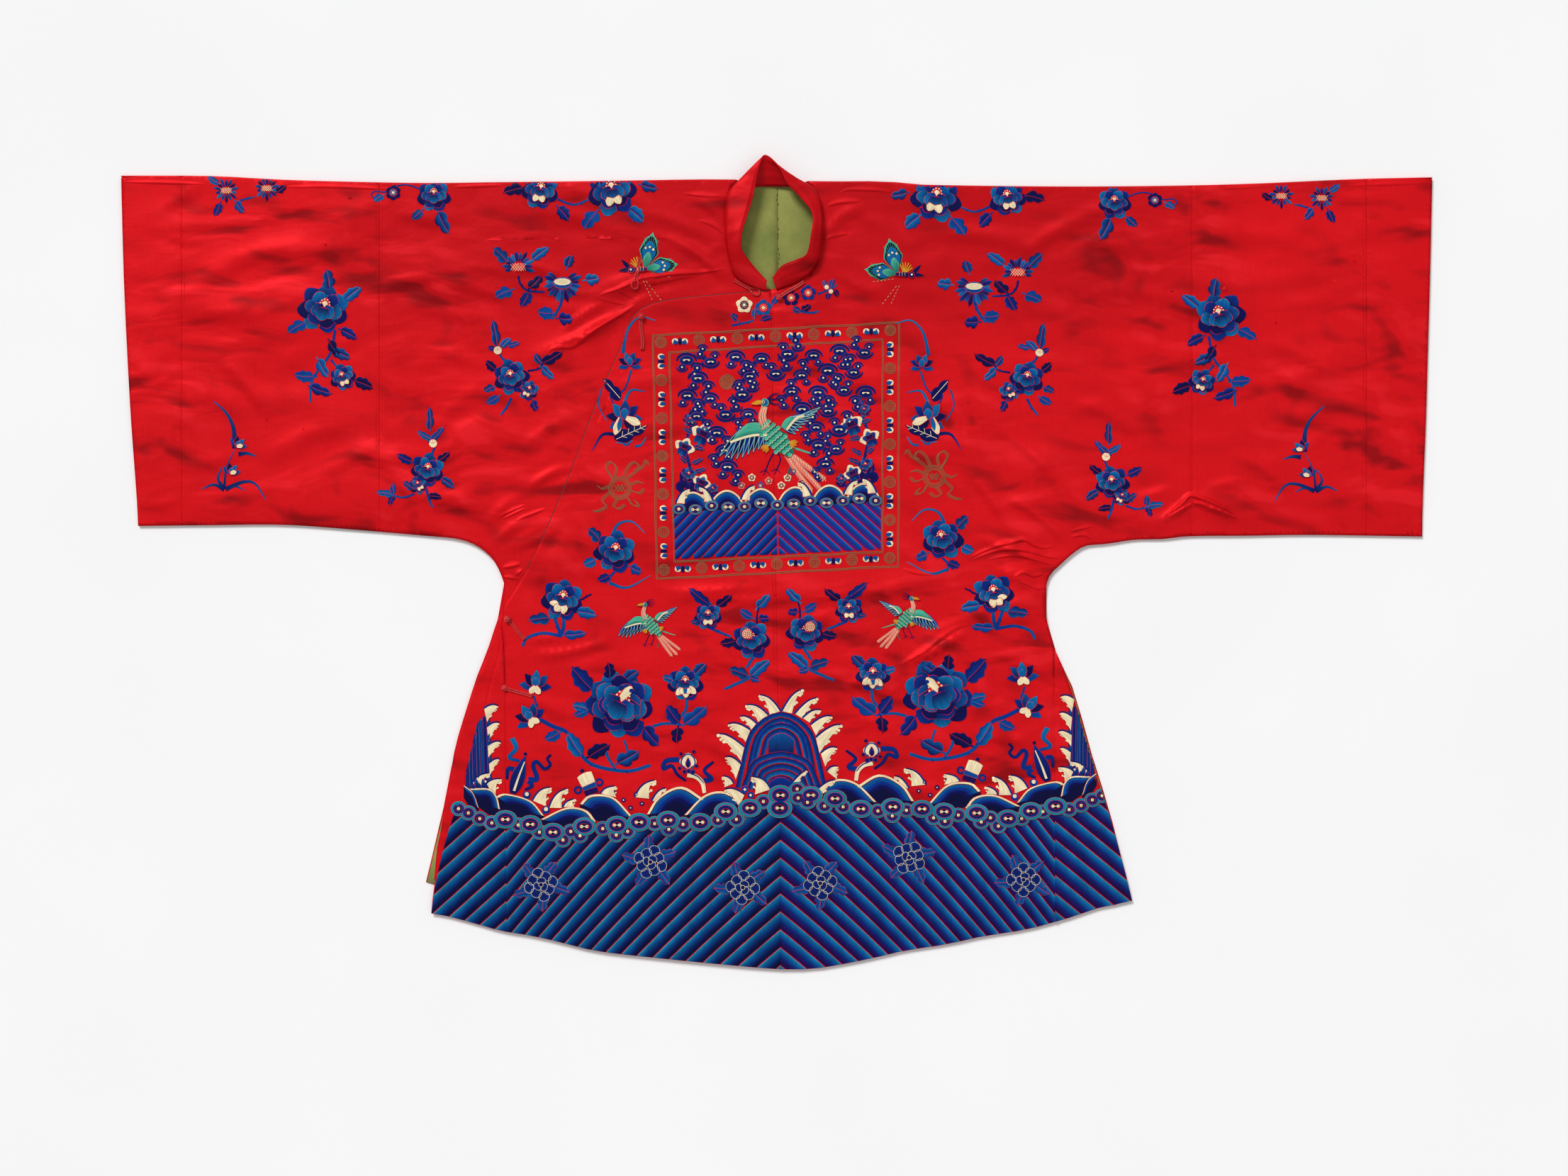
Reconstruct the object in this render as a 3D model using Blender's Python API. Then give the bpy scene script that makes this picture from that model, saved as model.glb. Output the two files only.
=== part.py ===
"""An embroidered satin stage robe laid out flat, with its front up.

The robe is cut the old straight way. Each body half is one cloth that runs from the back hem, over the
shoulder fold and down the front. Sleeve lengths and cuff bands are sewn to its ends. The wearer's right
front is a short inner flap, and a wide overlap sewn to the centre front seam covers it and closes at the
wearer's right side. Left and right are the wearer's: the wearer's right is at -X.

Metres. X runs along the sleeves, Y from hem to collar, Z up from the surface that the robe lies on.
"""
import math
from collections import namedtuple

import bmesh
import bpy
import numpy as np
from mathutils.geometry import delaunay_2d_cdt

for old in list(bpy.data.objects):
    bpy.data.objects.remove(old)

# Cloth and layers
CLOTH = 0.0012            # satin with its backing cloth
LINING = 0.0010           # cotton lining
COLLAR_CLOTH = 0.0018     # doubled satin
SEAM = 0.0003             # gap between pieces at a seam
FRONT_TOP = 0.0060        # outer face of the flat front over the floor
FLAP_TOP = 0.0040         # outer face of the inner flap where the overlap lies on it
LINING_FOOT = CLOTH + SEAM
FOLD_R = FRONT_TOP / 2    # the shoulder fold turns round this radius

# Where the front comes down at its edges: outer face over the floor
UNDERARM_TOP = 0.0028
CUFF_TOP = 0.0045
LEFT_EDGE_TOP = 0.0042
HEM_TOP = 0.0042
OVERLAP_EDGE_TOP = 0.0056
EDGE_ROLL = 0.022         # the front rises from edge to flat over this width
CREASE_FADE = 0.030       # creases die out this far from an edge
CLOSING_RISE = 0.036      # the cloth beside the closing edge rises to the front's height over this width

# Seams across the sleeves and down the skirt
RIGHT_SLEEVE_SEAM = -0.4875
LEFT_SLEEVE_SEAM = 0.509
RIGHT_CUFF_SEAM = -0.730
LEFT_CUFF_SEAM = 0.723
BACK_SEAM = 0.001
ARMHOLE = 0.325           # the lining ends here, short of the sleeves

# Spacing of the mesh
FRONT_STEP = 0.032
BACK_STEP = 0.090
EDGE_STEP = 0.024
BACK_EDGE_STEP = 0.045

# Outlines as they lie, as x, y
SHOULDER_FOLD = [
    (-0.8045, 0.4760), (-0.694, 0.4755), (-0.607, 0.4710), (-0.520, 0.4685), (-0.430, 0.4670),
    (-0.345, 0.4680), (-0.215, 0.4695), (-0.084, 0.4715), (0.000, 0.4700), (0.065, 0.4690),
    (0.134, 0.4690), (0.178, 0.4650), (0.335, 0.4628), (0.474, 0.4635), (0.579, 0.4660),
    (0.6575, 0.4695), (0.723, 0.4722), (0.804, 0.4740),
]
RIGHT_CUFF_EDGE = [(-0.8045, 0.476), (-0.8035, 0.430), (-0.801, 0.344), (-0.797, 0.257),
                   (-0.792, 0.170), (-0.7855, 0.082), (-0.784, 0.046)]
LEFT_CUFF_EDGE = [(0.804, 0.474), (0.803, 0.431), (0.801, 0.344), (0.7985, 0.257),
                  (0.796, 0.170), (0.7925, 0.082), (0.792, 0.033)]
RIGHT_UNDERARM = [(-0.784, 0.046), (-0.694, 0.047), (-0.607, 0.0475), (-0.520, 0.0415),
                  (-0.4325, 0.034), (-0.392, 0.030), (-0.368, 0.0215), (-0.350, 0.007),
                  (-0.3405, -0.009), (-0.335, -0.024)]
LEFT_UNDERARM = [(0.792, 0.033), (0.6575, 0.035), (0.579, 0.034), (0.509, 0.0335), (0.4745, 0.030),
                 (0.4395, 0.029), (0.4045, 0.024), (0.379, 0.0215), (0.3635, 0.0125),
                 (0.3485, -0.001), (0.336, -0.013), (0.331, -0.025)]
RIGHT_BACK_SIDE = [(-0.335, -0.024), (-0.335, -0.040), (-0.339, -0.058), (-0.3465, -0.080),
                   (-0.356, -0.109), (-0.367, -0.136), (-0.381, -0.179), (-0.394, -0.223),
                   (-0.403, -0.266), (-0.4115, -0.310), (-0.420, -0.345), (-0.4285, -0.379),
                   (-0.4310, -0.3915)]
RIGHT_FLAP_SIDE = [(-0.335, -0.024), (-0.335, -0.040), (-0.339, -0.058), (-0.3465, -0.080),
                   (-0.356, -0.109), (-0.367, -0.136), (-0.381, -0.179), (-0.394, -0.223),
                   (-0.402, -0.266), (-0.4085, -0.301), (-0.4115, -0.323), (-0.417, -0.349),
                   (-0.4205, -0.388)]
LEFT_FRONT_SIDE = [(0.331, -0.025), (0.3295, -0.040), (0.3295, -0.057), (0.332, -0.0745),
                   (0.3365, -0.092), (0.3425, -0.109), (0.3545, -0.136), (0.3685, -0.179),
                   (0.380, -0.223), (0.394, -0.266), (0.408, -0.310), (0.4205, -0.354),
                   (0.430, -0.389), (0.4345, -0.413)]
LEFT_BACK_SIDE = [(0.331, -0.025), (0.3295, -0.040), (0.3295, -0.057), (0.332, -0.0745),
                  (0.3365, -0.092), (0.3425, -0.109), (0.3570, -0.136), (0.3715, -0.179),
                  (0.3832, -0.223), (0.3968, -0.266), (0.4100, -0.310), (0.4212, -0.354),
                  (0.428, -0.387), (0.431, -0.405)]
CLOSING_EDGE = [(-0.008, 0.3345), (-0.0505, 0.3315), (-0.108, 0.3265), (-0.142, 0.3215),
                (-0.159, 0.316), (-0.1705, 0.310), (-0.178, 0.302), (-0.189, 0.271),
                (-0.203, 0.240), (-0.227, 0.183), (-0.249, 0.123), (-0.2725, 0.0655),
                (-0.294, 0.019), (-0.3095, -0.0115), (-0.3275, -0.0405), (-0.3355, -0.052)]
OVERLAP_SIDE = [(-0.3355, -0.052), (-0.338, -0.073), (-0.3425, -0.112), (-0.3495, -0.1365),
                (-0.3565, -0.1625), (-0.362, -0.189), (-0.373, -0.223), (-0.384, -0.271),
                (-0.394, -0.303), (-0.402, -0.323), (-0.411, -0.361), (-0.420, -0.393),
                (-0.424, -0.4295)]
FRONT_HEM = [(-0.424, -0.4295), (-0.408, -0.432), (-0.373, -0.441), (-0.343, -0.4495),
             (-0.295, -0.458), (-0.257, -0.467), (-0.218, -0.476), (-0.144, -0.4845),
             (-0.057, -0.493), (0.005, -0.498), (0.0435, -0.4975), (0.074, -0.493),
             (0.117, -0.4845), (0.156, -0.4755), (0.210, -0.467), (0.251, -0.458),
             (0.305, -0.4495), (0.3375, -0.441), (0.368, -0.432), (0.3915, -0.4235),
             (0.422, -0.4175), (0.4345, -0.413)]
NECKLINE = [(-0.050, 0.4700), (-0.0570, 0.456), (-0.0595, 0.425), (-0.0585, 0.400), (-0.0545, 0.369),
            (-0.046, 0.3515), (-0.029, 0.3425), (-0.008, 0.336), (0.003, 0.3375), (0.019, 0.344),
            (0.0395, 0.354), (0.047, 0.376), (0.0515, 0.400), (0.0515, 0.430), (0.0470, 0.453),
            (0.038, 0.4690)]
BACK_NECKLINE = [(-0.050, 0.4700), (-0.040, 0.4668), (-0.022, 0.4652), (0.001, 0.4645),
                 (0.018, 0.4650), (0.030, 0.4665), (0.038, 0.4690)]
CENTRE_FRONT = [(-0.008, 0.336), (-0.004, 0.150), (0.000, -0.100), (0.004, -0.300), (0.005, -0.498)]
RIGHT_GORE_SEAM = [(-0.3385, -0.078), (-0.3345, -0.110), (-0.3330, -0.200), (-0.3325, -0.320),
                   (-0.3315, -0.452)]
LEFT_GORE_SEAM = [(0.3405, -0.105), (0.3400, -0.150), (0.3405, -0.250), (0.3410, -0.340),
                  (0.3410, -0.440)]
FLAP_INNER_EDGE = [(-0.008, 0.336), (-0.030, 0.290), (-0.080, 0.170), (-0.112, 0.050),
                   (-0.120, -0.100), (-0.120, -0.388)]
BACK_HEM_RISE = [(-0.431, 0.0380), (-0.200, 0.0180), (0.000, 0.0120), (0.431, 0.0080)]

# The largest creases of the front: a ridge's middle, its heading from +X, its length, width and height
Crease = namedtuple("Crease", "x y heading length width height")
CREASES = [
    Crease(-0.171, 0.342, 15, 0.130, 0.024, 0.0048),
    Crease(-0.216, 0.290, 34, 0.100, 0.026, 0.0056),
    Crease(-0.276, 0.258, 18, 0.080, 0.024, 0.0042),
    Crease(-0.620, 0.293, -8, 0.140, 0.040, 0.0042),
    Crease(-0.690, 0.326, -3, 0.140, 0.044, 0.0034),
    Crease(-0.664, 0.193, -47, 0.100, 0.036, 0.0036),
    Crease(-0.527, 0.425, 19, 0.110, 0.040, 0.0030),
    Crease(-0.545, 0.183, -17, 0.100, 0.036, 0.0032),
    Crease(-0.400, 0.345, 12, 0.120, 0.040, 0.0030),
    Crease(-0.322, 0.064, 22, 0.080, 0.024, 0.0040),
    Crease(-0.340, 0.160, -30, 0.100, 0.036, 0.0030),
    Crease(0.488, 0.069, 35, 0.064, 0.022, 0.0058),
    Crease(0.540, 0.070, -22, 0.080, 0.022, 0.0058),
    Crease(0.663, 0.237, 24, 0.150, 0.034, 0.0046),
    Crease(0.383, 0.372, -28, 0.080, 0.028, 0.0040),
    Crease(0.470, 0.217, -10, 0.120, 0.044, 0.0032),
    Crease(0.655, 0.378, -4, 0.160, 0.044, 0.0034),
    Crease(0.560, 0.320, 8, 0.120, 0.040, 0.0030),
    Crease(0.330, 0.130, 28, 0.100, 0.036, 0.0030),
    Crease(0.196, -0.100, 26, 0.110, 0.024, 0.0044),
    Crease(0.286, -0.050, 6, 0.090, 0.024, 0.0036),
    Crease(0.110, -0.026, 1, 0.180, 0.022, 0.0028),
    Crease(-0.100, -0.040, 2, 0.150, 0.022, 0.0026),
    Crease(-0.272, -0.102, 12, 0.090, 0.024, 0.0026),
    Crease(-0.236, -0.214, -28, 0.080, 0.026, 0.0030),
    Crease(0.134, -0.212, -25, 0.090, 0.026, 0.0030),
]

# The collar band, from the wearer's right front end round the back to the left front end: in each
# section its foot on the neckline, the crest where it bends, and its free edge, as x, y, z
Band = namedtuple("Band", "foot crest edge")
COLLAR = [
    Band((-0.0125, 0.3350, 0.0078), (-0.0130, 0.3395, 0.0110), (-0.0125, 0.3450, 0.0125)),
    Band((-0.0300, 0.3400, 0.0078), (-0.0275, 0.3470, 0.0130), (-0.0240, 0.3570, 0.0155)),
    Band((-0.0480, 0.3500, 0.0078), (-0.0455, 0.3560, 0.0150), (-0.0350, 0.3700, 0.0190)),
    Band((-0.0570, 0.3680, 0.0080), (-0.0565, 0.3710, 0.0170), (-0.0440, 0.3840, 0.0225)),
    Band((-0.0610, 0.4000, 0.0082), (-0.0630, 0.4005, 0.0180), (-0.0430, 0.4040, 0.0240)),
    Band((-0.0615, 0.4250, 0.0084), (-0.0635, 0.4260, 0.0180), (-0.0365, 0.4250, 0.0230)),
    Band((-0.0580, 0.4480, 0.0086), (-0.0605, 0.4530, 0.0165), (-0.0310, 0.4430, 0.0215)),
    Band((-0.0440, 0.4590, 0.0080), (-0.0480, 0.4700, 0.0160), (-0.0265, 0.4640, 0.0210)),
    Band((-0.0270, 0.4625, 0.0062), (-0.0300, 0.4850, 0.0160), (-0.0220, 0.4850, 0.0210)),
    Band((-0.0120, 0.4635, 0.0050), (-0.0140, 0.4850, 0.0130), (-0.0140, 0.4980, 0.0180)),
    Band((0.0050, 0.4630, 0.0062), (0.0070, 0.4820, 0.0160), (0.0030, 0.4830, 0.0210)),
    Band((0.0230, 0.4610, 0.0080), (0.0270, 0.4720, 0.0160), (0.0130, 0.4640, 0.0215)),
    Band((0.0440, 0.4530, 0.0086), (0.0475, 0.4580, 0.0165), (0.0290, 0.4470, 0.0220)),
    Band((0.0530, 0.4330, 0.0084), (0.0545, 0.4340, 0.0180), (0.0440, 0.4260, 0.0245)),
    Band((0.0540, 0.4000, 0.0082), (0.0552, 0.4000, 0.0180), (0.0420, 0.3980, 0.0260)),
    Band((0.0495, 0.3740, 0.0080), (0.0500, 0.3730, 0.0170), (0.0370, 0.3770, 0.0225)),
    Band((0.0400, 0.3560, 0.0078), (0.0375, 0.3575, 0.0150), (0.0240, 0.3700, 0.0185)),
    Band((0.0190, 0.3435, 0.0078), (0.0160, 0.3510, 0.0140), (0.0070, 0.3630, 0.0165)),
    Band((-0.0010, 0.3365, 0.0078), (-0.0030, 0.3420, 0.0115), (-0.0050, 0.3485, 0.0130)),
]
COLLAR_RINGS = 44
COLLAR_ROWS = 6

# Knotted cord buttons: the knot's middle and the far end of its two sewn legs
Button = namedtuple("Button", "name knot tail")
BUTTONS = [
    Button("button_collar", (0.0029, 0.3262), (0.0335, 0.3455)),
    Button("button_chest", (-0.1660, 0.3026), (-0.1652, 0.2617)),
    Button("button_side_upper", (-0.3300, -0.0683), (-0.3092, -0.0935)),
    Button("button_side_lower", (-0.3336, -0.1527), (-0.2995, -0.1633)),
]
KNOT_R = 0.0048
CORD_R = 0.0011
BUTTON_SIDES = 14
# Cord loops: where the legs are sewn down and where the open eye lies
Loop = namedtuple("Loop", "name tail eye")
LOOPS = [
    Loop("loop_collar", (-0.0520, 0.3470), (-0.0215, 0.3305)),
    Loop("loop_chest", (-0.1678, 0.3750), (-0.1748, 0.3363)),
]
LOOP_EYE_R = 0.0040


def smooth(value):
    """0 to 1 with a soft start and end."""
    t = min(1.0, max(0.0, value))
    return t * t * (3 - 2 * t)


def spline(points, step):
    """A smooth curve through the points, with a point about every step along it."""
    known = [np.array(p, float) for p in points]
    ends = [2 * known[0] - known[1], *known, 2 * known[-1] - known[-2]]
    fine = []
    for a, b, c, d in zip(ends, ends[1:], ends[2:], ends[3:]):
        for t in np.linspace(0, 1, 12, endpoint=False):
            fine.append(0.5 * (2 * b + (c - a) * t + (2 * a - 5 * b + 4 * c - d) * t * t
                               + (3 * b - a - 3 * c + d) * t ** 3))
    fine = np.array([*fine, known[-1]])
    along = np.concatenate([[0], np.cumsum(np.linalg.norm(np.diff(fine, axis=0), axis=1))])
    count = max(2, round(along[-1] / step) + 1)
    at = np.linspace(0, along[-1], count)
    return np.stack([np.interp(at, along, fine[:, k]) for k in range(fine.shape[1])], axis=1)


FOLD_LINE = spline(SHOULDER_FOLD, 0.01)
HEM_LINE = spline(FRONT_HEM, 0.01)


def fold_y(x):
    return float(np.interp(x, FOLD_LINE[:, 0], FOLD_LINE[:, 1]))


def hem_y(x):
    return float(np.interp(x, HEM_LINE[:, 0], HEM_LINE[:, 1]))


def back_hem_y(x):
    rise = np.array(BACK_HEM_RISE)
    return hem_y(x) + float(np.interp(x, rise[:, 0], rise[:, 1]))


def inside(points, x, y):
    """Whether x, y lies in the closed outline."""
    px, py = points[:, 0], points[:, 1]
    qx, qy = np.roll(px, -1), np.roll(py, -1)
    crossing = (py > y) != (qy > y)
    run = np.where(qy == py, 1e-12, qy - py)
    return bool((crossing & (x < px + (y - py) * (qx - px) / run)).sum() % 2)


def distance(line, x, y):
    """How far x, y is from a line of points, and the index of the stretch that is nearest."""
    a, b = line[:-1], line[1:]
    d = b - a
    t = np.clip(((np.array([x, y]) - a) * d).sum(1) / np.maximum((d * d).sum(1), 1e-15), 0, 1)
    away = np.linalg.norm(a + t[:, None] * d - (x, y), axis=1)
    nearest = int(away.argmin())
    return float(away[nearest]), nearest


def edge_heights():
    """The front's free edges as one line, with the height of the cloth's outer face along it."""
    runs = [
        (RIGHT_CUFF_EDGE, CUFF_TOP), (RIGHT_UNDERARM, UNDERARM_TOP),
        (OVERLAP_SIDE, OVERLAP_EDGE_TOP), (FRONT_HEM, HEM_TOP),
        (LEFT_FRONT_SIDE[::-1], LEFT_EDGE_TOP), (LEFT_UNDERARM[::-1], UNDERARM_TOP),
        (LEFT_CUFF_EDGE[::-1], CUFF_TOP),
    ]
    lines, heights = [], []
    for points, top in runs:
        line = spline(points, 0.012)
        lines.append(line)
        body = [OVERLAP_EDGE_TOP if x < 0 else LEFT_EDGE_TOP for x, _ in line]
        near_body = np.array([smooth((0.42 - abs(x)) / 0.05) for x, _ in line])
        heights.append(np.maximum(top, UNDERARM_TOP + (np.array(body) - UNDERARM_TOP) * near_body))
    line, height = np.concatenate(lines), np.concatenate(heights)
    soft = np.convolve(np.pad(height, 3, mode="edge"), np.full(7, 1 / 7), mode="valid")
    return line, soft


EDGE_LINE, EDGE_HEIGHT = edge_heights()
OVERLAP_BORDER = np.concatenate([spline(CLOSING_EDGE, 0.01), spline(OVERLAP_SIDE, 0.01)])
OVERLAP_AREA = np.concatenate([OVERLAP_BORDER, [(0.3, -0.6), (0.3, 0.3)]])


def crease_height(x, y):
    total = 0.0
    for c in CREASES:
        turn = math.radians(c.heading)
        along = (x - c.x) * math.cos(turn) + (y - c.y) * math.sin(turn)
        across = -(x - c.x) * math.sin(turn) + (y - c.y) * math.cos(turn)
        reach = 1 - (2 * along / c.length) ** 2
        if reach > 0:
            total += c.height * reach * reach * math.exp(-(2.4 * across / c.width) ** 2)
    return total


def front_height(x, y):
    """The outer face of the front over the floor."""
    away, nearest = distance(EDGE_LINE, x, y)
    low = EDGE_HEIGHT[nearest]
    fade = smooth(away / CREASE_FADE) * smooth((fold_y(x) - y) / CREASE_FADE)
    return low + (FRONT_TOP - low) * smooth(away / EDGE_ROLL) + fade * crease_height(x, y)


def right_front_height(x, y):
    """The same for the wearer's right front, which goes under the overlap."""
    if inside(OVERLAP_AREA, x, y):
        return FLAP_TOP
    away, _ = distance(OVERLAP_BORDER, x, y)
    share = smooth((away - 0.006) / CLOSING_RISE)
    return FLAP_TOP + (front_height(x, y) - FLAP_TOP) * share


def lies_flat(height, thick):
    """Places a cut piece at x, y: depth 0 is its outer face."""
    return lambda x, y, depth: (x, y, height(x, y) - depth * thick)


def folded_over(height):
    """Places a cloth that is folded at the shoulder: v runs down the front from the fold, and below 0
    down the back."""
    def place(x, v, depth):
        fold, inward = fold_y(x), depth * CLOTH
        if abs(v) <= FOLD_R:
            turn, radius = v / FOLD_R * math.pi / 2, FOLD_R - inward
            return x, fold - FOLD_R + radius * math.cos(turn), FOLD_R + radius * math.sin(turn)
        if v < 0:
            return x, fold + v, inward
        return x, fold - v, height(x, fold - v) - inward
    return place


def on_front(points):
    return [(x, fold_y(x) - y) for x, y in points]


def on_back(points):
    return [(x, y - fold_y(x)) for x, y in points]


def round_fold(x, towards_back):
    """Points where a seam at x goes round the shoulder fold."""
    turns = (1.0, 0.5, 0.0, -0.5, -1.0) if towards_back else (-1.0, -0.5, 0.0, 0.5, 1.0)
    return [(x, FOLD_R * t) for t in turns]


def crease_points():
    """Points on each ridge and at its two feet, so that a coarse mesh still holds its form."""
    points = []
    for c in CREASES:
        turn = math.radians(c.heading)
        for along in (-0.36, -0.12, 0.12, 0.36):
            for across in (-0.55, 0.0, 0.55):
                dx, dy = along * c.length, across * c.width
                points.append((c.x + dx * math.cos(turn) - dy * math.sin(turn),
                               c.y + dx * math.sin(turn) + dy * math.cos(turn)))
    return points


def mesh_points(outline, candidates, clear):
    """The candidates that lie inside the outline, clear of it and of each other."""
    border = np.array([*outline, outline[0]], float)
    kept = []
    for u, v in candidates:
        if not inside(border[:-1], u, v) or distance(border, u, v)[0] < clear:
            continue
        if kept and np.min(np.hypot(*(np.array(kept) - (u, v)).T)) < clear:
            continue
        kept.append((u, v))
    return kept


def grid(low, high, step):
    """Rows of points, every second row shifted by half a step."""
    rows = []
    for j, v in enumerate(np.arange(low[1], high[1], step * 0.87)):
        shift = step / 2 if j % 2 else 0.0
        rows += [(u + shift, v) for u in np.arange(low[0], high[0], step)]
    return rows


def material(name, colour, roughness):
    made = bpy.data.materials.new(name)
    made.use_nodes = True
    shader = made.node_tree.nodes["Principled BSDF"]
    shader.inputs["Base Color"].default_value = (*colour, 1.0)
    shader.inputs["Roughness"].default_value = roughness
    shader.inputs["Metallic"].default_value = 0.0
    return made


RED_SATIN = material("red_satin", (0.62, 0.012, 0.018), 0.42)
RED_CORD = material("red_cord", (0.50, 0.010, 0.014), 0.55)
GREEN_COTTON = material("green_cotton", (0.20, 0.23, 0.07), 0.85)


def add_object(name, mesh, finish):
    mesh.materials.append(finish)
    mesh.shade_smooth()
    mesh.set_sharp_from_angle(angle=math.radians(50))
    made = bpy.data.objects.new(name, mesh)
    bpy.context.scene.collection.objects.link(made)
    return made


def wall(name, outline, points, place, finish, rows=()):
    """A cut piece of cloth as a closed wall: its outline, points and rows are meshed flat and set in place
    twice, as outer face and inner face, with a rim between."""
    flat = [(float(u), float(v)) for u, v in [*outline, *points]]
    kept_edges = []
    for row in rows:
        kept_edges += [(len(flat) + k, len(flat) + k + 1) for k in range(len(row) - 1)]
        flat += [(float(u), float(v)) for u, v in row]
    border = list(range(len(outline)))
    spots, _, faces, *_ = delaunay_2d_cdt(flat, kept_edges, [border], 1, 1e-6)
    uses = {}
    for face in faces:
        for a, b in zip(face, [*face[1:], face[0]]):
            uses.setdefault(frozenset((a, b)), []).append((a, b))
    made = bmesh.new()
    outer = [made.verts.new(place(u, v, 0.0)) for u, v in spots]
    inner = [made.verts.new(place(u, v, 1.0)) for u, v in spots]
    for face in faces:
        made.faces.new([outer[i] for i in face])
        made.faces.new([inner[i] for i in reversed(face)])
    for pairs in uses.values():
        if len(pairs) == 1:
            a, b = pairs[0]
            made.faces.new((outer[b], outer[a], inner[a], inner[b]))
    bmesh.ops.recalc_face_normals(made, faces=made.faces)
    mesh = bpy.data.meshes.new(name)
    made.to_mesh(mesh)
    made.free()
    return add_object(name, mesh, finish)


def joined(*runs):
    """Runs of an outline end to end, without the points that two runs share."""
    points = []
    for run in runs:
        for p in run:
            if not points or math.dist(p, points[-1]) > 0.0004:
                points.append((float(p[0]), float(p[1])))
    if math.dist(points[0], points[-1]) <= 0.0004:
        points.pop()
    return points


def moved(points, dx, dy=0.0):
    return [(x + dx, y + dy) for x, y in points]


def body_points(outline, front_low, front_high):
    """Mesh points of a cloth that goes over the shoulder."""
    creases = on_front(crease_points())
    front = [(x, v) for x, v in grid((front_low, 0.016), (front_high, 1.0), FRONT_STEP)]
    back = [(x, v) for x, v in grid((front_low, -1.0), (front_high, -0.03), BACK_STEP)]
    kept = mesh_points(outline, [*creases, *front], 0.010)
    return kept + mesh_points(outline, back, 0.020)


def fold_rows(seam_x, other_x):
    """Rows of points along the shoulder fold, which keep its round form."""
    xs = np.linspace(seam_x, other_x, max(3, round(abs(other_x - seam_x) / FRONT_STEP) + 1))
    return [[(x, FOLD_R * t) for x in xs] for t in (-1.0, -0.5, 0.0, 0.5, 1.0)]


def sleeve_piece(name, inner_x, outer_edge, underarm, height):
    """A length of sleeve: one cloth folded along its top, its two edges together under the arm."""
    side = math.copysign(1.0, inner_x)
    bottom = spline(underarm, EDGE_STEP)
    outer_x = outer_edge[-1][0]
    low, high = sorted((abs(inner_x), abs(outer_x)))
    run = [(x, y) for x, y in bottom if low + 0.008 < abs(x) < high - 0.008]
    run.sort(key=lambda p: abs(p[0]))
    inner_bottom = (inner_x, float(np.interp(inner_x, *sorted_xy(bottom))))
    inner = [(inner_x, y) for y in np.linspace(inner_bottom[1], fold_y(inner_x) - 0.016, 15)]
    outer = [(x, y) for x, y in outer_edge]
    outline = joined(
        on_front(inner), round_fold(inner_x, True), on_back(inner[::-3]), on_back([inner_bottom]),
        on_back(run), on_back(outer[::-2]), round_fold(outer[0][0], False),
        on_front(outer), on_front(run[::-1]),
    )
    points = body_points(outline, *sorted((inner_x, side * 0.81)))
    rows = fold_rows(inner_x, outer_edge[0][0])
    return wall(name, outline, points, folded_over(height), RED_SATIN, rows)


def sorted_xy(line):
    order = np.argsort(line[:, 0])
    return line[order, 0], line[order, 1]


def straight_edge(x, line):
    """The edge of a sleeve piece that is cut at x, from the fold down."""
    foot = float(np.interp(x, *sorted_xy(line)))
    return [(x, y) for y in np.linspace(fold_y(x) - 0.016, foot, 15)]


def make_sleeves():
    half = SEAM / 2
    rights = spline(RIGHT_UNDERARM, 0.01)
    lefts = spline(LEFT_UNDERARM, 0.01)
    sleeve_piece("sleeve_right", RIGHT_SLEEVE_SEAM - half,
                 straight_edge(RIGHT_CUFF_SEAM + half, rights), RIGHT_UNDERARM, front_height)
    sleeve_piece("sleeve_left", LEFT_SLEEVE_SEAM + half,
                 straight_edge(LEFT_CUFF_SEAM - half, lefts), LEFT_UNDERARM, front_height)
    sleeve_piece("cuff_right", RIGHT_CUFF_SEAM - half, spline(RIGHT_CUFF_EDGE, 0.03),
                 RIGHT_UNDERARM, front_height)
    sleeve_piece("cuff_left", LEFT_CUFF_SEAM + half, spline(LEFT_CUFF_EDGE, 0.03),
                 LEFT_UNDERARM, front_height)


def clipped(line, seam_x):
    """The stretch of an underarm line that belongs to a body half, from the sleeve seam inwards."""
    kept = [(x, y) for x, y in line if abs(x) < abs(seam_x) - 0.008]
    foot = float(np.interp(seam_x, *sorted_xy(np.array(line))))
    return [(seam_x, foot), *kept]


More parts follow.
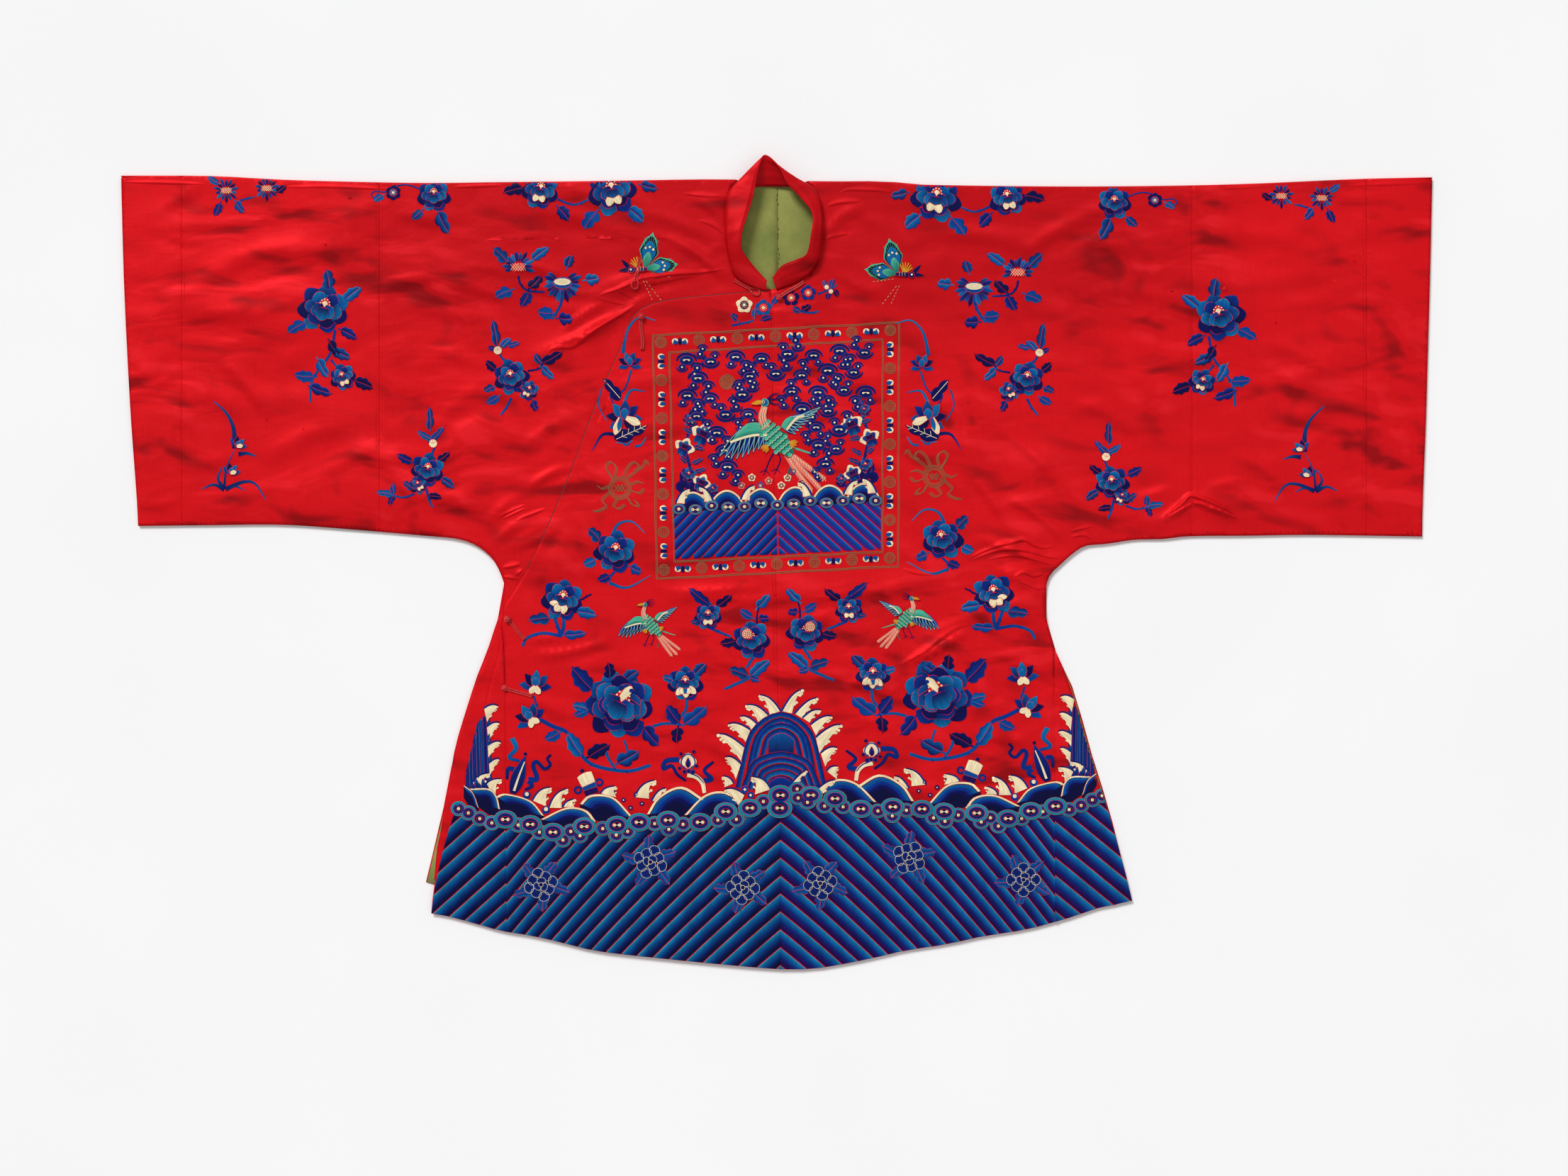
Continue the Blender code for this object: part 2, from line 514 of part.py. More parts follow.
def make_body_left():
    """The wearer's left half: back, shoulder and left front in one cloth."""
    seam = LEFT_SLEEVE_SEAM - SEAM / 2
    neck = spline(NECKLINE, 0.010)
    neck_front = [p for p in neck if p[0] > 0.000 and p[1] < 0.4655]
    centre = moved(spline(CENTRE_FRONT, EDGE_STEP), SEAM / 2)
    gore = moved(spline(LEFT_GORE_SEAM, EDGE_STEP), -SEAM / 2)
    hem = [(x, y) for x, y in spline(FRONT_HEM, EDGE_STEP) if 0.012 < x < 0.334]
    side = [(x, y) for x, y in spline(LEFT_FRONT_SIDE, 0.014) if y > -0.098]
    arm = clipped(spline(LEFT_UNDERARM, 0.009), seam)
    sleeve = [(seam, y) for y in np.linspace(arm[0][1], fold_y(seam) - 0.016, 15)]
    back_side = spline(LEFT_BACK_SIDE, BACK_EDGE_STEP)
    corner_x = back_side[-1][0]
    back_hem = [(x, back_hem_y(x)) for x in np.linspace(corner_x, BACK_SEAM + SEAM / 2, 12)]
    back_neck = [(x, y) for x, y in spline(BACK_NECKLINE, 0.010) if x > 0.006 and y < 0.4685]
    outline = joined(
        on_front(centre), on_front(hem), on_front(gore[::-1]), on_front(side[::-1]),
        on_front(arm[::-1]), on_front(sleeve), round_fold(seam, True), on_back(sleeve[::-3]),
        on_back(arm), on_back(back_side), on_back(back_hem),
        on_back([(BACK_SEAM + SEAM / 2, 0.4645)]), on_back(back_neck),
        [(NECKLINE[-1][0], 0.0)], on_front(neck_front[::-1]),
    )
    points = body_points(outline, -0.01, seam)
    rows = fold_rows(seam, NECKLINE[-1][0] + 0.008)
    return wall("body_left", outline, points, folded_over(front_height), RED_SATIN, rows)


def make_body_right():
    """The wearer's right half: back, shoulder and the inner flap in one cloth."""
    seam = RIGHT_SLEEVE_SEAM + SEAM / 2
    neck = spline(NECKLINE, 0.010)
    neck_front = [p for p in neck if p[0] < -0.009 and p[1] < 0.4665]
    flap_edge = spline(FLAP_INNER_EDGE, 0.04)
    flap_hem = [(x, -0.388) for x in np.linspace(-0.145, -0.400, 7)]
    flap_side = spline(RIGHT_FLAP_SIDE, 0.020)
    arm = clipped(spline(RIGHT_UNDERARM, 0.009), seam)
    sleeve = [(seam, y) for y in np.linspace(arm[0][1], fold_y(seam) - 0.016, 15)]
    back_side = spline(RIGHT_BACK_SIDE, BACK_EDGE_STEP)
    corner_x = back_side[-1][0]
    back_hem = [(x, back_hem_y(x)) for x in np.linspace(corner_x, BACK_SEAM - SEAM / 2, 12)]
    back_neck = [(x, y) for x, y in spline(BACK_NECKLINE, 0.010) if x < -0.006 and y < 0.4695]
    outline = joined(
        on_front(flap_edge), on_front(flap_hem), on_front(flap_side[::-1]),
        on_front(arm[::-1]), on_front(sleeve), round_fold(seam, True), on_back(sleeve[::-3]),
        on_back(arm), on_back(back_side), on_back(back_hem),
        on_back([(BACK_SEAM - SEAM / 2, 0.4645)]), on_back(back_neck[::-1]),
        [(NECKLINE[0][0], 0.0)], on_front(neck_front),
    )
    points = body_points(outline, seam, 0.0)
    rows = fold_rows(seam, NECKLINE[0][0] - 0.008)
    return wall("body_right", outline, points, folded_over(right_front_height), RED_SATIN, rows)


def make_overlap():
    """The wide front overlap, from the centre seam to the closing edge at the right side."""
    centre = moved(spline(CENTRE_FRONT, EDGE_STEP), -SEAM / 2)[1:]
    gore = moved(spline(RIGHT_GORE_SEAM, EDGE_STEP), SEAM / 2)
    hem = [(x, y) for x, y in spline(FRONT_HEM, EDGE_STEP) if -0.325 < x < -0.003]
    side = [(x, y) for x, y in spline(OVERLAP_SIDE, 0.012) if y > -0.074]
    outline = joined(spline(CLOSING_EDGE, 0.016), side, gore, hem, centre[::-1])
    candidates = [*crease_points(), *grid((-0.36, -0.50), (0.01, 0.34), FRONT_STEP)]
    points = mesh_points(outline, candidates, 0.010)
    return wall("overlap", outline, points, lies_flat(front_height, CLOTH), RED_SATIN)


def make_gore(name, seam_line, side_line, first_y, corner, towards):
    """The narrow wedge that widens the skirt beside the slit."""
    seam = moved(spline(seam_line, EDGE_STEP), towards * SEAM / 2)
    side = [(x, y) for x, y in spline(side_line, 0.020) if y < first_y]
    hem = [(x, y) for x, y in spline(FRONT_HEM, 0.020)
           if abs(seam[-1][0]) + 0.006 < towards * x < abs(corner[0]) - 0.004]
    hem.sort(key=lambda p: -abs(p[0]))
    outline = joined(side, [corner], hem, seam[::-1])
    candidates = [*crease_points(), *grid((min(seam[-1][0], corner[0]), -0.45),
                                          (max(seam[-1][0], corner[0]), -0.10), FRONT_STEP)]
    points = mesh_points(outline, candidates, 0.009)
    return wall(name, outline, points, lies_flat(front_height, CLOTH), RED_SATIN)


def make_lining(name, side_line, towards):
    """Half of the back's lining, which shows through the neck and at the hem."""
    centre_x = BACK_SEAM + towards * SEAM / 2
    inset = 0.0016
    side = [(x - towards * inset, y) for x, y in spline(side_line, 0.040) if y < -0.03]
    corner_x = side[-1][0]
    hem = [(x, back_hem_y(x) + 0.0005) for x in np.linspace(corner_x, centre_x, 12)]
    neck = [(x, y - 0.0022) for x, y in spline(BACK_NECKLINE, 0.012)
            if 0.004 < towards * (x - centre_x) < 0.034]
    neck.sort(key=lambda p: abs(p[0] - centre_x))
    shoulder = [(towards * x, fold_y(towards * x) - 0.016) for x in (0.06, 0.12, 0.22, ARMHOLE)]
    armhole = [(towards * ARMHOLE, y) for y in (0.30, 0.15, 0.02)]
    outline = joined(hem[:-1], [(centre_x, back_hem_y(centre_x) + 0.0005)], [(centre_x, 0.4623)],
                     neck, shoulder, armhole, side[:-1])
    points = mesh_points(outline, grid((-0.42, -0.5), (0.42, 0.46), BACK_STEP), 0.02)
    top = LINING_FOOT + LINING
    return wall(name, outline, points, lies_flat(lambda x, y: top, LINING), GREEN_COTTON)


def make_collar():
    """The standing collar, a soft band of doubled satin that leans in over the neck opening."""
    feet = spline([b.foot for b in COLLAR], 0.001)
    crests = spline([b.crest for b in COLLAR], 0.001)
    edges = spline([b.edge for b in COLLAR], 0.001)
    rings = []
    for share in np.linspace(0, 1, COLLAR_RINGS):
        foot, crest, edge = (line[round(share * (len(line) - 1))] for line in (feet, crests, edges))
        ring = []
        for t in np.linspace(0, 1, COLLAR_ROWS):
            ring.append((1 - t) ** 2 * foot + 2 * t * (1 - t) * (1.5 * crest - 0.25 * (foot + edge))
                        + t * t * edge)
        rings.append(ring)
    middle = np.array(rings)
    across, along = np.gradient(middle, axis=1), np.gradient(middle, axis=0)
    normal = np.cross(along, across)
    normal /= np.linalg.norm(normal, axis=2, keepdims=True)
    made = bmesh.new()
    faces_of = {}
    for side in (-0.5, 0.5):
        placed = middle + normal * side * COLLAR_CLOTH
        faces_of[side] = [[made.verts.new(p) for p in ring] for ring in placed]
    out, back = faces_of[0.5], faces_of[-0.5]
    rows, last = range(COLLAR_ROWS - 1), COLLAR_ROWS - 1
    for i in range(COLLAR_RINGS - 1):
        for j in rows:
            made.faces.new((out[i][j], out[i + 1][j], out[i + 1][j + 1], out[i][j + 1]))
            made.faces.new((back[i][j], back[i][j + 1], back[i + 1][j + 1], back[i + 1][j]))
        made.faces.new((out[i][0], back[i][0], back[i + 1][0], out[i + 1][0]))
        made.faces.new((out[i][last], out[i + 1][last], back[i + 1][last], back[i][last]))
    for i in (0, COLLAR_RINGS - 1):
        for j in rows:
            made.faces.new((out[i][j], out[i][j + 1], back[i][j + 1], back[i][j]))
    bmesh.ops.recalc_face_normals(made, faces=made.faces)
    mesh = bpy.data.meshes.new("collar")
    made.to_mesh(mesh)
    made.free()
    return add_object("collar", mesh, RED_SATIN)


def cloth_under(x, y):
    """The highest cloth within a cord's reach of x, y."""
    near = [(x + dx, y + dy) for dx in (-0.004, 0.0, 0.004) for dy in (-0.004, 0.0, 0.004)]
    return max(front_height(*p) if inside(OVERLAP_AREA, *p) or p[0] > 0 else right_front_height(*p)
               for p in near)


def make_button(button):
    """A knotted button with its two legs, sewn side by side along the cloth."""
    knot, tail = np.array(button.knot), np.array(button.tail)
    run = tail - knot
    length = float(np.linalg.norm(run))
    ahead = run / length
    aside = np.array((-ahead[1], ahead[0]))
    knot_turns = np.linspace(-80, 62, 8)
    stations = [(KNOT_R * math.sin(math.radians(a)), KNOT_R * math.cos(math.radians(a)),
                 KNOT_R * 0.80 * math.cos(math.radians(a)), 0.0) for a in knot_turns]
    for at in np.linspace(KNOT_R * 1.25, length, 7):
        stations.append((at, 2 * CORD_R, CORD_R, 1.0))
    made = bmesh.new()
    rings = []
    for at, wide, high, waist in stations:
        spot = knot + ahead * at
        foot = cloth_under(*spot) + SEAM
        centre = foot + (high if waist else KNOT_R * 0.80)
        ring = []
        for k in range(BUTTON_SIDES):
            turn = 2 * math.pi * k / BUTTON_SIDES
            pinch = 1 - 0.35 * waist * math.sin(turn) ** 8
            flat = spot + aside * wide * math.cos(turn)
            ring.append(made.verts.new((*flat, centre + high * math.sin(turn) * pinch)))
        rings.append(ring)
    for a, b in zip(rings, rings[1:]):
        for k in range(BUTTON_SIDES):
            n = (k + 1) % BUTTON_SIDES
            made.faces.new((a[k], a[n], b[n], b[k]))
    made.faces.new(rings[0][::-1])
    made.faces.new(rings[-1])
    bmesh.ops.recalc_face_normals(made, faces=made.faces)
    mesh = bpy.data.meshes.new(button.name)
    made.to_mesh(mesh)
    made.free()
    return add_object(button.name, mesh, RED_CORD)


def make_loop(loop):
    """A cord bent back on itself, with an open eye at its end."""
    tail, eye = np.array(loop.tail), np.array(loop.eye)
    run = eye - tail
    length = float(np.linalg.norm(run))
    ahead = run / length
    aside = np.array((-ahead[1], ahead[0]))
    strand = CORD_R + SEAM / 2
    legs = [(at, strand) for at in np.linspace(0, length - 2.6 * LOOP_EYE_R, 6)]
    turns = np.radians(np.linspace(125, -125, 9))
    bend = [(length - LOOP_EYE_R * (1 - math.cos(t)), LOOP_EYE_R * math.sin(t)) for t in turns]
    path = [*legs, *bend, *[(at, -off) for at, off in reversed(legs)]]
    curve = bpy.data.curves.new(loop.name, "CURVE")
    curve.dimensions = "3D"
    curve.bevel_depth = CORD_R
    curve.bevel_resolution = 2
    curve.use_fill_caps = True
    line = curve.splines.new("POLY")
    line.points.add(len(path) - 1)
    for point, (at, off) in zip(line.points, path):
        spot = tail + ahead * at + aside * off
        point.co = (*spot, cloth_under(*spot) + SEAM + CORD_R * 1.1, 1.0)
    curve.materials.append(RED_CORD)
    made = bpy.data.objects.new(loop.name, curve)
    bpy.context.scene.collection.objects.link(made)
    return made


make_sleeves()
make_body_left()
make_body_right()
make_overlap()
make_gore("overlap_gore", RIGHT_GORE_SEAM, OVERLAP_SIDE, -0.079, FRONT_HEM[0], -1)
make_gore("left_gore", LEFT_GORE_SEAM, LEFT_FRONT_SIDE, -0.106, FRONT_HEM[-1], 1)
make_lining("lining_right", RIGHT_BACK_SIDE, -1)
make_lining("lining_left", LEFT_BACK_SIDE, 1)
make_collar()
for each in BUTTONS:
    make_button(each)
for each in LOOPS:
    make_loop(each)
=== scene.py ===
import math
import random
from collections import namedtuple

import bmesh
import bpy
import numpy as np
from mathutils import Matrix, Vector
from mathutils.bvhtree import BVHTree


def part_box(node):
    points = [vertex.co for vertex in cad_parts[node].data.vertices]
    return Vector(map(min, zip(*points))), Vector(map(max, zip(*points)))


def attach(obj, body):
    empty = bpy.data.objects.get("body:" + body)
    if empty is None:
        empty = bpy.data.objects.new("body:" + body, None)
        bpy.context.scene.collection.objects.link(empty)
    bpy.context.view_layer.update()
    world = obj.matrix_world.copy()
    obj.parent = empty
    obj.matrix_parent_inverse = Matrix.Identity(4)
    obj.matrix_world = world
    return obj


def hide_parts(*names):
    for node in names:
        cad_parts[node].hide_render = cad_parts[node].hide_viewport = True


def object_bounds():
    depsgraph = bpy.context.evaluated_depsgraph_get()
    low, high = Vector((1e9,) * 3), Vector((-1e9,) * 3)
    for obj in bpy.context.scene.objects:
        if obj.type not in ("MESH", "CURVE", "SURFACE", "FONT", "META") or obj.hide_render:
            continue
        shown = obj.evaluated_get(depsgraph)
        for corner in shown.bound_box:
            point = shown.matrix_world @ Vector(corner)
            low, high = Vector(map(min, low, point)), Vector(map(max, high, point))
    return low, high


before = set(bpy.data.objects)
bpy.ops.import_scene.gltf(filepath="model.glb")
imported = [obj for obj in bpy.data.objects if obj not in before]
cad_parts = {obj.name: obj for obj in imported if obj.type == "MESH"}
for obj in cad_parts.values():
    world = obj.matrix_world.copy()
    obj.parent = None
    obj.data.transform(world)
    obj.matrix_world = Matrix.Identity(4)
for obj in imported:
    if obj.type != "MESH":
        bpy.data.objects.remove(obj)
cad_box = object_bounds()

# The camera hangs straight over the robe, as the picture was taken. What the picture shows is placed by
# its own pixels: they are 0.871 mm apart on the cloth, by the inch scale that lies beside the robe.
MM = 0.001
PIXEL = 0.871 * MM
MIDDLE_ACROSS, MIDDLE_DOWN = 1096.0, 794.8
FRAME_ACROSS, FRAME_DOWN = 2212, 1659
CAMERA_HEIGHT = 3.0


def spot(across, down):
    """The place on the robe of a pixel of the picture, in metres."""
    return np.array(((across - MIDDLE_ACROSS) * PIXEL, (MIDDLE_DOWN - down) * PIXEL))


camera = bpy.data.objects.new("camera", bpy.data.cameras.new("camera"))
camera.location = (*spot(FRAME_ACROSS / 2, FRAME_DOWN / 2), CAMERA_HEIGHT)
camera.data.sensor_width = 36.0
camera.data.lens = camera.data.sensor_width * CAMERA_HEIGHT / (FRAME_ACROSS * PIXEL)
bpy.context.scene.collection.objects.link(camera)
bpy.context.scene.camera = camera

# The panels: red silk satin on a soft backing, cut straight and sewn together. Each takes the outer face of
# its solid, is divided finely and pressed down to soft wrinkles, and gets its thickness inwards.
SATIN_THICK = 1.2 * MM
RIM_ANGLE = math.radians(37)   # the cut rims turn more than this, and creases less
FOLD_STEP = math.radians(45)   # the fold at the shoulder runs along x, and turns by this at each step
FRONT_OVER = 2.6 * MM          # the front lies above this, and the back below
FRONT_EDGE = 7.5 * MM          # longest edge in the mesh of the front
CELL = 3.0 * MM                # cells of the height map that the front is pressed to
SOFTNESS = 2.6                 # cells over which the solid's flat faces are rounded
EDGE_REACH = 5.0               # cells over which wrinkles die out towards an edge
EDGE_SHARE, EDGE_FADE = 0.52, 0.40
DEEPEST = 0.8 * MM             # a trough goes no lower than this under the flat front
MAP_MARGIN = 12 * MM
FACING_UP = 0.8                # the height map takes only what faces up more than this
PRESSED_FROM, PRESSED_RUN = 0.70, 0.22
OVER_ALL = 0.1                 # a height over the whole robe, in metres

Cut = namedtuple("Cut", "node width length area under")
CUTS = [
    Cut("body_left", 0.510, 1.925, 0.794, False),
    Cut("body_right", 0.490, 1.830, 0.692, True),
    Cut("overlap", 0.345, 0.835, 0.235, False),
    Cut("overlap_gore", 0.094, 0.376, 0.0178, False),
    Cut("left_gore", 0.096, 0.338, 0.0169, False),
    Cut("sleeve_left", 0.222, 0.880, 0.186, False),
    Cut("sleeve_right", 0.244, 0.880, 0.207, True),
    Cut("cuff_left", 0.082, 0.884, 0.066, False),
    Cut("cuff_right", 0.076, 0.862, 0.057, True),
]


def outer_face(name):
    """The outer face of a cloth solid as an open mesh: what its sharp rims part from the rest, on top."""
    cloth = bmesh.new()
    cloth.from_mesh(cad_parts[name].data)
    bmesh.ops.remove_doubles(cloth, verts=cloth.verts, dist=0.01 * MM)
    soft = set()
    for edge in cloth.edges:
        level = abs(edge.verts[0].co.x - edge.verts[1].co.x) > 0.9 * edge.calc_length()
        turn = edge.calc_face_angle(math.pi)
        if turn < RIM_ANGLE or level and abs(turn - FOLD_STEP) < math.radians(2):
            soft.add(edge)
    left, faces = set(cloth.faces), []
    while left:
        stretch, queue = set(), [left.pop()]
        while queue:
            face = queue.pop()
            stretch.add(face)
            near = {f for e in face.edges if e in soft for f in e.link_faces} & left
            left -= near
            queue += near
        faces.append(stretch)
    faces = sorted(faces, key=lambda s: sum(f.calc_area() for f in s))[-2:]
    kept = max(faces, key=lambda s: max(v.co.z for f in s for v in f.verts))
    bmesh.ops.delete(cloth, geom=[f for f in cloth.faces if f not in kept], context="FACES")
    return cloth


skins = {cut.node: outer_face(cut.node) for cut in CUTS}
LOW_X, LOW_Y = cad_box[0].x - MAP_MARGIN, cad_box[0].y - MAP_MARGIN
COLUMNS = int((cad_box[1].x + MAP_MARGIN - LOW_X) / CELL) + 1
ROWS = int((cad_box[1].y + MAP_MARGIN - LOW_Y) / CELL) + 1
map_x, map_y = np.meshgrid(LOW_X + CELL * np.arange(COLUMNS), LOW_Y + CELL * np.arange(ROWS))


def blurred(field, cells):
    """A field with each value shared out over its neighbours, to about that many cells."""
    reach = int(3 * cells) + 1
    bell = np.exp(-0.5 * (np.arange(-reach, reach + 1) / cells) ** 2)
    bell /= bell.sum()
    for axis in (0, 1):
        field = np.apply_along_axis(lambda line: np.convolve(line, bell, mode="same"), axis, field)
    return field


def met_from_above(cloth, x, y):
    """Where a line straight down at x, y first meets a cloth, and the way that the cloth faces there."""
    return cloth.ray_cast((x, y, OVER_ALL), (0, 0, -1))[:2]


def solid_heights(names):
    """Where the fronts of these panels lie in the map, and their heights, rounded over a few cells."""
    heights, there = np.zeros((ROWS, COLUMNS)), np.zeros((ROWS, COLUMNS))
    for name in names:
        tree = BVHTree.FromBMesh(skins[name])
        low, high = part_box(name)
        for i in np.flatnonzero((low.y - CELL < map_y[:, 0]) & (map_y[:, 0] < high.y + CELL)):
            for j in np.flatnonzero((low.x - CELL < map_x[0]) & (map_x[0] < high.x + CELL)):
                hit, normal = met_from_above(tree, map_x[0, j], map_y[i, 0])
                if hit and normal.z > FACING_UP and hit.z > FRONT_OVER:
                    heights[i, j], there[i, j] = hit.z, 1.0
    share = blurred(there, SOFTNESS)
    rounded = np.where(share > 1e-3, blurred(heights * there, SOFTNESS) / np.maximum(share, 1e-3), 0)
    return rounded, there


# Creases of the front that show in the picture, besides those of the solids: each is a ridge from one end to
# the other, in pixels of the picture, with its width and height in mm, and how far it bows to its left. Once
# pressed into the cloth they are this much narrower and higher.
CREASE_NARROWER, CREASE_HIGHER = 0.82, 1.8
CREASE_ENDS = 1.25             # a ridge dies out at this share of its half length
TROUGH_DEEP, TROUGH_ASIDE, TROUGH_WIDE = 0.55, 1.7, 1.2
CREASES = [
    (770, 494, 900, 428, 7, 2.6, -6), (792, 470, 868, 424, 6, 1.4, 4), (838, 424, 980, 383, 7, 2.2, 5),
    (845, 408, 960, 372, 6, 1.3, 3), (700, 372, 800, 392, 7, 1.0, 4), (720, 398, 858, 415, 6, 0.9, -5),
    (640, 400, 712, 425, 6, 0.9, 3), (648, 377, 740, 392, 5, 0.7, 3), (745, 690, 800, 660, 6, 1.8, 3),
    (700, 765, 745, 735, 6, 1.6, 3), (722, 775, 790, 742, 6, 1.3, -4), (690, 740, 735, 700, 8, 1.2, 4),
    (735, 640, 805, 590, 9, 1.1, 5), (560, 300, 640, 330, 10, 1.0, 5), (300, 380, 460, 350, 14, 1.6, 8),
    (250, 440, 420, 430, 14, 1.3, -6), (300, 500, 390, 600, 12, 1.5, 8), (380, 640, 500, 600, 14, 1.2, 6),
    (480, 640, 600, 640, 12, 1.0, -4), (560, 690, 690, 720, 12, 1.2, 4), (540, 410, 620, 390, 10, 1.2, 4),
    (600, 500, 690, 520, 12, 1.0, 5), (760, 300, 880, 330, 10, 1.2, 5), (900, 300, 1010, 340, 8, 1.3, 4),
    (930, 330, 1030, 400, 7, 1.6, 6), (980, 280, 1030, 320, 7, 1.0, 3), (1165, 330, 1220, 290, 8, 1.2, 4),
    (1170, 380, 1260, 420, 9, 1.0, -4), (1300, 330, 1460, 350, 12, 1.3, 6),
    (1440, 360, 1560, 300, 11, 1.6, 6), (1500, 330, 1620, 350, 10, 1.3, -5),
    (1540, 410, 1680, 430, 12, 1.2, 5), (1700, 330, 1860, 350, 14, 1.4, 6),
    (1680, 400, 1880, 380, 14, 1.2, -8), (1780, 480, 1900, 540, 12, 1.4, 6),
    (1650, 500, 1760, 560, 12, 1.2, 5), (1790, 610, 1900, 570, 11, 1.1, 5),
    (1740, 640, 1820, 690, 10, 1.0, 3), (1678, 702, 1632, 738, 6, 2.2, 2),
    (1682, 700, 1752, 732, 6, 2.2, -2), (1650, 690, 1600, 700, 7, 1.4, 2), (1700, 690, 1760, 680, 7, 1.2, 2),
    (1500, 560, 1620, 620, 12, 1.2, 6), (1400, 600, 1500, 690, 9, 1.5, 6), (1420, 700, 1500, 760, 7, 1.7, 3),
    (1380, 760, 1480, 800, 7, 1.4, 3), (1360, 660, 1430, 760, 8, 1.2, 5), (1290, 640, 1360, 700, 9, 1.0, 4),
    (1275, 936, 1372, 884, 6, 2.2, -4), (1300, 900, 1420, 860, 8, 1.0, 4), (1370, 885, 1470, 868, 7, 1.2, 3),
    (1180, 975, 1260, 955, 8, 1.0, 4), (1200, 1010, 1280, 1040, 8, 1.2, 4),
    (1240, 1100, 1300, 1085, 7, 0.9, 3), (1380, 1040, 1460, 1050, 8, 1.1, 3),
    (1130, 850, 1280, 835, 8, 1.1, 5), (1120, 885, 1180, 870, 8, 0.9, 3), (930, 832, 1080, 826, 6, 1.2, -4),
    (940, 846, 1090, 850, 6, 1.0, 4), (760, 925, 860, 903, 6, 1.7, -4), (745, 905, 800, 900, 6, 1.0, 2),
    (730, 985, 800, 1010, 9, 0.9, 4), (980, 1040, 1060, 1090, 9, 1.3, 5), (940, 1090, 1030, 1100, 7, 1.0, 4),
    (1000, 930, 1070, 960, 9, 0.9, 4), (690, 860, 700, 950, 7, 0.9, 2), (1420, 930, 1490, 960, 8, 1.1, 3),
    (1400, 800, 1470, 840, 7, 1.4, 3),
]
SOFT_WRINKLES = 560
SOFT_SEED = 11
SOFT_ACROSS, SOFT_UP = (-0.80, 0.80), (-0.36, 0.47)
SOFT_LENGTH, SOFT_WIDTH, SOFT_BOW = (34, 130), (5, 15), (-7, 7)


def crossing(runs):
    """The way across each run, a quarter turn from it."""
    return np.stack([-runs[..., 1], runs[..., 0]], axis=-1)


def bearing(start, end):
    """How far it is from one place to another, the way there, and the way across it."""
    run = end - start
    length = float(np.hypot(*run))
    return length, run / length, crossing(run / length)


def crease_field():
    """The creases and many soft, mostly level wrinkles, as heights over the flat front."""
    field = np.zeros((ROWS, COLUMNS))
    made = [(spot(across, down), spot(to_across, to_down), CREASE_NARROWER * width * MM,
             CREASE_HIGHER * height * MM, bow * MM)
            for across, down, to_across, to_down, width, height, bow in CREASES]
    chance = random.Random(SOFT_SEED)
    for _ in range(SOFT_WRINKLES):
        middle = np.array((chance.uniform(*SOFT_ACROSS), chance.uniform(*SOFT_UP)))
        turn = math.radians(chance.gauss(0, 17) + 10 * math.copysign(1, -middle[0] * middle[1]))
        half = 0.5 * chance.uniform(*SOFT_LENGTH) * MM * np.array((math.cos(turn), math.sin(turn)))
        made.append((middle - half, middle + half, chance.uniform(*SOFT_WIDTH) * MM,
                     chance.choice((1, 1, -0.8)) * chance.uniform(0.2, 1.0) ** 1.5 * MM,
                     chance.uniform(*SOFT_BOW) * MM))
    for start, end, width, height, bow in made:
        length, ahead, aside = bearing(start, end)
        along, across = ((map_x - start[0]) * way[0] + (map_y - start[1]) * way[1] for way in (ahead, aside))
        t = 2 * along / length - 1
        across = across - bow * (1 - t * t)
        near = (np.abs(t) < CREASE_ENDS) & (np.abs(across) < 4 * width)
        t, d = t[near], across[near] / width
        taper = np.clip(1 - (t / CREASE_ENDS) ** 2, 0, 1) ** 2
        trough = TROUGH_DEEP * np.exp(-((d + TROUGH_ASIDE) / TROUGH_WIDE) ** 2)
        field[near] += height * taper * (np.exp(-d * d) - trough)
    return field


wrinkles = crease_field()


def pressed_heights(names):
    """The heights that a group of panels is pressed to: those of the solids, with all wrinkles."""
    heights, there = solid_heights(names)
    inner = np.clip((blurred(there, EDGE_REACH) - EDGE_SHARE) / EDGE_FADE, 0, 1)
    fade = inner * inner * (3 - 2 * inner)
    return heights + np.maximum(wrinkles, -DEEPEST) * fade


upper_heights = pressed_heights([cut.node for cut in CUTS if not cut.under])
under_heights = pressed_heights([cut.node for cut in CUTS if cut.under])


def height_at(heights, x, y):
    """The height of the map at x, y, from its four nearest cells."""
    u, v = (x - LOW_X) / CELL, (y - LOW_Y) / CELL
    i, j = int(v), int(u)
    s, t = u - j, v - i
    low = heights[i, j] * (1 - s) + heights[i, j + 1] * s
    high = heights[i + 1, j] * (1 - s) + heights[i + 1, j + 1] * s
    return low * (1 - t) + high * t


def fine_sheet(cloth, longest, chosen=lambda edge: True):
    """Divides the chosen edges until none is longer."""
    for _ in range(7):
        long = [e for e in cloth.edges if chosen(e) and e.calc_length() > longest]
        if not long:
            break
        bmesh.ops.subdivide_edges(cloth, edges=long, cuts=1)
        bmesh.ops.triangulate(cloth, faces=[f for f in cloth.faces if len(f.verts) > 3])


def on_front(edge):
    return all(v.co.z > FRONT_OVER for v in edge.verts)


def as_object(name, form, finish):
    """An object of the scene from a mesh that is being made, or from a ready one."""
    mesh = form
    if isinstance(form, bmesh.types.BMesh):
        mesh = bpy.data.meshes.new(name)
        form.to_mesh(mesh)
        form.free()
    mesh.materials.append(finish)
    mesh.shade_smooth()
    made = bpy.data.objects.new(name, mesh)
    bpy.context.scene.collection.objects.link(made)
    return made


def as_piece(name, form, finish, replaced=None):
    """A piece of the robe, on its one body, and the solid that it takes the place of, if there is one."""
    piece = as_object(name, form, finish)
    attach(piece, "root")
    if replaced:
        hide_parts(replaced)
    return piece


def thickened(piece, thick, offset=-1.0):
    """Gives a sheet its thickness, inwards from its face or to both sides of its middle."""
    wall = piece.modifiers.new("thickness", "SOLIDIFY")
    wall.thickness = thick
    wall.offset = offset


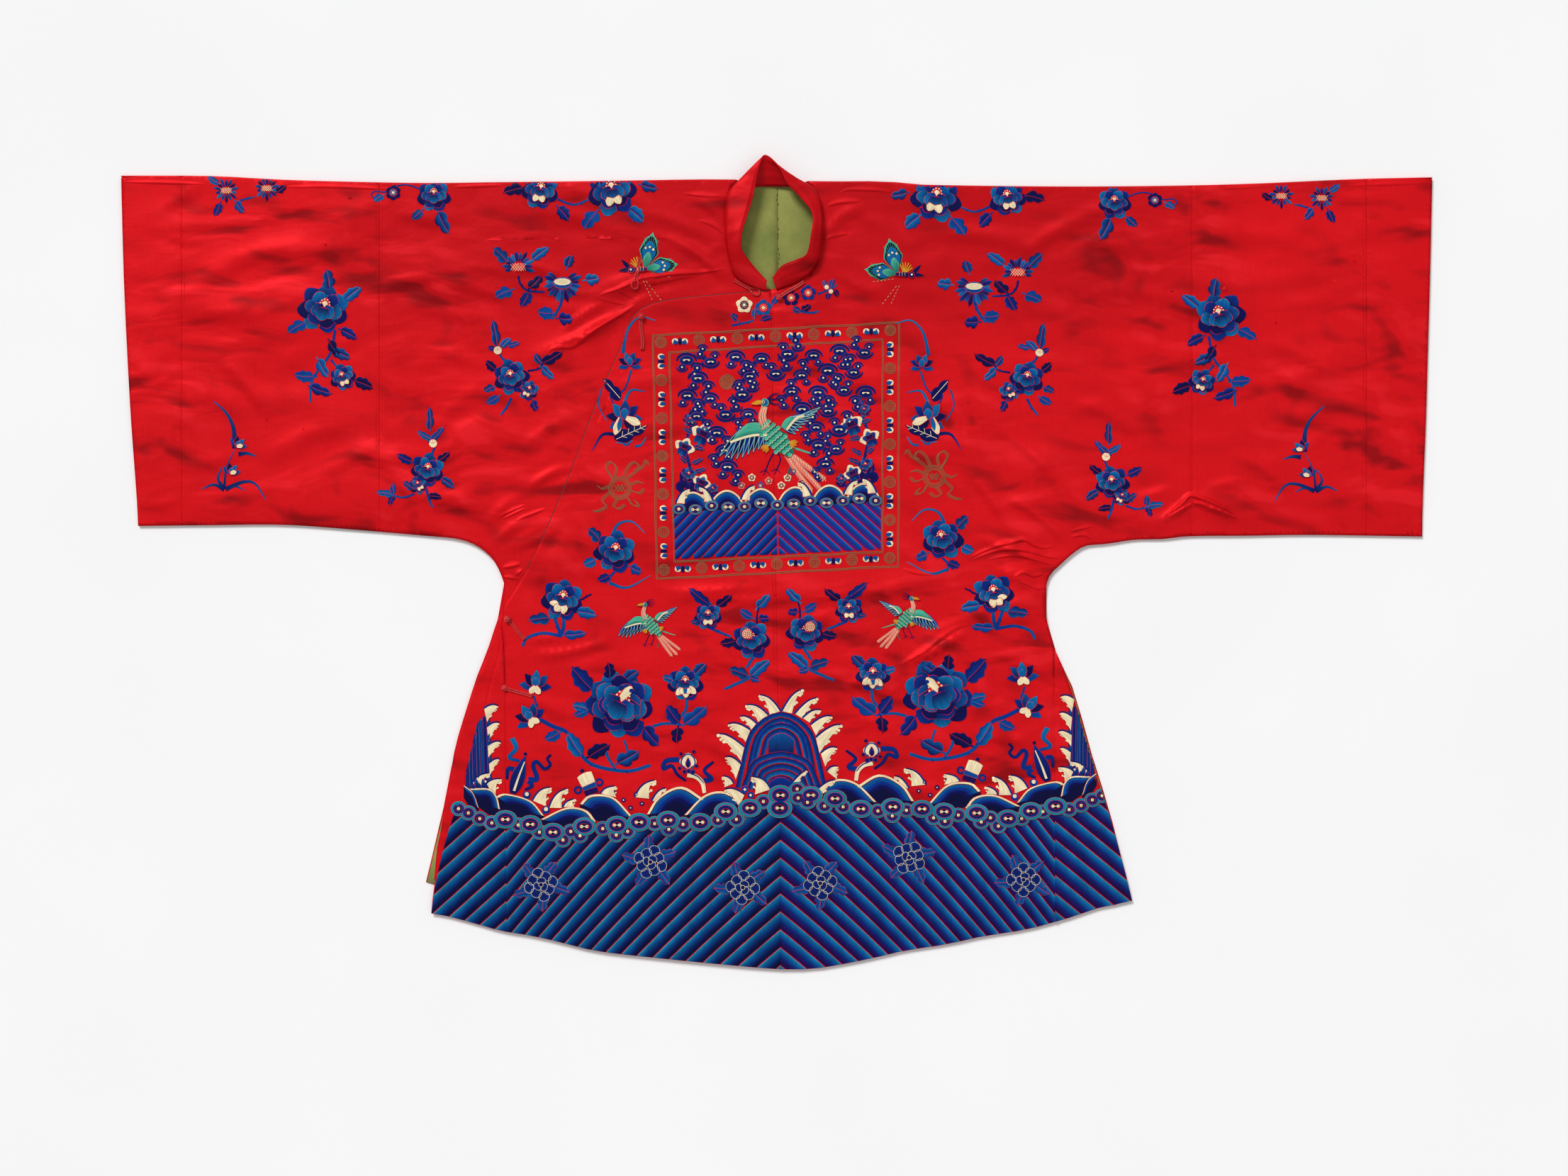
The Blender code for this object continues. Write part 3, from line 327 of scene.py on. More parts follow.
class Shade:
    """A socket of a material's nodes that can be reckoned with."""

    def __init__(self, tree, socket):
        self.tree, self.socket = tree, socket

    def _math(self, operation, *values):
        node = self.tree.nodes.new("ShaderNodeMath")
        node.operation = operation
        for value, target in zip(values, node.inputs):
            feed(self.tree, target, value)
        return Shade(self.tree, node.outputs[0])

    def __add__(self, other):
        return self._math("ADD", self, other)

    def __sub__(self, other):
        return self._math("SUBTRACT", self, other)

    def __rsub__(self, other):
        return self._math("SUBTRACT", other, self)

    def __mul__(self, other):
        return self._math("MULTIPLY", self, other)

    __radd__, __rmul__ = __add__, __mul__

    def clipped(self, low, high):
        raised = self._math("MAXIMUM", self, low)
        return self._math("MINIMUM", raised, high)

    def sine(self):
        return self._math("SINE", self)

    def part(self):
        return self._math("FRACT", self)


def feed(tree, target, value):
    """Gives a socket its value, or the link of another socket."""
    if isinstance(value, Shade):
        tree.links.new(value.socket, target)
    else:
        target.default_value = value


class Finish:
    """A material for one of the robe's pieces."""

    def __init__(self, name, **constants):
        self.material = bpy.data.materials.new(name)
        self.material.use_nodes = True
        self.tree = self.material.node_tree
        self.shader = self.tree.nodes["Principled BSDF"]
        for socket, value in constants.items():
            self.shader.inputs[socket.replace("_", " ")].default_value = value

    def node(self, kind, settings=(), output=0, **sockets):
        made = self.tree.nodes.new(kind)
        for key, value in dict(settings).items():
            if key == "stops":
                ramp = made.color_ramp
                while len(ramp.elements) < len(value):
                    ramp.elements.new(0.5)
                for element, (at, colour) in zip(ramp.elements, value):
                    element.position, element.color = at, (*colour, 1.0)
            else:
                setattr(made, key, value)
        for key, value in sockets.items():
            numbered = key[0] == "i" and key[1:].isdigit()
            feed(self.tree, made.inputs[int(key[1:]) if numbered else key.replace("_", " ")], value)
        return Shade(self.tree, made.outputs[output])

    def place(self, kind="Object"):
        return self.node("ShaderNodeTexCoord", output={"Object": 3, "UV": 2}[kind])

    def stretched(self, where, scale, moved=(0.0, 0.0, 0.0), turned=0.0):
        return self.node("ShaderNodeMapping", i0=where, i1=moved, i2=(0.0, 0.0, math.radians(turned)),
                         i3=scale)

    def noise(self, where, scale, detail=2.0, roughness=0.5, swirl=0.0):
        return self.node("ShaderNodeTexNoise", Vector=where, Scale=scale, Detail=detail,
                         Roughness=roughness, Distortion=swirl)

    def threads(self, where, scale, detail=2.0, roughness=0.5, swirl=0.0):
        """Noise that is stretched along the threads, with a scale for each way."""
        return self.noise(self.stretched(where, scale), 1.0, detail, roughness, swirl)

    def mixed(self, share, first, second, blend="MIX"):
        """Two colours in one, each a dye or a socket."""
        first, second = ((*dye, 1.0) if isinstance(dye, tuple) else dye for dye in (first, second))
        return self.node("ShaderNodeMix", {"data_type": "RGBA", "blend_type": blend}, output=2,
                         i0=share, i6=first, i7=second)

    def set(self, socket, value):
        self.tree.links.new(value.socket, self.shader.inputs[socket])

    def bump(self, height, distance, strength=1.0):
        self.set("Normal", self.node("ShaderNodeBump", Height=height, Distance=distance,
                                     Strength=strength))


def dyed(red, green, blue):
    """A dye's colour as light, from how it looks on a screen, 0 to 255."""
    return tuple(((c / 255 + 0.055) / 1.055) ** 2.4 if c > 10 else c / 255 / 12.92
                 for c in (red, green, blue))


SATIN_RED = dyed(216, 6, 20)
SATIN_DEEP = dyed(186, 2, 14)
# The next two are painted: shade for the side of a fold turned from the light, and sheen for the side turned
# to it.
SATIN_PAINTED_SHADE = dyed(104, 2, 8)
SATIN_SHEEN = dyed(240, 34, 46)


def satin_finish():
    """Warp-faced satin: fine lines down the cloth, slack folds pressed in, painted shade and painted sheen on
    the two sides of those folds, painted shade over the shoulders, and a broad, soft sheen.
    """
    satin = Finish("red_satin_cloth", Metallic=0.3, Specular_IOR_Level=0.12)
    where = satin.place()
    warp = satin.threads(where, (1500.0, 40.0, 40.0))
    slub = satin.threads(where, (26.0, 320.0, 26.0), 3.0)
    cloudy = satin.noise(where, 9.0, 4.0, 0.6)
    worn = satin.noise(where, 38.0, 5.0, 0.65)
    share = (cloudy * 0.9 + slub * 0.25 + worn * 0.25 - 0.30).clipped(0.0, 1.0)
    colour = satin.mixed(share, SATIN_RED, SATIN_DEEP)
    colour = satin.mixed((warp - 0.5) * 0.14 + 0.05, colour, dyed(250, 52, 50))
    slack, above = (satin.noise(satin.stretched(where, (9.0, 20.0, 9.0), moved, 13.0), 1.0, 2.5, 0.5, 0.45)
                    for moved in ((0.0, 0.0, 0.0), (0.08, 0.22, 0.0)))
    busy = (satin.noise(where, 4.5, 2.0) * 5.0 - 1.85).clipped(0.2, 1.0)
    # Painted shade and painted sheen of the folds: the fold noise is read twice, a little apart. The cloth is
    # darkened where it rises from one reading to the other and lightened where it falls, as light from the
    # upper left would shade and light it.
    fall = (((above - slack) * 5.5 - 0.14) * busy).clipped(0.0, 0.66)
    shine = (((slack - above) * 4.0 - 0.18) * busy).clipped(0.0, 0.35)
    aside, height = (satin.node("ShaderNodeSeparateXYZ", output=axis, Vector=where) for axis in (0, 1))
    # Painted shade over the shoulders: the satin is darkened towards the top of the robe, most near its
    # middle.
    shoulder = ((height - 0.24 + (cloudy - 0.5) * 0.2) * 6.0).clipped(0.0, 0.62)
    shoulder = shoulder * ((0.34 - aside * aside) * 6.0).clipped(0.0, 1.0)
    colour = satin.mixed(shoulder, colour, dyed(176, 2, 14))
    # The painted shade and the painted sheen of the folds are laid on the colour here.
    colour = satin.mixed(fall, colour, SATIN_PAINTED_SHADE)
    colour = satin.mixed(shine, colour, SATIN_SHEEN)
    satin.set("Base Color", colour)
    satin.set("Roughness", cloudy * 0.14 + warp * 0.08 + 0.40)
    small = satin.threads(where, (45.0, 80.0, 45.0), 3.0, 0.6, 1.0)
    satin.bump(slack * busy + small * 0.05 + warp * 0.008, 5.0 * MM, 0.9)
    return satin.material


red_satin = satin_finish()
BACK_EDGE = 40 * MM
cloths = {}
for cut in CUTS:
    skin = skins.pop(cut.node)
    fine_sheet(skin, BACK_EDGE)
    fine_sheet(skin, FRONT_EDGE, on_front)
    skin.normal_update()
    heights = under_heights if cut.under else upper_heights
    for vert in skin.verts:
        share = min(1.0, max(0.0, (vert.normal.z - PRESSED_FROM) / PRESSED_RUN))
        if share and vert.co.z > FRONT_OVER:
            vert.co.z += (height_at(heights, vert.co.x, vert.co.y) - vert.co.z) * share
    cloths[cut.node] = BVHTree.FromBMesh(skin)
    panel = as_piece(cut.node + "_satin", skin, red_satin, cut.node)
    thickened(panel, SATIN_THICK)

# The back's lining: green cotton in two halves, seen through the neck and as a narrow line beside the slits.
# Its centre seam is sewn by hand in dark thread.
LINING_THICK = 1.0 * MM


def lining_finish():
    cotton = Finish("green_cotton_cloth", Specular_IOR_Level=0.2, Sheen_Weight=0.15)
    where = cotton.place()
    weft = cotton.threads(where, (120.0, 1400.0, 50.0))
    warp = cotton.threads(where, (1400.0, 120.0, 50.0))
    faded = cotton.noise(where, 22.0, 4.0, 0.6)
    colour = cotton.mixed((faded * 1.6 - 0.35).clipped(0.0, 1.0), dyed(112, 124, 58),
                          dyed(158, 156, 84))
    colour = cotton.mixed((weft + warp - 0.9).clipped(0.0, 1.0) * 0.5, colour, dyed(86, 100, 44))
    cotton.set("Base Color", colour)
    cotton.set("Roughness", weft * 0.12 + 0.76)
    soft = cotton.noise(where, 34.0, 3.0)
    cotton.bump(weft * 0.12 + warp * 0.12 + soft, 1.2 * MM, 0.6)
    return cotton.material


green_cotton = lining_finish()
for side in ("left", "right"):
    skin = outer_face("lining_" + side)
    fine_sheet(skin, BACK_EDGE)
    cloths["lining_" + side] = BVHTree.FromBMesh(skin)
    half = as_piece("lining_" + side + "_cotton", skin, green_cotton, "lining_" + side)
    thickened(half, LINING_THICK)
    "body_" + side + "_satin"

# The standing collar: a bias band of doubled satin on the neckline. It has gone soft, and leans in over the
# neck with its ends apart. Each row is one section of the band: foot, crest and free edge, in metres.
COLLAR_BAND = [
    ((-0.0125, 0.3350, 0.0078), (-0.0130, 0.3395, 0.0110), (-0.0125, 0.3450, 0.0125)),
    ((-0.0300, 0.3400, 0.0078), (-0.0275, 0.3470, 0.0130), (-0.0240, 0.3570, 0.0155)),
    ((-0.0480, 0.3500, 0.0078), (-0.0455, 0.3560, 0.0150), (-0.0350, 0.3700, 0.0190)),
    ((-0.0570, 0.3680, 0.0080), (-0.0565, 0.3710, 0.0170), (-0.0440, 0.3840, 0.0225)),
    ((-0.0610, 0.4000, 0.0082), (-0.0630, 0.4005, 0.0180), (-0.0430, 0.4040, 0.0240)),
    ((-0.0615, 0.4250, 0.0084), (-0.0635, 0.4260, 0.0180), (-0.0365, 0.4250, 0.0230)),
    ((-0.0580, 0.4480, 0.0086), (-0.0605, 0.4530, 0.0165), (-0.0310, 0.4430, 0.0215)),
    ((-0.0440, 0.4590, 0.0080), (-0.0480, 0.4700, 0.0160), (-0.0265, 0.4640, 0.0210)),
    ((-0.0270, 0.4625, 0.0062), (-0.0300, 0.4850, 0.0160), (-0.0220, 0.4850, 0.0210)),
    ((-0.0120, 0.4635, 0.0050), (-0.0140, 0.4850, 0.0130), (-0.0140, 0.4980, 0.0180)),
    ((0.0050, 0.4630, 0.0062), (0.0070, 0.4820, 0.0160), (0.0030, 0.4830, 0.0210)),
    ((0.0230, 0.4610, 0.0080), (0.0270, 0.4720, 0.0160), (0.0130, 0.4640, 0.0215)),
    ((0.0440, 0.4530, 0.0086), (0.0475, 0.4580, 0.0165), (0.0290, 0.4470, 0.0220)),
    ((0.0530, 0.4330, 0.0084), (0.0545, 0.4340, 0.0180), (0.0440, 0.4260, 0.0245)),
    ((0.0540, 0.4000, 0.0082), (0.0552, 0.4000, 0.0180), (0.0420, 0.3980, 0.0260)),
    ((0.0495, 0.3740, 0.0080), (0.0500, 0.3730, 0.0170), (0.0370, 0.3770, 0.0225)),
    ((0.0400, 0.3560, 0.0078), (0.0375, 0.3575, 0.0150), (0.0240, 0.3700, 0.0185)),
    ((0.0190, 0.3435, 0.0078), (0.0160, 0.3510, 0.0140), (0.0070, 0.3630, 0.0165)),
    ((-0.0010, 0.3365, 0.0078), (-0.0030, 0.3420, 0.0115), (-0.0050, 0.3485, 0.0130)),
]
COLLAR_THICK = 1.8 * MM
COLLAR_SECTIONS = 190
COLLAR_LINES = 16
COLLAR_MIDDLE = (0.0, 0.41, 0.014)
PIPING = 1.0 * MM


def spline(points, count):
    """A smooth line of that many points, evenly spaced along it."""
    known = [np.array(p, float) for p in points]
    ends = [2 * known[0] - known[1], *known, 2 * known[-1] - known[-2]]
    fine = []
    for a, b, c, d in zip(ends, ends[1:], ends[2:], ends[3:]):
        for t in np.linspace(0, 1, 12, endpoint=False):
            fine.append(0.5 * (2 * b + (c - a) * t + (2 * a - 5 * b + 4 * c - d) * t * t
                               + (3 * b - a - 3 * c + d) * t ** 3))
    fine = np.array([*fine, known[-1]])
    along = np.concatenate([[0], np.cumsum(np.linalg.norm(np.diff(fine, axis=0), axis=1))])
    at = np.linspace(0, along[-1], count)
    return np.stack([np.interp(at, along, fine[:, k]) for k in range(fine.shape[1])], axis=1)


def collar_surface():
    """The middle of the band, section by section, with the folds that run round it."""
    fine = 3000
    feet, crests, edges = (spline(line, fine) for line in zip(*COLLAR_BAND))
    rows = []
    for share in np.linspace(0, 1, COLLAR_SECTIONS):
        foot, crest, edge = (line[round(share * (fine - 1))] for line in (feet, crests, edges))
        t = np.linspace(0, 1, COLLAR_LINES)[:, None]
        knee = 1.5 * crest - 0.25 * (foot + edge)
        row = (1 - t) ** 2 * foot + 2 * t * (1 - t) * knee + t * t * edge
        ends = math.sin(math.pi * share) ** 0.5
        fold = 0.55 * np.sin(9.5 * t + 3 * math.sin(7 * share)) + 0.35 * np.sin(19 * t - 5 * share)
        pucker = 0.30 * math.sin(95 * share + 2 * math.sin(31 * share)) * np.sin(math.pi * t)
        row[:, 2:3] += MM * (fold * ends * np.sin(math.pi * t) + pucker)
        rows.append(row)
    return np.array(rows)


def strip(made, rows):
    """Four-sided faces between rows of points. A row that is None parts those before it from the rest."""
    placed = [row is not None and [made.verts.new(point) for point in row] for row in rows]
    for one, two in zip(placed, placed[1:]):
        if one and two:
            for k in range(len(one) - 1):
                made.faces.new((one[k], two[k], two[k + 1], one[k + 1]))
    return made


def tube(made, path, radius, sides=8, closed=False):
    """A round cord along a path of points, added to a mesh."""
    path = np.array(path, float)
    ahead = np.gradient(path, axis=0)
    if closed:
        ahead = (np.roll(path, -1, 0) - np.roll(path, 1, 0)) / 2
    ahead /= np.linalg.norm(ahead, axis=1, keepdims=True)
    aside = np.cross(ahead, (0, 0, 1))
    weak = np.linalg.norm(aside, axis=1) < 0.05
    aside[weak] = np.cross(ahead[weak], (1, 0, 0))
    aside /= np.linalg.norm(aside, axis=1, keepdims=True)
    turns = [2 * math.pi * k / sides for k in range(sides)]
    rings = [[made.verts.new(place + radius * (side * math.cos(a) + top * math.sin(a))) for a in turns]
             for place, side, top in zip(path, aside, np.cross(aside, ahead))]
    pairs = list(zip(rings, rings[1:]))
    if closed:
        pairs.append((rings[-1], rings[0]))
    for a, b in pairs:
        for k in range(sides):
            n = (k + 1) % sides
            made.faces.new((a[k], a[n], b[n], b[k]))
    if not closed:
        made.faces.new(rings[0][::-1])
        made.faces.new(rings[-1])


middle = collar_surface()
collar_mesh = strip(bmesh.new(), middle)
bmesh.ops.recalc_face_normals(collar_mesh, faces=collar_mesh.faces)
if sum(f.normal.dot(f.calc_center_median() - Vector(COLLAR_MIDDLE)) for f in collar_mesh.faces) < 0:
    bmesh.ops.reverse_faces(collar_mesh, faces=collar_mesh.faces)
collar = as_piece("collar_band", collar_mesh, red_satin, "collar")
thickened(collar, COLLAR_THICK, 0.0)

piping = bmesh.new()
tube(piping, middle[:, -1] + (0, 0, 0.2 * MM), PIPING)
tube(piping, middle[:, 0] + (0, 0, -0.6 * MM), PIPING)
as_piece("collar_piping", piping, red_satin)

# Knotted buttons and cord loops: a strip of satin rolled and sewn to a round cord. The button's knot is
# plaited into a tight ball, and the two legs of cord lie side by side, sewn down to the cloth.
KNOT_R = 4.6 * MM
CORD_R = 1.15 * MM
ASIDE = CORD_R + 0.05 * MM     # from the line between two legs of cord to the middle of each
LOOP_CORD_R = CORD_R * 0.95
LOOP_EYE_R = 4.0 * MM
LEG_POINTS = 22
KNOT_POINTS = 150
Button = namedtuple("Button", "name knot tail bow")
BUTTONS = [
    Button("button_collar", (0.0029, 0.3262), (0.0335, 0.3455), 0.5),
    Button("button_chest", (-0.1660, 0.3026), (-0.1652, 0.2617), -0.9),
    Button("button_side_upper", (-0.3300, -0.0683), (-0.3092, -0.0935), 0.3),
    Button("button_side_lower", (-0.3336, -0.1527), (-0.2995, -0.1633), -0.3),
]
Loop = namedtuple("Loop", "name tail eye")
LOOPS = [
    Loop("loop_collar", (-0.0520, 0.3470), (-0.0215, 0.3305)),
    Loop("loop_chest", (-0.1678, 0.3750), (-0.1748, 0.3363)),
]


def cord_finish():
    cord = Finish("red_cord_cloth", Specular_IOR_Level=0.4, Sheen_Weight=0.1)
    where = cord.place()
    fine = cord.threads(where, (900.0, 900.0, 900.0))
    worn = cord.noise(where, 160.0, 3.0)
    colour = cord.mixed((worn * 1.5 - 0.25).clipped(0.0, 1.0), dyed(212, 20, 26),
                        dyed(150, 6, 14))
    cord.set("Base Color", colour)
    cord.set("Roughness", fine * 0.2 + 0.36)
    cord.bump(fine * 0.3 + worn, 0.5 * MM, 0.5)
    return cord.material


red_cord = cord_finish()


def cloth_height(x, y, over_water=True):
    """The top of the robe's cloth at x, y: the highest of its panels there, with or without its water."""
    hits = [met_from_above(tree, x, y)[0] for node, tree in cloths.items()
            if over_water or not node.endswith("_water")]
    return max((hit.z for hit in hits if hit), default=0.0)


def on_cloth(points, over):
    """Points along a cord, lifted over the highest cloth under it."""
    tops = np.array([max(cloth_height(x + dx, y) for dx in (-1.2 * MM, 0.0, 1.2 * MM)) for x, y in points])
    soft = np.convolve(np.pad(tops, 2, mode="edge"), np.full(5, 0.2), mode="valid")
    return np.column_stack([points, np.maximum(tops, soft) + over])


for button in BUTTONS:
    knot = np.array(button.knot)
    length, ahead, aside = bearing(knot, np.array(button.tail))
    made = bmesh.new()
    at = np.linspace(KNOT_R * 0.4, length, LEG_POINTS)
    bow = button.bow * MM * np.sin(np.linspace(0, 2 * math.pi, LEG_POINTS))
    for side in (-1.0, 1.0):
        leg = knot + np.outer(at, ahead) + np.outer(bow + side * ASIDE, aside)
        tube(made, on_cloth(leg, CORD_R * 0.9), CORD_R)
    turns = np.linspace(0, 2 * math.pi, KNOT_POINTS, endpoint=False)
    out = 2.0 + np.cos(4 * turns)
    ball = np.column_stack([out * np.cos(3 * turns), out * np.sin(3 * turns), 1.25 * np.sin(4 * turns)])
    ball *= (KNOT_R - CORD_R) / 3.0
    rise = cloth_height(*knot) + KNOT_R * 0.72
    turned = np.column_stack([ball[:, :2] @ np.array([ahead, aside]), ball[:, 2]])
    tube(made, turned + (*knot, rise), CORD_R * 0.86, 6, closed=True)
    bmesh.ops.create_icosphere(made, subdivisions=2, radius=KNOT_R * 0.66)
    core = [v for v in made.verts if v.co.length < KNOT_R]
    bmesh.ops.translate(made, verts=core, vec=(*knot, rise))
    bmesh.ops.recalc_face_normals(made, faces=made.faces)
    as_piece(button.name + "_knot", made, red_cord, button.name)

for loop in LOOPS:
    tail = np.array(loop.tail)
    length, ahead, aside = bearing(tail, np.array(loop.eye))
    legs = [(at, ASIDE) for at in np.linspace(0, length - 3.2 * LOOP_EYE_R, 12)]
    bend = [(length - LOOP_EYE_R * (1.35 - 1.35 * math.cos(t)), LOOP_EYE_R * math.sin(t) * 1.05)
            for t in np.radians(np.linspace(132, -132, 21))]
    flat = np.array([*legs, *bend, *[(at, -off) for at, off in reversed(legs)]])
    path = spline(tail + np.outer(flat[:, 0], ahead) + np.outer(flat[:, 1], aside), 90)
    made = bmesh.new()
    tube(made, on_cloth(path, LOOP_CORD_R), LOOP_CORD_R)
    bmesh.ops.recalc_face_normals(made, faces=made.faces)
    as_piece(loop.name + "_cord", made, red_cord, loop.name)

# The lining's two halves are joined by hand down the centre back, with uneven running stitches in dark
# red-brown thread. They show through the neck.
SEAM_STITCHES, SEAM_ACROSS, SEAM_TOP, SEAM_PITCH = 17, 1096.2, 266.5, 6.9
STITCH_R = 0.38 * MM
seam_thread = Finish("dark_thread", Roughness=0.7, Specular_IOR_Level=0.2)
twist = seam_thread.noise(seam_thread.place(), 900.0, 2.0)
seam_thread.set("Base Color", seam_thread.mixed(twist, dyed(120, 44, 30), dyed(58, 18, 16)))
hand = random.Random(29)
made = bmesh.new()
for k in range(SEAM_STITCHES):
    start = spot(SEAM_ACROSS + hand.uniform(-0.7, 0.9) + 0.15 * k, SEAM_TOP + SEAM_PITCH * k
                 + hand.uniform(-0.8, 0.8))
    end = (start[0] + hand.uniform(-0.5, 0.7) * MM, start[1] - hand.uniform(2.6, 4.6) * MM)
    line = spline([start, ((start[0] + end[0]) / 2, (start[1] + end[1]) / 2), end], 7)
    bulge = np.sin(np.linspace(0, math.pi, 7)) * 0.4 * MM - 0.2 * MM
    tube(made, [(x, y, cloth_height(x, y) + up) for (x, y), up in zip(line, bulge)], STITCH_R, 6)
as_piece("lining_stitches", made, seam_thread.material)

# The embroidery: silk floss in satin stitch, mostly blues, on the satin. Each petal and leaf is a slightly
# raised patch with a thin red line of bare satin round it. Places are in pixels of the picture, sizes in mm.
TO_PIXELS = MM / PIXEL
LIFT = 0.30 * MM               # the lowest silk lies this far over the cloth
LAYER = 0.24 * MM              # each petal over another adds this
DOME = 0.20 * MM
VOID = 0.68 * MM
NAVY = dyed(6, 10, 80)
DEEP = dyed(4, 6, 54)
BLUE = dyed(0, 44, 128)
TEAL = dyed(0, 76, 142)
SKY = dyed(0, 106, 160)
PURPLE = dyed(36, 4, 74)
CREAM = dyed(236, 218, 176)
SAND = dyed(206, 184, 136)
MINT = dyed(70, 172, 140)
JADE = dyed(20, 110, 96)
SALMON = dyed(226, 122, 104)
AMBER = dyed(206, 150, 34)
INK = dyed(22, 16, 26)
RED = dyed(214, 14, 26)
GROUND = dyed(190, 10, 20)
CENTRE_ACROSS, CENTRE_LEAN, CENTRE_FROM = 1092.0, 0.0102, 270
LEFT_LOWER, LEFT_RISE, LEFT_FROM = 5, 0.033, 440


def facing(place):
    """The place on the other half of the robe, in pixels. The two halves don't match exactly."""
    across, down = place[..., 0], place[..., 1]
    centre = CENTRE_ACROSS + (down - CENTRE_FROM) * CENTRE_LEAN
    return np.stack([2 * centre - across, down + LEFT_LOWER - (down - LEFT_FROM) * LEFT_RISE], axis=-1)


def unit(runs):
    return runs / np.maximum(np.linalg.norm(runs, axis=-1, keepdims=True), 1e-9)


# The round lobes of a leaf's edge: how far along, how long and how wide each is.
LOBES = {2: ((0.26, 0.25, 1.0), (0.62, 0.22, 0.78)),
         3: ((0.2, 0.19, 0.9), (0.48, 0.2, 1.0), (0.75, 0.16, 0.62))}
VEIN = 0.26                    # half the bare vein of a leaf, in mm


class Needlework:
    """Embroidery gathered into one piece. Its places are in pixels until it is laid on the cloth."""

    def __init__(self, seed):
        self.chance = random.Random(seed)
        self.flipped = False
        self.nudge = (0.0, 0.0)
        self.parts = []
        self.count = 0

    def lay(self, grid, dyes, over, ground=None, along=True):
        """Rows by columns of places, each with a colour and a height over the cloth."""
        grid = facing(grid) + self.nudge if self.flipped else grid
        flat = np.stack([(grid[..., 0] - MIDDLE_ACROSS) * PIXEL, (MIDDLE_DOWN - grid[..., 1]) * PIXEL], -1)
        rows, columns = flat.shape[:2]
        number = self.count + np.arange(rows * columns).reshape(rows, columns)
        quads = np.stack([number[:-1, :-1], number[1:, :-1], number[1:, 1:], number[:-1, 1:]], -1)
        one, two = flat[1:, :-1] - flat[:-1, :-1], flat[:-1, 1:] - flat[:-1, :-1]
        if np.sum(one[..., 0] * two[..., 1] - one[..., 1] * two[..., 0]) < 0:
            quads = quads[..., ::-1]
        dyes = np.broadcast_to(dyes, (rows, columns, 3)).reshape(-1, 3)
        corner = dyes[quads - self.count]
        if ground is not None:
            corner[ground] = GROUND
        wide = np.linalg.norm(flat[:, -1] - flat[:, 0], axis=-1).mean() + 1e-4
        long = np.linalg.norm(flat[-1] - flat[0], axis=-1).mean() + 1e-4
        v, u = np.meshgrid(np.linspace(0, long, rows), np.linspace(0, wide, columns), indexing="ij")
        run = np.stack([u, v] if along else [v, u], -1).reshape(-1, 2)
        run = run + (self.chance.random(), self.chance.random())
        self.parts.append((flat.reshape(-1, 2), np.broadcast_to(over, (rows, columns)).ravel(),
                           quads.reshape(-1, 4), corner.reshape(-1, 3), run[(quads - self.count).ravel()]))
        self.count += rows * columns

    def patch(self, grid, dyes, layer=0, dome=DOME, ring=VOID, along=True):
        """A raised patch, with a ring of bare satin round it."""
        grid = np.array(grid, float)
        rows, columns = grid.shape[:2]
        dyes = np.broadcast_to(dyes, (rows, columns, 3))
        low = LIFT + layer * LAYER
        v, u = np.meshgrid(np.linspace(-1, 1, rows), np.linspace(-1, 1, columns), indexing="ij")
        over = low + dome * (0.45 + 0.55 * (1 - u ** 4) * (1 - v ** 4))
        if not ring:
            self.lay(grid, dyes, over, along=along)
            return
        reach = ring / PIXEL
        wide = np.pad(grid, ((1, 1), (1, 1), (0, 0)), mode="edge")
        wide[0, 1:-1] += unit(grid[0] - grid[1]) * reach
        wide[-1, 1:-1] += unit(grid[-1] - grid[-2]) * reach
        wide[1:-1, 0] += unit(grid[:, 0] - grid[:, 1]) * reach
        wide[1:-1, -1] += unit(grid[:, -1] - grid[:, -2]) * reach
        for i, j in ((0, 0), (0, -1), (-1, 0), (-1, -1)):
            a = wide[i, 1 if j == 0 else -2] - grid[i, j]
            b = wide[1 if i == 0 else -2, j] - grid[i, j]
            wide[i, j] = grid[i, j] + 0.7 * (a + b)
        bare = np.ones((rows + 1, columns + 1), bool)
        bare[1:-1, 1:-1] = False
        self.lay(wide, np.pad(dyes, ((1, 1), (1, 1), (0, 0)), mode="edge"),
                 np.pad(over, 1, constant_values=low), bare, along)

    def petal(self, foot, tip, half, inner, outer, layer=0, base=0.5, lobes=0, point=False, rows=4,
              columns=4, ring=VOID, round_=0.34):
        """A petal from its foot to its tip, with half its width in mm, and pointed or with a round end."""
        foot, tip = np.array(foot, float), np.array(tip, float)
        length, ahead, aside = bearing(foot, tip)
        t, s = np.meshgrid(np.linspace(0, 1, rows + 1), np.linspace(-1, 1, columns + 1), indexing="ij")
        if point:
            wide = base * 0.4 * (1 - t) + np.sin(math.pi * np.clip(t, 0.02, 0.975) ** 0.85) ** 0.9
            reach = t * (1 - 0.10 * s * s * (1 - t))
        else:
            wide = base + (1 - base) * np.sin(math.pi * (0.62 * t))
            reach = t * (1 - round_ * s * s * t ** 1.5)
            if lobes:
                reach = reach + 0.05 * t * t * np.cos(lobes * math.pi * s)
        grid = foot + (length * reach)[..., None] * ahead + (half * TO_PIXELS * wide * s)[..., None] * aside
        share = (t ** 1.3)[..., None]
        self.patch(grid, np.array(inner) * (1 - share) + np.array(outer) * share, layer, ring=ring)

    def ray(self, centre, near, far, turn, half, inner, outer, layer=0, **cut):
        """A petal that points away from a centre: how near it begins and how far it goes, in mm."""
        self.petal(around(centre, near, turn), around(centre, far, turn), half, inner, outer, layer, **cut)

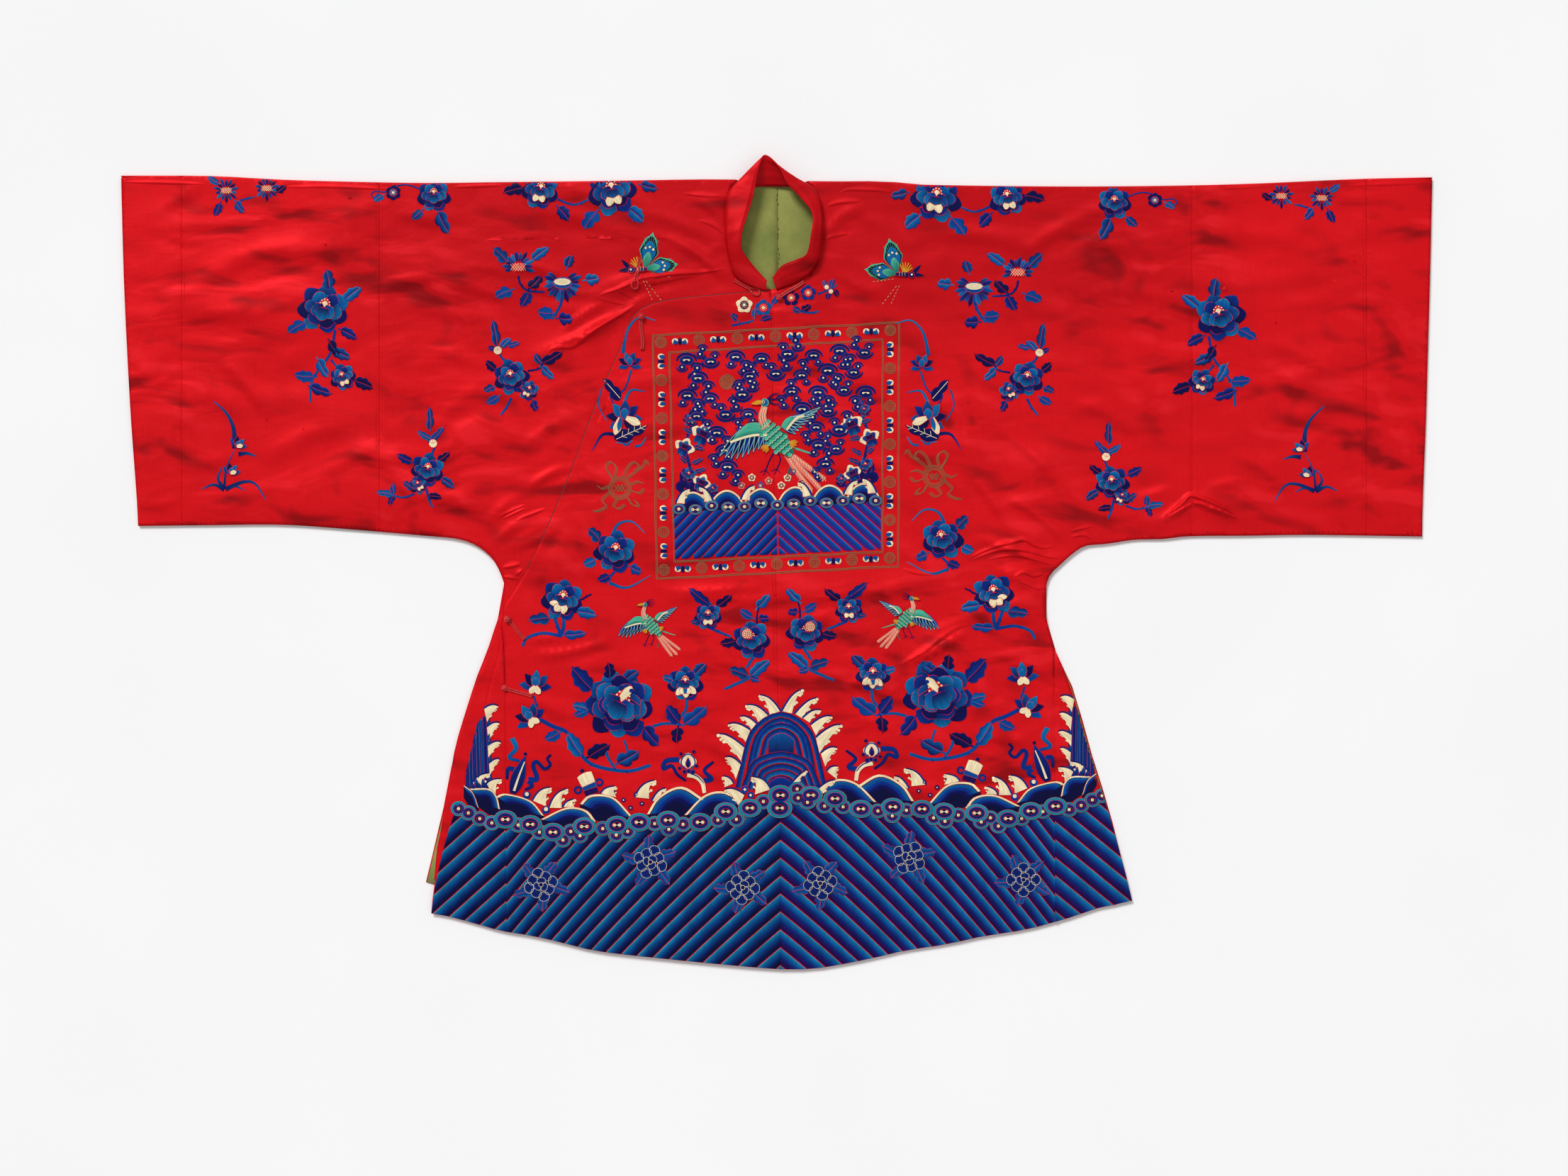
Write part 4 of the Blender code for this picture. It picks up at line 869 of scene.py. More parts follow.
    def leaf(self, foot, tip, half, dark=NAVY, light=TEAL, layer=0, bow=0.0, lobes=2, rows=12):
        """A leaf in two halves, each with round lobes along its edge, and a bare vein between them."""
        foot, tip = np.array(foot, float), np.array(tip, float)
        _, ahead, aside = bearing(foot, tip)
        t = np.linspace(0, 1, rows + 1)
        spine = foot + np.outer(t, tip - foot) + np.outer(bow * TO_PIXELS * np.sin(math.pi * t), aside)
        for side, (near, far) in ((-1, (dark, light)), (1, (light, dark))):
            wide = 0.62 * (1 - t) ** 0.7 * np.clip(7 * t, 0, 1)
            for middle, reach, size in LOBES[lobes]:
                middle = middle + 0.04 * side
                wide = np.maximum(wide, size * np.sqrt(np.clip(1 - ((t - middle) / reach) ** 2, 0, 1)))
            out = half * TO_PIXELS * wide * (1 - np.clip(7 * t - 6, 0, 0.94))
            inner = spine + side * VEIN * TO_PIXELS * aside
            outer = inner + side * np.outer(out, aside) + np.outer(0.12 * out, ahead)
            self.patch(np.stack([inner, (inner + outer) / 2, outer], axis=1),
                       [near, (np.array(near) + far) / 2, far], layer, ring=0.3 * MM if layer else 0)

    def stroke(self, points, half, dye, end=1.0, layer=0, count=0, ring=0.0, last=None):
        """A line of stitches through these places, from half its width to that times end."""
        count = count or max(4, 3 * len(points))
        path = spline(points, count)
        aside = crossing(unit(np.gradient(path, axis=0)))
        half = half * TO_PIXELS * np.linspace(1, end, count)[:, None]
        share = np.linspace(0, 1, count)[:, None, None]
        dyes = np.array(dye) * (1 - share) + np.array(dye if last is None else last) * share
        self.patch(np.stack([path - aside * half, path, path + aside * half], axis=1), dyes, layer, ring=ring)

    def disc(self, centre, radius, dye, rim=None, layer=0, flat=1.0, turn=0.0, sides=12, ring=VOID,
             hole=0.0):
        """A round patch, or a ring with a hole. turn tilts an oval one, in degrees."""
        radii = radius * TO_PIXELS * np.array([max(hole, 0.02), (1 + hole) / 2, 1.0])
        radii = np.append(radii, radii[-1] + ring / PIXEL)
        angle = np.linspace(0, 2 * math.pi, sides + 1)
        r, a = np.meshgrid(radii, angle, indexing="ij")
        u, v = r * np.cos(a), flat * r * np.sin(a)
        c, s = math.cos(math.radians(turn)), math.sin(math.radians(turn))
        grid = np.array(centre, float) + np.stack([u * c - v * s, u * s + v * c], -1)
        dyes = np.array([dye, dye, dye if rim is None else rim, GROUND])[:, None, :]
        low = LIFT + layer * LAYER
        over = np.array([low + DOME * (0.4 if hole else 1), low + DOME, low + DOME * 0.45, low])[:, None]
        bare = np.zeros((3, sides), bool)
        bare[2] = True
        if not ring:
            grid, dyes, over, bare = grid[:3], dyes[:3], over[:3], bare[:2]
        self.lay(grid, dyes, over, bare)

    def sewn(self, name, finish, over_water=True):
        """Lays the embroidery on the cloth under it, or on the silk of the water too."""
        flat, over, quads, dyes, runs = (np.concatenate(part) for part in zip(*self.parts))
        boxes = [(tree, *bounds[node]) for node, tree in cloths.items()
                 if over_water or not node.endswith("_water")]
        points = np.zeros((len(flat), 3))
        for k, (x, y) in enumerate(flat):
            top = 0.0
            for tree, low, high in boxes:
                if low.x < x + MM and x - MM < high.x and low.y < y + MM and y - MM < high.y:
                    for aside in (-0.4 * MM, 0.4 * MM):
                        hit = met_from_above(tree, x + aside, y)[0]
                        if hit and hit.z > top:
                            top = hit.z
            points[k] = x, y, top + over[k]
        held = np.all(points[quads][..., 2] > FRONT_OVER, axis=1)
        quads, dyes, runs = quads[held], dyes[np.repeat(held, 4)], runs[np.repeat(held, 4)]
        mesh = bpy.data.meshes.new(name)
        mesh.from_pydata(points.tolist(), [], quads.tolist())
        colour = mesh.color_attributes.new("dye", "FLOAT_COLOR", "CORNER")
        colour.data.foreach_set("color", np.column_stack([dyes, np.ones(len(dyes))]).ravel())
        mesh.uv_layers.new(name="threads").data.foreach_set("uv", runs.ravel())
        as_piece(name, mesh, finish)


bounds = {node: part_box(node) for node in cloths}


def floss_finish():
    """Silk floss: glossy threads side by side, each a little lighter or darker than the next."""
    floss = Finish("silk_floss", Specular_IOR_Level=0.09)
    along = floss.place("UV")
    thread = floss.threads(along, (1700.0, 90.0, 1.0), 2.0, 0.6)
    patchy = floss.threads(along, (650.0, 70.0, 1.0))
    dye = floss.node("ShaderNodeVertexColor", {"layer_name": "dye"})
    lit = floss.mixed((thread * 1.5 - 0.62).clipped(0.0, 0.5), dye, (1.5, 1.5, 1.5), "MULTIPLY")
    shade = floss.mixed((patchy * 1.3 - 0.40).clipped(0.0, 0.5), lit, (0.40, 0.40, 0.46), "MULTIPLY")
    floss.set("Base Color", shade)
    floss.set("Roughness", thread * 0.2 + 0.36)
    floss.bump(thread + patchy * 0.5, 0.18 * MM, 0.45)
    return floss.material


silk_floss = floss_finish()


def around(centre, radius, degrees):
    """A place that far from a centre in mm, clockwise from straight up in the picture."""
    turn = math.radians(degrees)
    return np.array(centre, float) + radius * TO_PIXELS * np.array((math.sin(turn), -math.cos(turn)))


PEONY_TONES = ((NAVY, TEAL), (DEEP, NAVY), (NAVY, BLUE), (BLUE, SKY), (DEEP, BLUE), (NAVY, SKY), (NAVY, NAVY))
PEONY_RINGS = ((7, 0.42, 1.00, 0.37, 0), (6, 0.22, 0.76, 0.33, 1))
GREAT_RINGS = ((9, 0.55, 1.00, 0.30, 0), (7, 0.38, 0.80, 0.31, 1.2), (6, 0.20, 0.60, 0.29, 2.4))
DAISY_TONES = ((NAVY, BLUE), (BLUE, TEAL), (NAVY, TEAL), (TEAL, SKY), (PURPLE, NAVY))
LOTUS_TONES = ((NAVY, BLUE), (BLUE, TEAL), (DEEP, NAVY), (TEAL, SKY), (NAVY, TEAL))
LEAF_TONES = ((NAVY, TEAL), (BLUE, TEAL), (DEEP, NAVY), (BLUE, SKY), (NAVY, BLUE))
SMALL_PEONY = 12               # up to this radius in mm, a peony has fewer stitches


def peony(work, centre, radius, lean=20, cream=True, great=False):
    """A peony from the front: rings of round petals, a cup in front, and a red heart with cream stitches."""
    rings = GREAT_RINGS if great else PEONY_RINGS
    wide = 6 if radius > SMALL_PEONY else 4
    for step, (count, near, far, half, layer) in enumerate(rings):
        for k in range(count):
            at = lean + 360 * (k + 0.5 * (step % 2)) / count + work.chance.uniform(-5, 5)
            grow = far * work.chance.uniform(0.94, 1.06)
            work.ray(centre, near * radius, grow * radius, at, half * radius * work.chance.uniform(0.94, 1.1),
                     *PEONY_TONES[(3 * k + 2 * step) % 7], layer + 0.25 * (k % 2), columns=wide, round_=0.52)
    top = rings[-1][4] + 1
    heart = around(centre, 0.06 * radius, lean)
    work.petal(around(heart, 0.1 * radius, lean + 180), around(heart, 0.40 * radius, lean), 0.24 * radius,
               RED, RED, top, base=0.8, round_=0.55, columns=wide, ring=0.25 * MM)
    if radius > SMALL_PEONY:
        dot = around(heart, 0.15 * radius, lean)
        for k in range(6):
            work.disc(around(dot, 0.19 * radius, lean - 90 + 36 * k), 0.032 * radius, CREAM, layer=top + 1,
                      sides=5, ring=0)
    work.ray(heart, 0.0, 0.27 * radius, lean, 0.12 * radius, CREAM, CREAM, top + 1, base=0.8, rows=3,
             ring=0.2 * MM)
    for turn, far, half, tone, over in ((118, 0.50, 0.29, 3, 2), (242, 0.50, 0.29, 0, 2),
                                        (180, 0.46, 0.33, 5, 2.5)):
        work.petal(around(centre, 0.04 * radius, lean), around(centre, far * radius, lean + turn),
                   half * radius, *PEONY_TONES[tone], top + over, base=0.6, columns=wide, round_=0.5)
    if cream:
        for turn, far in ((lean + 158, 0.62), (lean + 202, 0.64)):
            work.ray(centre, 0.30 * radius, far * radius, turn, 0.17 * radius, CREAM, CREAM, top + 3.4,
                     base=0.75, rows=3, round_=0.5)


def round_flower(work, centre, radius, petal, ring, core, count=5):
    """A small flower from above: round petals, and a ring of fine stitches round its heart."""
    for k in range(count):
        at = 360 * k / count + work.chance.uniform(-5, 5)
        work.ray(centre, 0.35 * radius, radius, at, 0.46 * radius, petal, petal, 0.3 * (k % 2), base=0.6,
                 round_=0.5)
    work.disc(centre, 0.46 * radius, ring, layer=2)
    for at in range(0, 360, 36):
        work.stroke([around(centre, 0.20 * radius, at), around(centre, 0.40 * radius, at)], 0.18, CREAM,
                    layer=3, count=3)
    work.disc(centre, 0.17 * radius, core, layer=3, sides=7, ring=0)


def daisy(work, centre, radius, first=0, sweep=360, count=18, lattice=False):
    """A chrysanthemum: many narrow petals, all round or in a fan, and a crescent or lattice in its heart."""
    for k in range(count):
        at = first + sweep * (k / count if sweep == 360 else k / (count - 1) - 0.5)
        far = radius * (1 if k % 2 else 0.85) * work.chance.uniform(0.94, 1.06)
        work.ray(centre, 0.34 * radius, far, at, 0.115 * radius, *DAISY_TONES[(k * 2) % 5], 0.4 * (k % 2),
                 base=0.45, rows=3, columns=2, ring=0.28 * MM)
    if not lattice:
        work.disc(centre, 0.46 * radius, BLUE, TEAL, layer=2, flat=0.62)
        work.disc(around(centre, 0.05 * radius, 0), 0.42 * radius, CREAM, layer=3, flat=0.42, sides=10,
                  ring=0)
        return
    work.disc(centre, 0.42 * radius, RED, layer=2, flat=0.62, sides=10, ring=0)
    for k in range(-2, 3):
        for lean in (-1, 1):
            middle = np.array(centre, float) + (k * 0.15 * radius * TO_PIXELS, 0)
            run = np.array((lean * 0.2, 0.24)) * radius * TO_PIXELS * (1 - 0.12 * abs(k))
            work.stroke([middle - run, middle + run], 0.22, CREAM, layer=3, count=3)


def lotus(work, centre, radius, lean=0, cream=True, count=5):
    """A lotus or small side flower: pointed petals in a fan, and cream petals below."""
    order = sorted(range(count), key=lambda k: -abs(k - (count - 1) / 2))
    for step, k in enumerate(order):
        work.ray(centre, 0.05 * radius, radius, lean + 44 * (k - (count - 1) / 2), 0.27 * radius,
                 *LOTUS_TONES[(k + 1) % 5], 0.6 * step, base=0.3, point=True, rows=5)
    work.petal(around(centre, 0.1 * radius, lean + 180), around(centre, 0.55 * radius, lean), 0.24 * radius,
               TEAL, SKY, count * 0.6, base=0.6)
    if cream:
        for turn in (lean + 145, lean + 215):
            work.ray(centre, 0.0, 0.55 * radius, turn, 0.19 * radius, CREAM, CREAM, count * 0.6 + 1, base=0.6,
                     rows=3)


def twig(work, points, half=1.0, dye=BLUE, last=TEAL, thorns=2):
    """A branch with stubs of cut side shoots."""
    half = 1.4 * half
    work.stroke(points, half, dye, 0.8, last=last)
    path = spline(points, 12)
    for k in range(thorns):
        at = 2 + int(8 * (k + 0.5) / thorns)
        ahead = unit(path[at + 1] - path[at - 1])
        side = 1 if k % 2 else -1
        out = (ahead * 0.5 + side * crossing(ahead)) * 2.4 * TO_PIXELS
        work.stroke([path[at], path[at] + out], half * 0.8, dye, 0.35, layer=0.2, count=3)


def bud(work, centre, radius, lean=0):
    """A round cream bud with dark sepals."""
    for turn in (lean - 50, lean + 50, lean):
        work.ray(centre, 0.0, 1.9 * radius, turn, 0.42 * radius, NAVY, BLUE, point=True)
    work.disc(centre, radius, CREAM, layer=1, sides=10)
    for turn in (-60, 0, 60):
        work.stroke([centre, around(centre, 0.95 * radius, lean + turn)], 0.16, RED, layer=2.2, count=3)


def leaves(work, table, grow):
    """Leaves on short stems: each from its foot to its tip in pixels, with half its width in mm."""
    for k, (across, down, to_across, to_down, half) in enumerate(table):
        dark, light = LEAF_TONES[k * 3 % 5]
        foot, tip = np.array((across, down), float), np.array((to_across, to_down), float)
        stem = foot - unit(tip - foot) * min(5.0, 1.1 * half)
        work.stroke([stem, foot + (tip - foot) * 0.1], 0.12 * half + 0.35, light, count=3)
        work.leaf(foot, foot + (tip - foot) * grow, half * 1.22 * grow, dark, light, layer=0.5,
                  lobes=2 + k % 2, bow=0.8 * (-1) ** k)


def both_halves(name, draw, seed, over_water=True):
    """The wearer's right half as it is drawn, and then its facing half, each a piece of its own."""
    for side, flipped in (("_right", False), ("_left", True)):
        work = Needlework(seed + flipped)
        work.flipped = flipped
        draw(work)
        work.sewn(name + side, silk_floss, over_water)


# Sprays on the sleeves and shoulders: peonies, daisies and lotuses of blue and cream floss on thorny twigs.
# The left half of the picture is drawn here, and its facing half follows from it. A leaf is given by its
# foot and its tip in pixels, and half its width in mm.
SLEEVE_LEAVES = [
    (466, 408, 462, 386, 5.0), (488, 424, 506, 410, 4.6), (432, 456, 412, 468, 4.6),
    (482, 466, 500, 476, 4.0), (466, 482, 478, 500, 3.8), (470, 496, 490, 504, 4.4),
    (450, 508, 462, 528, 4.2), (444, 532, 422, 530, 4.6), (440, 546, 464, 554, 4.2),
    (502, 538, 522, 546, 4.6),
]
CORNER_LEAVES = [
    (608, 606, 606, 580, 2.9), (610, 620, 594, 611, 2.5), (611, 620, 624, 605, 2.5),
    (582, 652, 566, 644, 3.4), (620, 650, 632, 640, 3.0), (624, 676, 638, 686, 3.4),
    (554, 698, 536, 696, 2.8), (557, 697, 556, 685, 2.3), (556, 700, 552, 711, 2.3),
    (606, 700, 621, 702, 2.7), (582, 690, 572, 682, 2.6),
]
SHOULDER_LEAVES = [
    (619, 301, 632, 325, 5.2), (310, 260, 298, 252, 2.6), (334, 286, 344, 298, 3.2),
    (312, 288, 306, 302, 3.2), (392, 272, 402, 264, 2.8), (596, 298, 585, 308, 3.6),
    (541, 277, 531, 284, 3.0),
]


def sleeve_sprays(work):
    """The sprays on a sleeve, beside the armhole and on the shoulder, and a flower on long blades."""
    work.nudge = (-10, 5)
    peony(work, (458, 437), 31, lean=15, cream=False)
    peony(work, (485, 533), 17, lean=-20)
    twig(work, [(474, 466), (468, 498), (452, 520), (441, 540), (439, 568)], 1.2, thorns=4)
    twig(work, [(468, 508), (478, 520)], 1.0, thorns=0)
    leaves(work, SLEEVE_LEAVES, 1.3)
    work.nudge = (-20, 20)
    peony(work, (604, 664), 21, lean=10, cream=False)
    peony(work, (592, 684), 12, lean=-30)
    bud(work, (612, 626), 5.0, lean=-10)
    twig(work, [(614, 632), (608, 645)], 1.0, thorns=1)
    twig(work, [(586, 697), (570, 702), (553, 699)], 0.9, thorns=2)
    twig(work, [(603, 690), (606, 704), (611, 716)], 1.1, thorns=1)
    leaves(work, CORNER_LEAVES, 1.3)
    work.nudge = (0, 0)
    peony(work, (613, 277), 21, lean=0, cream=False)
    work.stroke([(594, 268), (576, 262), (560, 264), (545, 272), (530, 271), (524, 277), (530, 280)], 0.9,
                BLUE, 0.8)
    for place in ((321, 270), (378, 267)):
        daisy(work, place, 16, count=14, lattice=True)
    round_flower(work, (556, 273), 9.5, NAVY, BLUE, CREAM, 6)
    twig(work, [(340, 284), (360, 279)], 0.9, thorns=1)
    leaves(work, SHOULDER_LEAVES, 1.3)
    work.nudge = (-20, 6)
    for blade, half in (([(318, 690), (321, 660), (333, 634)], 1.6),
                        ([(333, 633), (331, 604), (321, 583), (304, 567)], 3.4),
                        ([(338, 641), (350, 640), (363, 644)], 2.9),
                        ([(320, 690), (345, 680), (362, 683), (376, 705)], 2.7),
                        ([(318, 691), (303, 684), (287, 690)], 2.7),
                        ([(319, 690), (309, 676), (314, 660)], 2.6),
                        ([(320, 691), (333, 686), (347, 692)], 2.3)):
        work.stroke(blade, half, NAVY, 0.2, last=TEAL, count=11)
    for place, lean in (((336, 630), 25), ((327, 668), 15)):
        lotus(work, place, 12.5, lean=lean, cream=False, count=4)
        work.petal(place, around(place, 7.5, lean + 60), 2.6, CREAM, CREAM, 4, base=0.6)


both_halves("sleeve_sprays", sleeve_sprays, 21)

# Sprays and butterflies on the chest, round the collar and beside the badge, in the same stitches. The row
# of small flowers near the collar is on one side of the front alone.
COLLAR_LEAVES = [
    (905, 262, 924, 266, 4.2), (888, 296, 904, 310, 5.6), (842, 300, 828, 320, 6.0),
    (788, 294, 800, 308, 4.8), (738, 266, 716, 272, 4.8),
]
CHEST_LEAVES = [
    (715, 369, 699, 354, 4.8), (752, 367, 771, 353, 4.2), (722, 410, 703, 419, 5.0),
    (747, 413, 738, 430, 4.6), (748, 407, 762, 392, 4.4), (801, 378, 806, 364, 4.2),
    (827, 396, 843, 393, 5.0), (781, 443, 763, 441, 5.4), (789, 450, 806, 450, 5.2),
]
SIDE_LEAVES = [
    (702, 487, 696, 457, 3.6), (708, 491, 719, 480, 3.0), (716, 488, 731, 484, 2.6),
    (700, 493, 691, 490, 2.2), (767, 513, 790, 499, 4.2), (764, 513, 757, 502, 3.0),
    (765, 519, 780, 532, 3.4), (704, 560, 690, 568, 3.6), (752, 566, 758, 578, 3.2),
    (700, 522, 689, 512, 3.6), (698, 546, 686, 552, 3.2),
]


def butterfly(work, head, tips):
    """A butterfly from above and aside: wings with a pale edge, a dark band with spots, and blues within."""
    head = np.array(head, float)
    body = head + (20, -2)
    for tip, half in zip(np.array(tips, float), (12.0, 11.5)):
        run = tip - body
        side = unit(crossing(run))
        work.petal(body, tip, half, MINT, MINT, 0, base=0.12, rows=5, columns=8, lobes=3, round_=0.45)
        work.petal(body, body + run * 0.93, half * 0.90, INK, INK, 1, base=0.12, rows=5, columns=8, ring=0,
                   round_=0.45)
        for k in range(-3, 4):
            end = body + run * (0.95 - 0.03 * abs(k)) + side * k * half * 0.24 * TO_PIXELS
            work.stroke([body + run * 0.3 + side * k * half * 0.10, end], 0.22, MINT, 0.6, layer=2.2, count=3)
        work.petal(body, body + run * 0.80, half * 0.72, TEAL, SKY, 2.6, base=0.12, rows=5, columns=6, ring=0)
        for k in (-1, 0, 1):
            dot = body + run * (0.62 - 0.05 * abs(k)) + side * k * half * 0.40 * TO_PIXELS
            work.disc(dot, 2.0, INK, layer=3.4, sides=8, ring=0)
            work.disc(dot, 1.5, CREAM, layer=4.2, sides=8, ring=0)
        work.petal(body, body + run * 0.48, half * 0.42, JADE, MINT, 3.6, base=0.3, ring=0.25 * MM)
    work.petal(body + (2, 1), head + (-1, 0), 3.0, PURPLE, NAVY, 5, base=0.5)
    for k in range(3):
        work.stroke([body + (-3 - 4 * k, -3), body + (-3 - 4 * k, 3)], 0.25, SAND, layer=6.2, count=3)
    for k in range(6):
        work.stroke([head + (10, -2), around(head + (8, -9), 8.5, -80 + 26 * k)], 0.8, AMBER, 0.8, layer=1.4,
                    count=4)
    for out in ((-14, -15), (-18, 1)):
        work.petal(head + (-1, -1), head + np.array(out), 2.4, NAVY, DEEP, 1, point=True)
    work.disc(head, 3.6, NAVY, layer=5.5, sides=9)
    work.disc(head + (-0.5, -0.5), 1.4, CREAM, layer=6.5, sides=6, ring=0)
    for end in ((18, 39), (31, 40), (44, 6)):
        run = np.array(end, float)
        for k in range(6):
            start = head + (12, 4) + run * (0.30 + 0.12 * k)
            work.stroke([start, head + (12, 4) + run * (0.36 + 0.12 * k)], 0.25, SAND, count=3)


def chest_sprays(work):
    """The sprays at the collar and down one side of the badge, and a butterfly between them."""
    work.nudge = (0, 0)
    peony(work, (763, 270), 24, lean=10)
    peony(work, (864, 270), 31, lean=-10)
    twig(work, [(787, 282), (810, 290), (832, 282)], 1.0)
    leaves(work, COLLAR_LEAVES, 1.3)
    work.nudge = (-19, 0)
    daisy(work, (732, 378), 21, first=0, sweep=210, count=12, lattice=True)
    twig(work, [(732, 390), (735, 402), (746, 411), (769, 413)], 1.0, NAVY, BLUE, thorns=3)
    daisy(work, (794, 400), 25, first=180, sweep=250, count=17)
    twig(work, [(794, 421), (789, 436), (779, 451)], 1.3, thorns=3)
    leaves(work, CHEST_LEAVES, 1.25)
    work.nudge = (-20, 0)
    bud(work, (703, 495), 5.0, lean=-15)
    twig(work, [(706, 501), (710, 507), (715, 513)], 1.0, thorns=1)
    peony(work, (722, 533), 22, lean=-15, cream=False)
    peony(work, (746, 551), 13, lean=25)
    twig(work, [(745, 524), (761, 521), (767, 514)], 0.9, NAVY, BLUE, thorns=1)
    twig(work, [(722, 562), (716, 574), (707, 586)], 1.1, thorns=1)
    leaves(work, SIDE_LEAVES, 1.25)
    work.nudge = (-10, 0)
    butterfly(work, (891, 382), ((921, 331), (955, 374)))
    work.nudge = (0, 0)
    # The lotus beside the badge
    work.stroke([(879, 499), (886, 466), (903, 448), (925, 453)], 2.2, TEAL, 0.25, last=SKY, count=14)
    lotus(work, (889, 514), 15, lean=0, cream=False, count=6)
    work.stroke([(891, 522), (884, 545), (875, 556)], 1.2, TEAL, 0.8, last=BLUE)
    work.leaf((876, 564), (850, 533), 7.0, NAVY, NAVY, lobes=2)
    work.stroke([(875, 562), (853, 537)], 0.35, CREAM, layer=2, count=4)
    work.stroke([(849, 549), (845, 572), (856, 594)], 1.1, TEAL, 0.6)
    work.stroke([(862, 551), (862, 562), (872, 577)], 1.1, BLUE, 0.6)
    work.stroke([(881, 568), (891, 551), (911, 553)], 2.0, SKY, 0.3, last=TEAL, count=10)
    lotus(work, (881, 590), 22, lean=5, cream=False, count=7)
    work.petal((876, 590), (868, 614), 5.0, CREAM, CREAM, 5, base=0.5)
    work.petal((877, 590), (873, 608), 2.8, TEAL, SKY, 6, base=0.5)
    work.petal((884, 590), (904, 599), 5.0, CREAM, CREAM, 5, base=0.5)
    work.leaf((868, 621), (915, 600), 8.5, NAVY, NAVY, layer=1, lobes=2)
    work.stroke([(870, 620), (912, 601)], 0.35, CREAM, layer=2.4, count=4)
    for k in range(4):
        middle = np.array((878.0, 616.0)) + k * np.array((8.5, -3.8))
        work.stroke([middle, middle + (7, 2)], 0.28, CREAM, layer=2.4, count=3)
        work.stroke([middle, middle + (1, -7)], 0.28, CREAM, layer=2.4, count=3)
    work.stroke([(868, 613), (850, 614), (836, 636)], 2.4, NAVY, 0.2, last=BLUE, count=10)
    for run in ([(896, 630), (905, 628), (912, 617)], [(884, 629), (878, 625), (870, 625)],
                [(885, 629), (888, 625), (893, 622)]):
        work.stroke(run, 1.7, TEAL, 0.3, last=SKY)
    # The spray below the badge's lower corner
    work.nudge = (2, -12)
    work.stroke([(862, 762), (872, 740), (892, 736), (910, 752)], 2.2, TEAL, 0.2, last=SKY, count=14)
    peony(work, (868, 779), 26, lean=10, cream=False)
    twig(work, [(868, 806), (860, 816), (862, 826)], 1.1, thorns=1)
    work.stroke([(862, 823), (885, 829), (918, 812)], 2.0, TEAL, 0.2, last=SKY, count=11)
    leaves(work, [(846, 762, 832, 748, 5.0), (840, 790, 826, 796, 4.6), (890, 800, 904, 806, 4.4),
                  (860, 812, 846, 818, 4.0)], 1.2)
    if work.flipped:
        return
    for place, radius, petal, ring in (((1050, 431), 10.5, CREAM, PURPLE), ((1077, 435), 10.5, TEAL, RED),
                                       ((1116, 421), 10.5, NAVY, RED), ((1140, 414), 10.0, BLUE, RED)):
        round_flower(work, place, radius, petal, ring, CREAM)
    twig(work, [(1032, 460), (1048, 457), (1063, 453)], 1.0)
    twig(work, [(1127, 439), (1142, 442), (1155, 440)], 1.0)
    twig(work, [(1153, 416), (1166, 411), (1181, 403)], 0.8)
    leaves(work, [(1040, 452, 1030, 444, 3.4), (1064, 448, 1066, 434, 2.6), (1090, 430, 1098, 414, 2.8),
                  (1075, 452, 1090, 448, 3.0), (1132, 438, 1144, 430, 3.6), (1128, 440, 1118, 434, 3.4),
                  (1166, 408, 1160, 396, 2.6), (1172, 406, 1176, 394, 2.8), (1170, 414, 1168, 424, 3.0),
                  (1176, 410, 1182, 420, 2.8)], 1.0)
    for place in ((1166, 406), (1172, 412)):
        work.disc(place, 2.8, CREAM, layer=1, sides=8)


both_halves("chest_sprays", chest_sprays, 31)

# The skirt's flowers and birds, in the same stitches, over the sea that fills its lower part. Each half has
# one long-tailed bird, with wings of long single feathers, and a great peony below it.
SKIRT_LEAVES = [
    (775, 872, 745, 876, 6.0), (815, 863, 842, 868, 6.0), (797, 896, 829, 892, 4.8),
    (1001, 853, 972, 830, 5.2), (1012, 855, 1033, 838, 4.6), (992, 877, 974, 877, 3.2),
    (1069, 857, 1086, 837, 5.0), (1061, 871, 1044, 860, 4.4), (1071, 872, 1086, 871, 4.2),
    (1037, 904, 1016, 908, 5.0), (1055, 953, 1027, 944, 5.6), (1060, 953, 1086, 931, 6.0),
    (1058, 955, 1073, 959, 3.4), (835, 972, 807, 941, 9.0), (861, 956, 858, 934, 6.0),
    (881, 960, 901, 946, 6.4), (829, 1000, 807, 995, 5.4), (829, 1002, 810, 1009, 4.4),
    (909, 1026, 931, 1052, 7.4), (831, 1067, 861, 1050, 7.0), (872, 1076, 903, 1058, 7.6),
    (821, 1065, 801, 1033, 7.4), (966, 1021, 998, 995, 7.6), (958, 1019, 941, 995, 7.0),
    (957, 1026, 955, 1049, 6.0), (981, 952, 996, 936, 5.8), (950, 960, 934, 955, 4.2),
    (790, 1033, 769, 1043, 5.6), (877, 1012, 889, 1030, 5.0),
]


Wing = namedtuple("Wing", "shoulder tips")
BIRD_WINGS = [
    Wing(((-4, -9), (-13, -12), (-23, -11), (-31, -4)), ((-9, 7), (-20, 13), (-33, 18), (-46, 15))),
    Wing(((6, -10), (9, -15), (13, -18), (17, -15)), ((18, -4), (24, -10), (32, -18), (39, -27))),
]
BIRD_PLUMES = [((8, 8), (24, 20), (41, 33)), ((9, 9), (22, 24), (37, 40)), ((8, 10), (18, 26), (30, 42))]


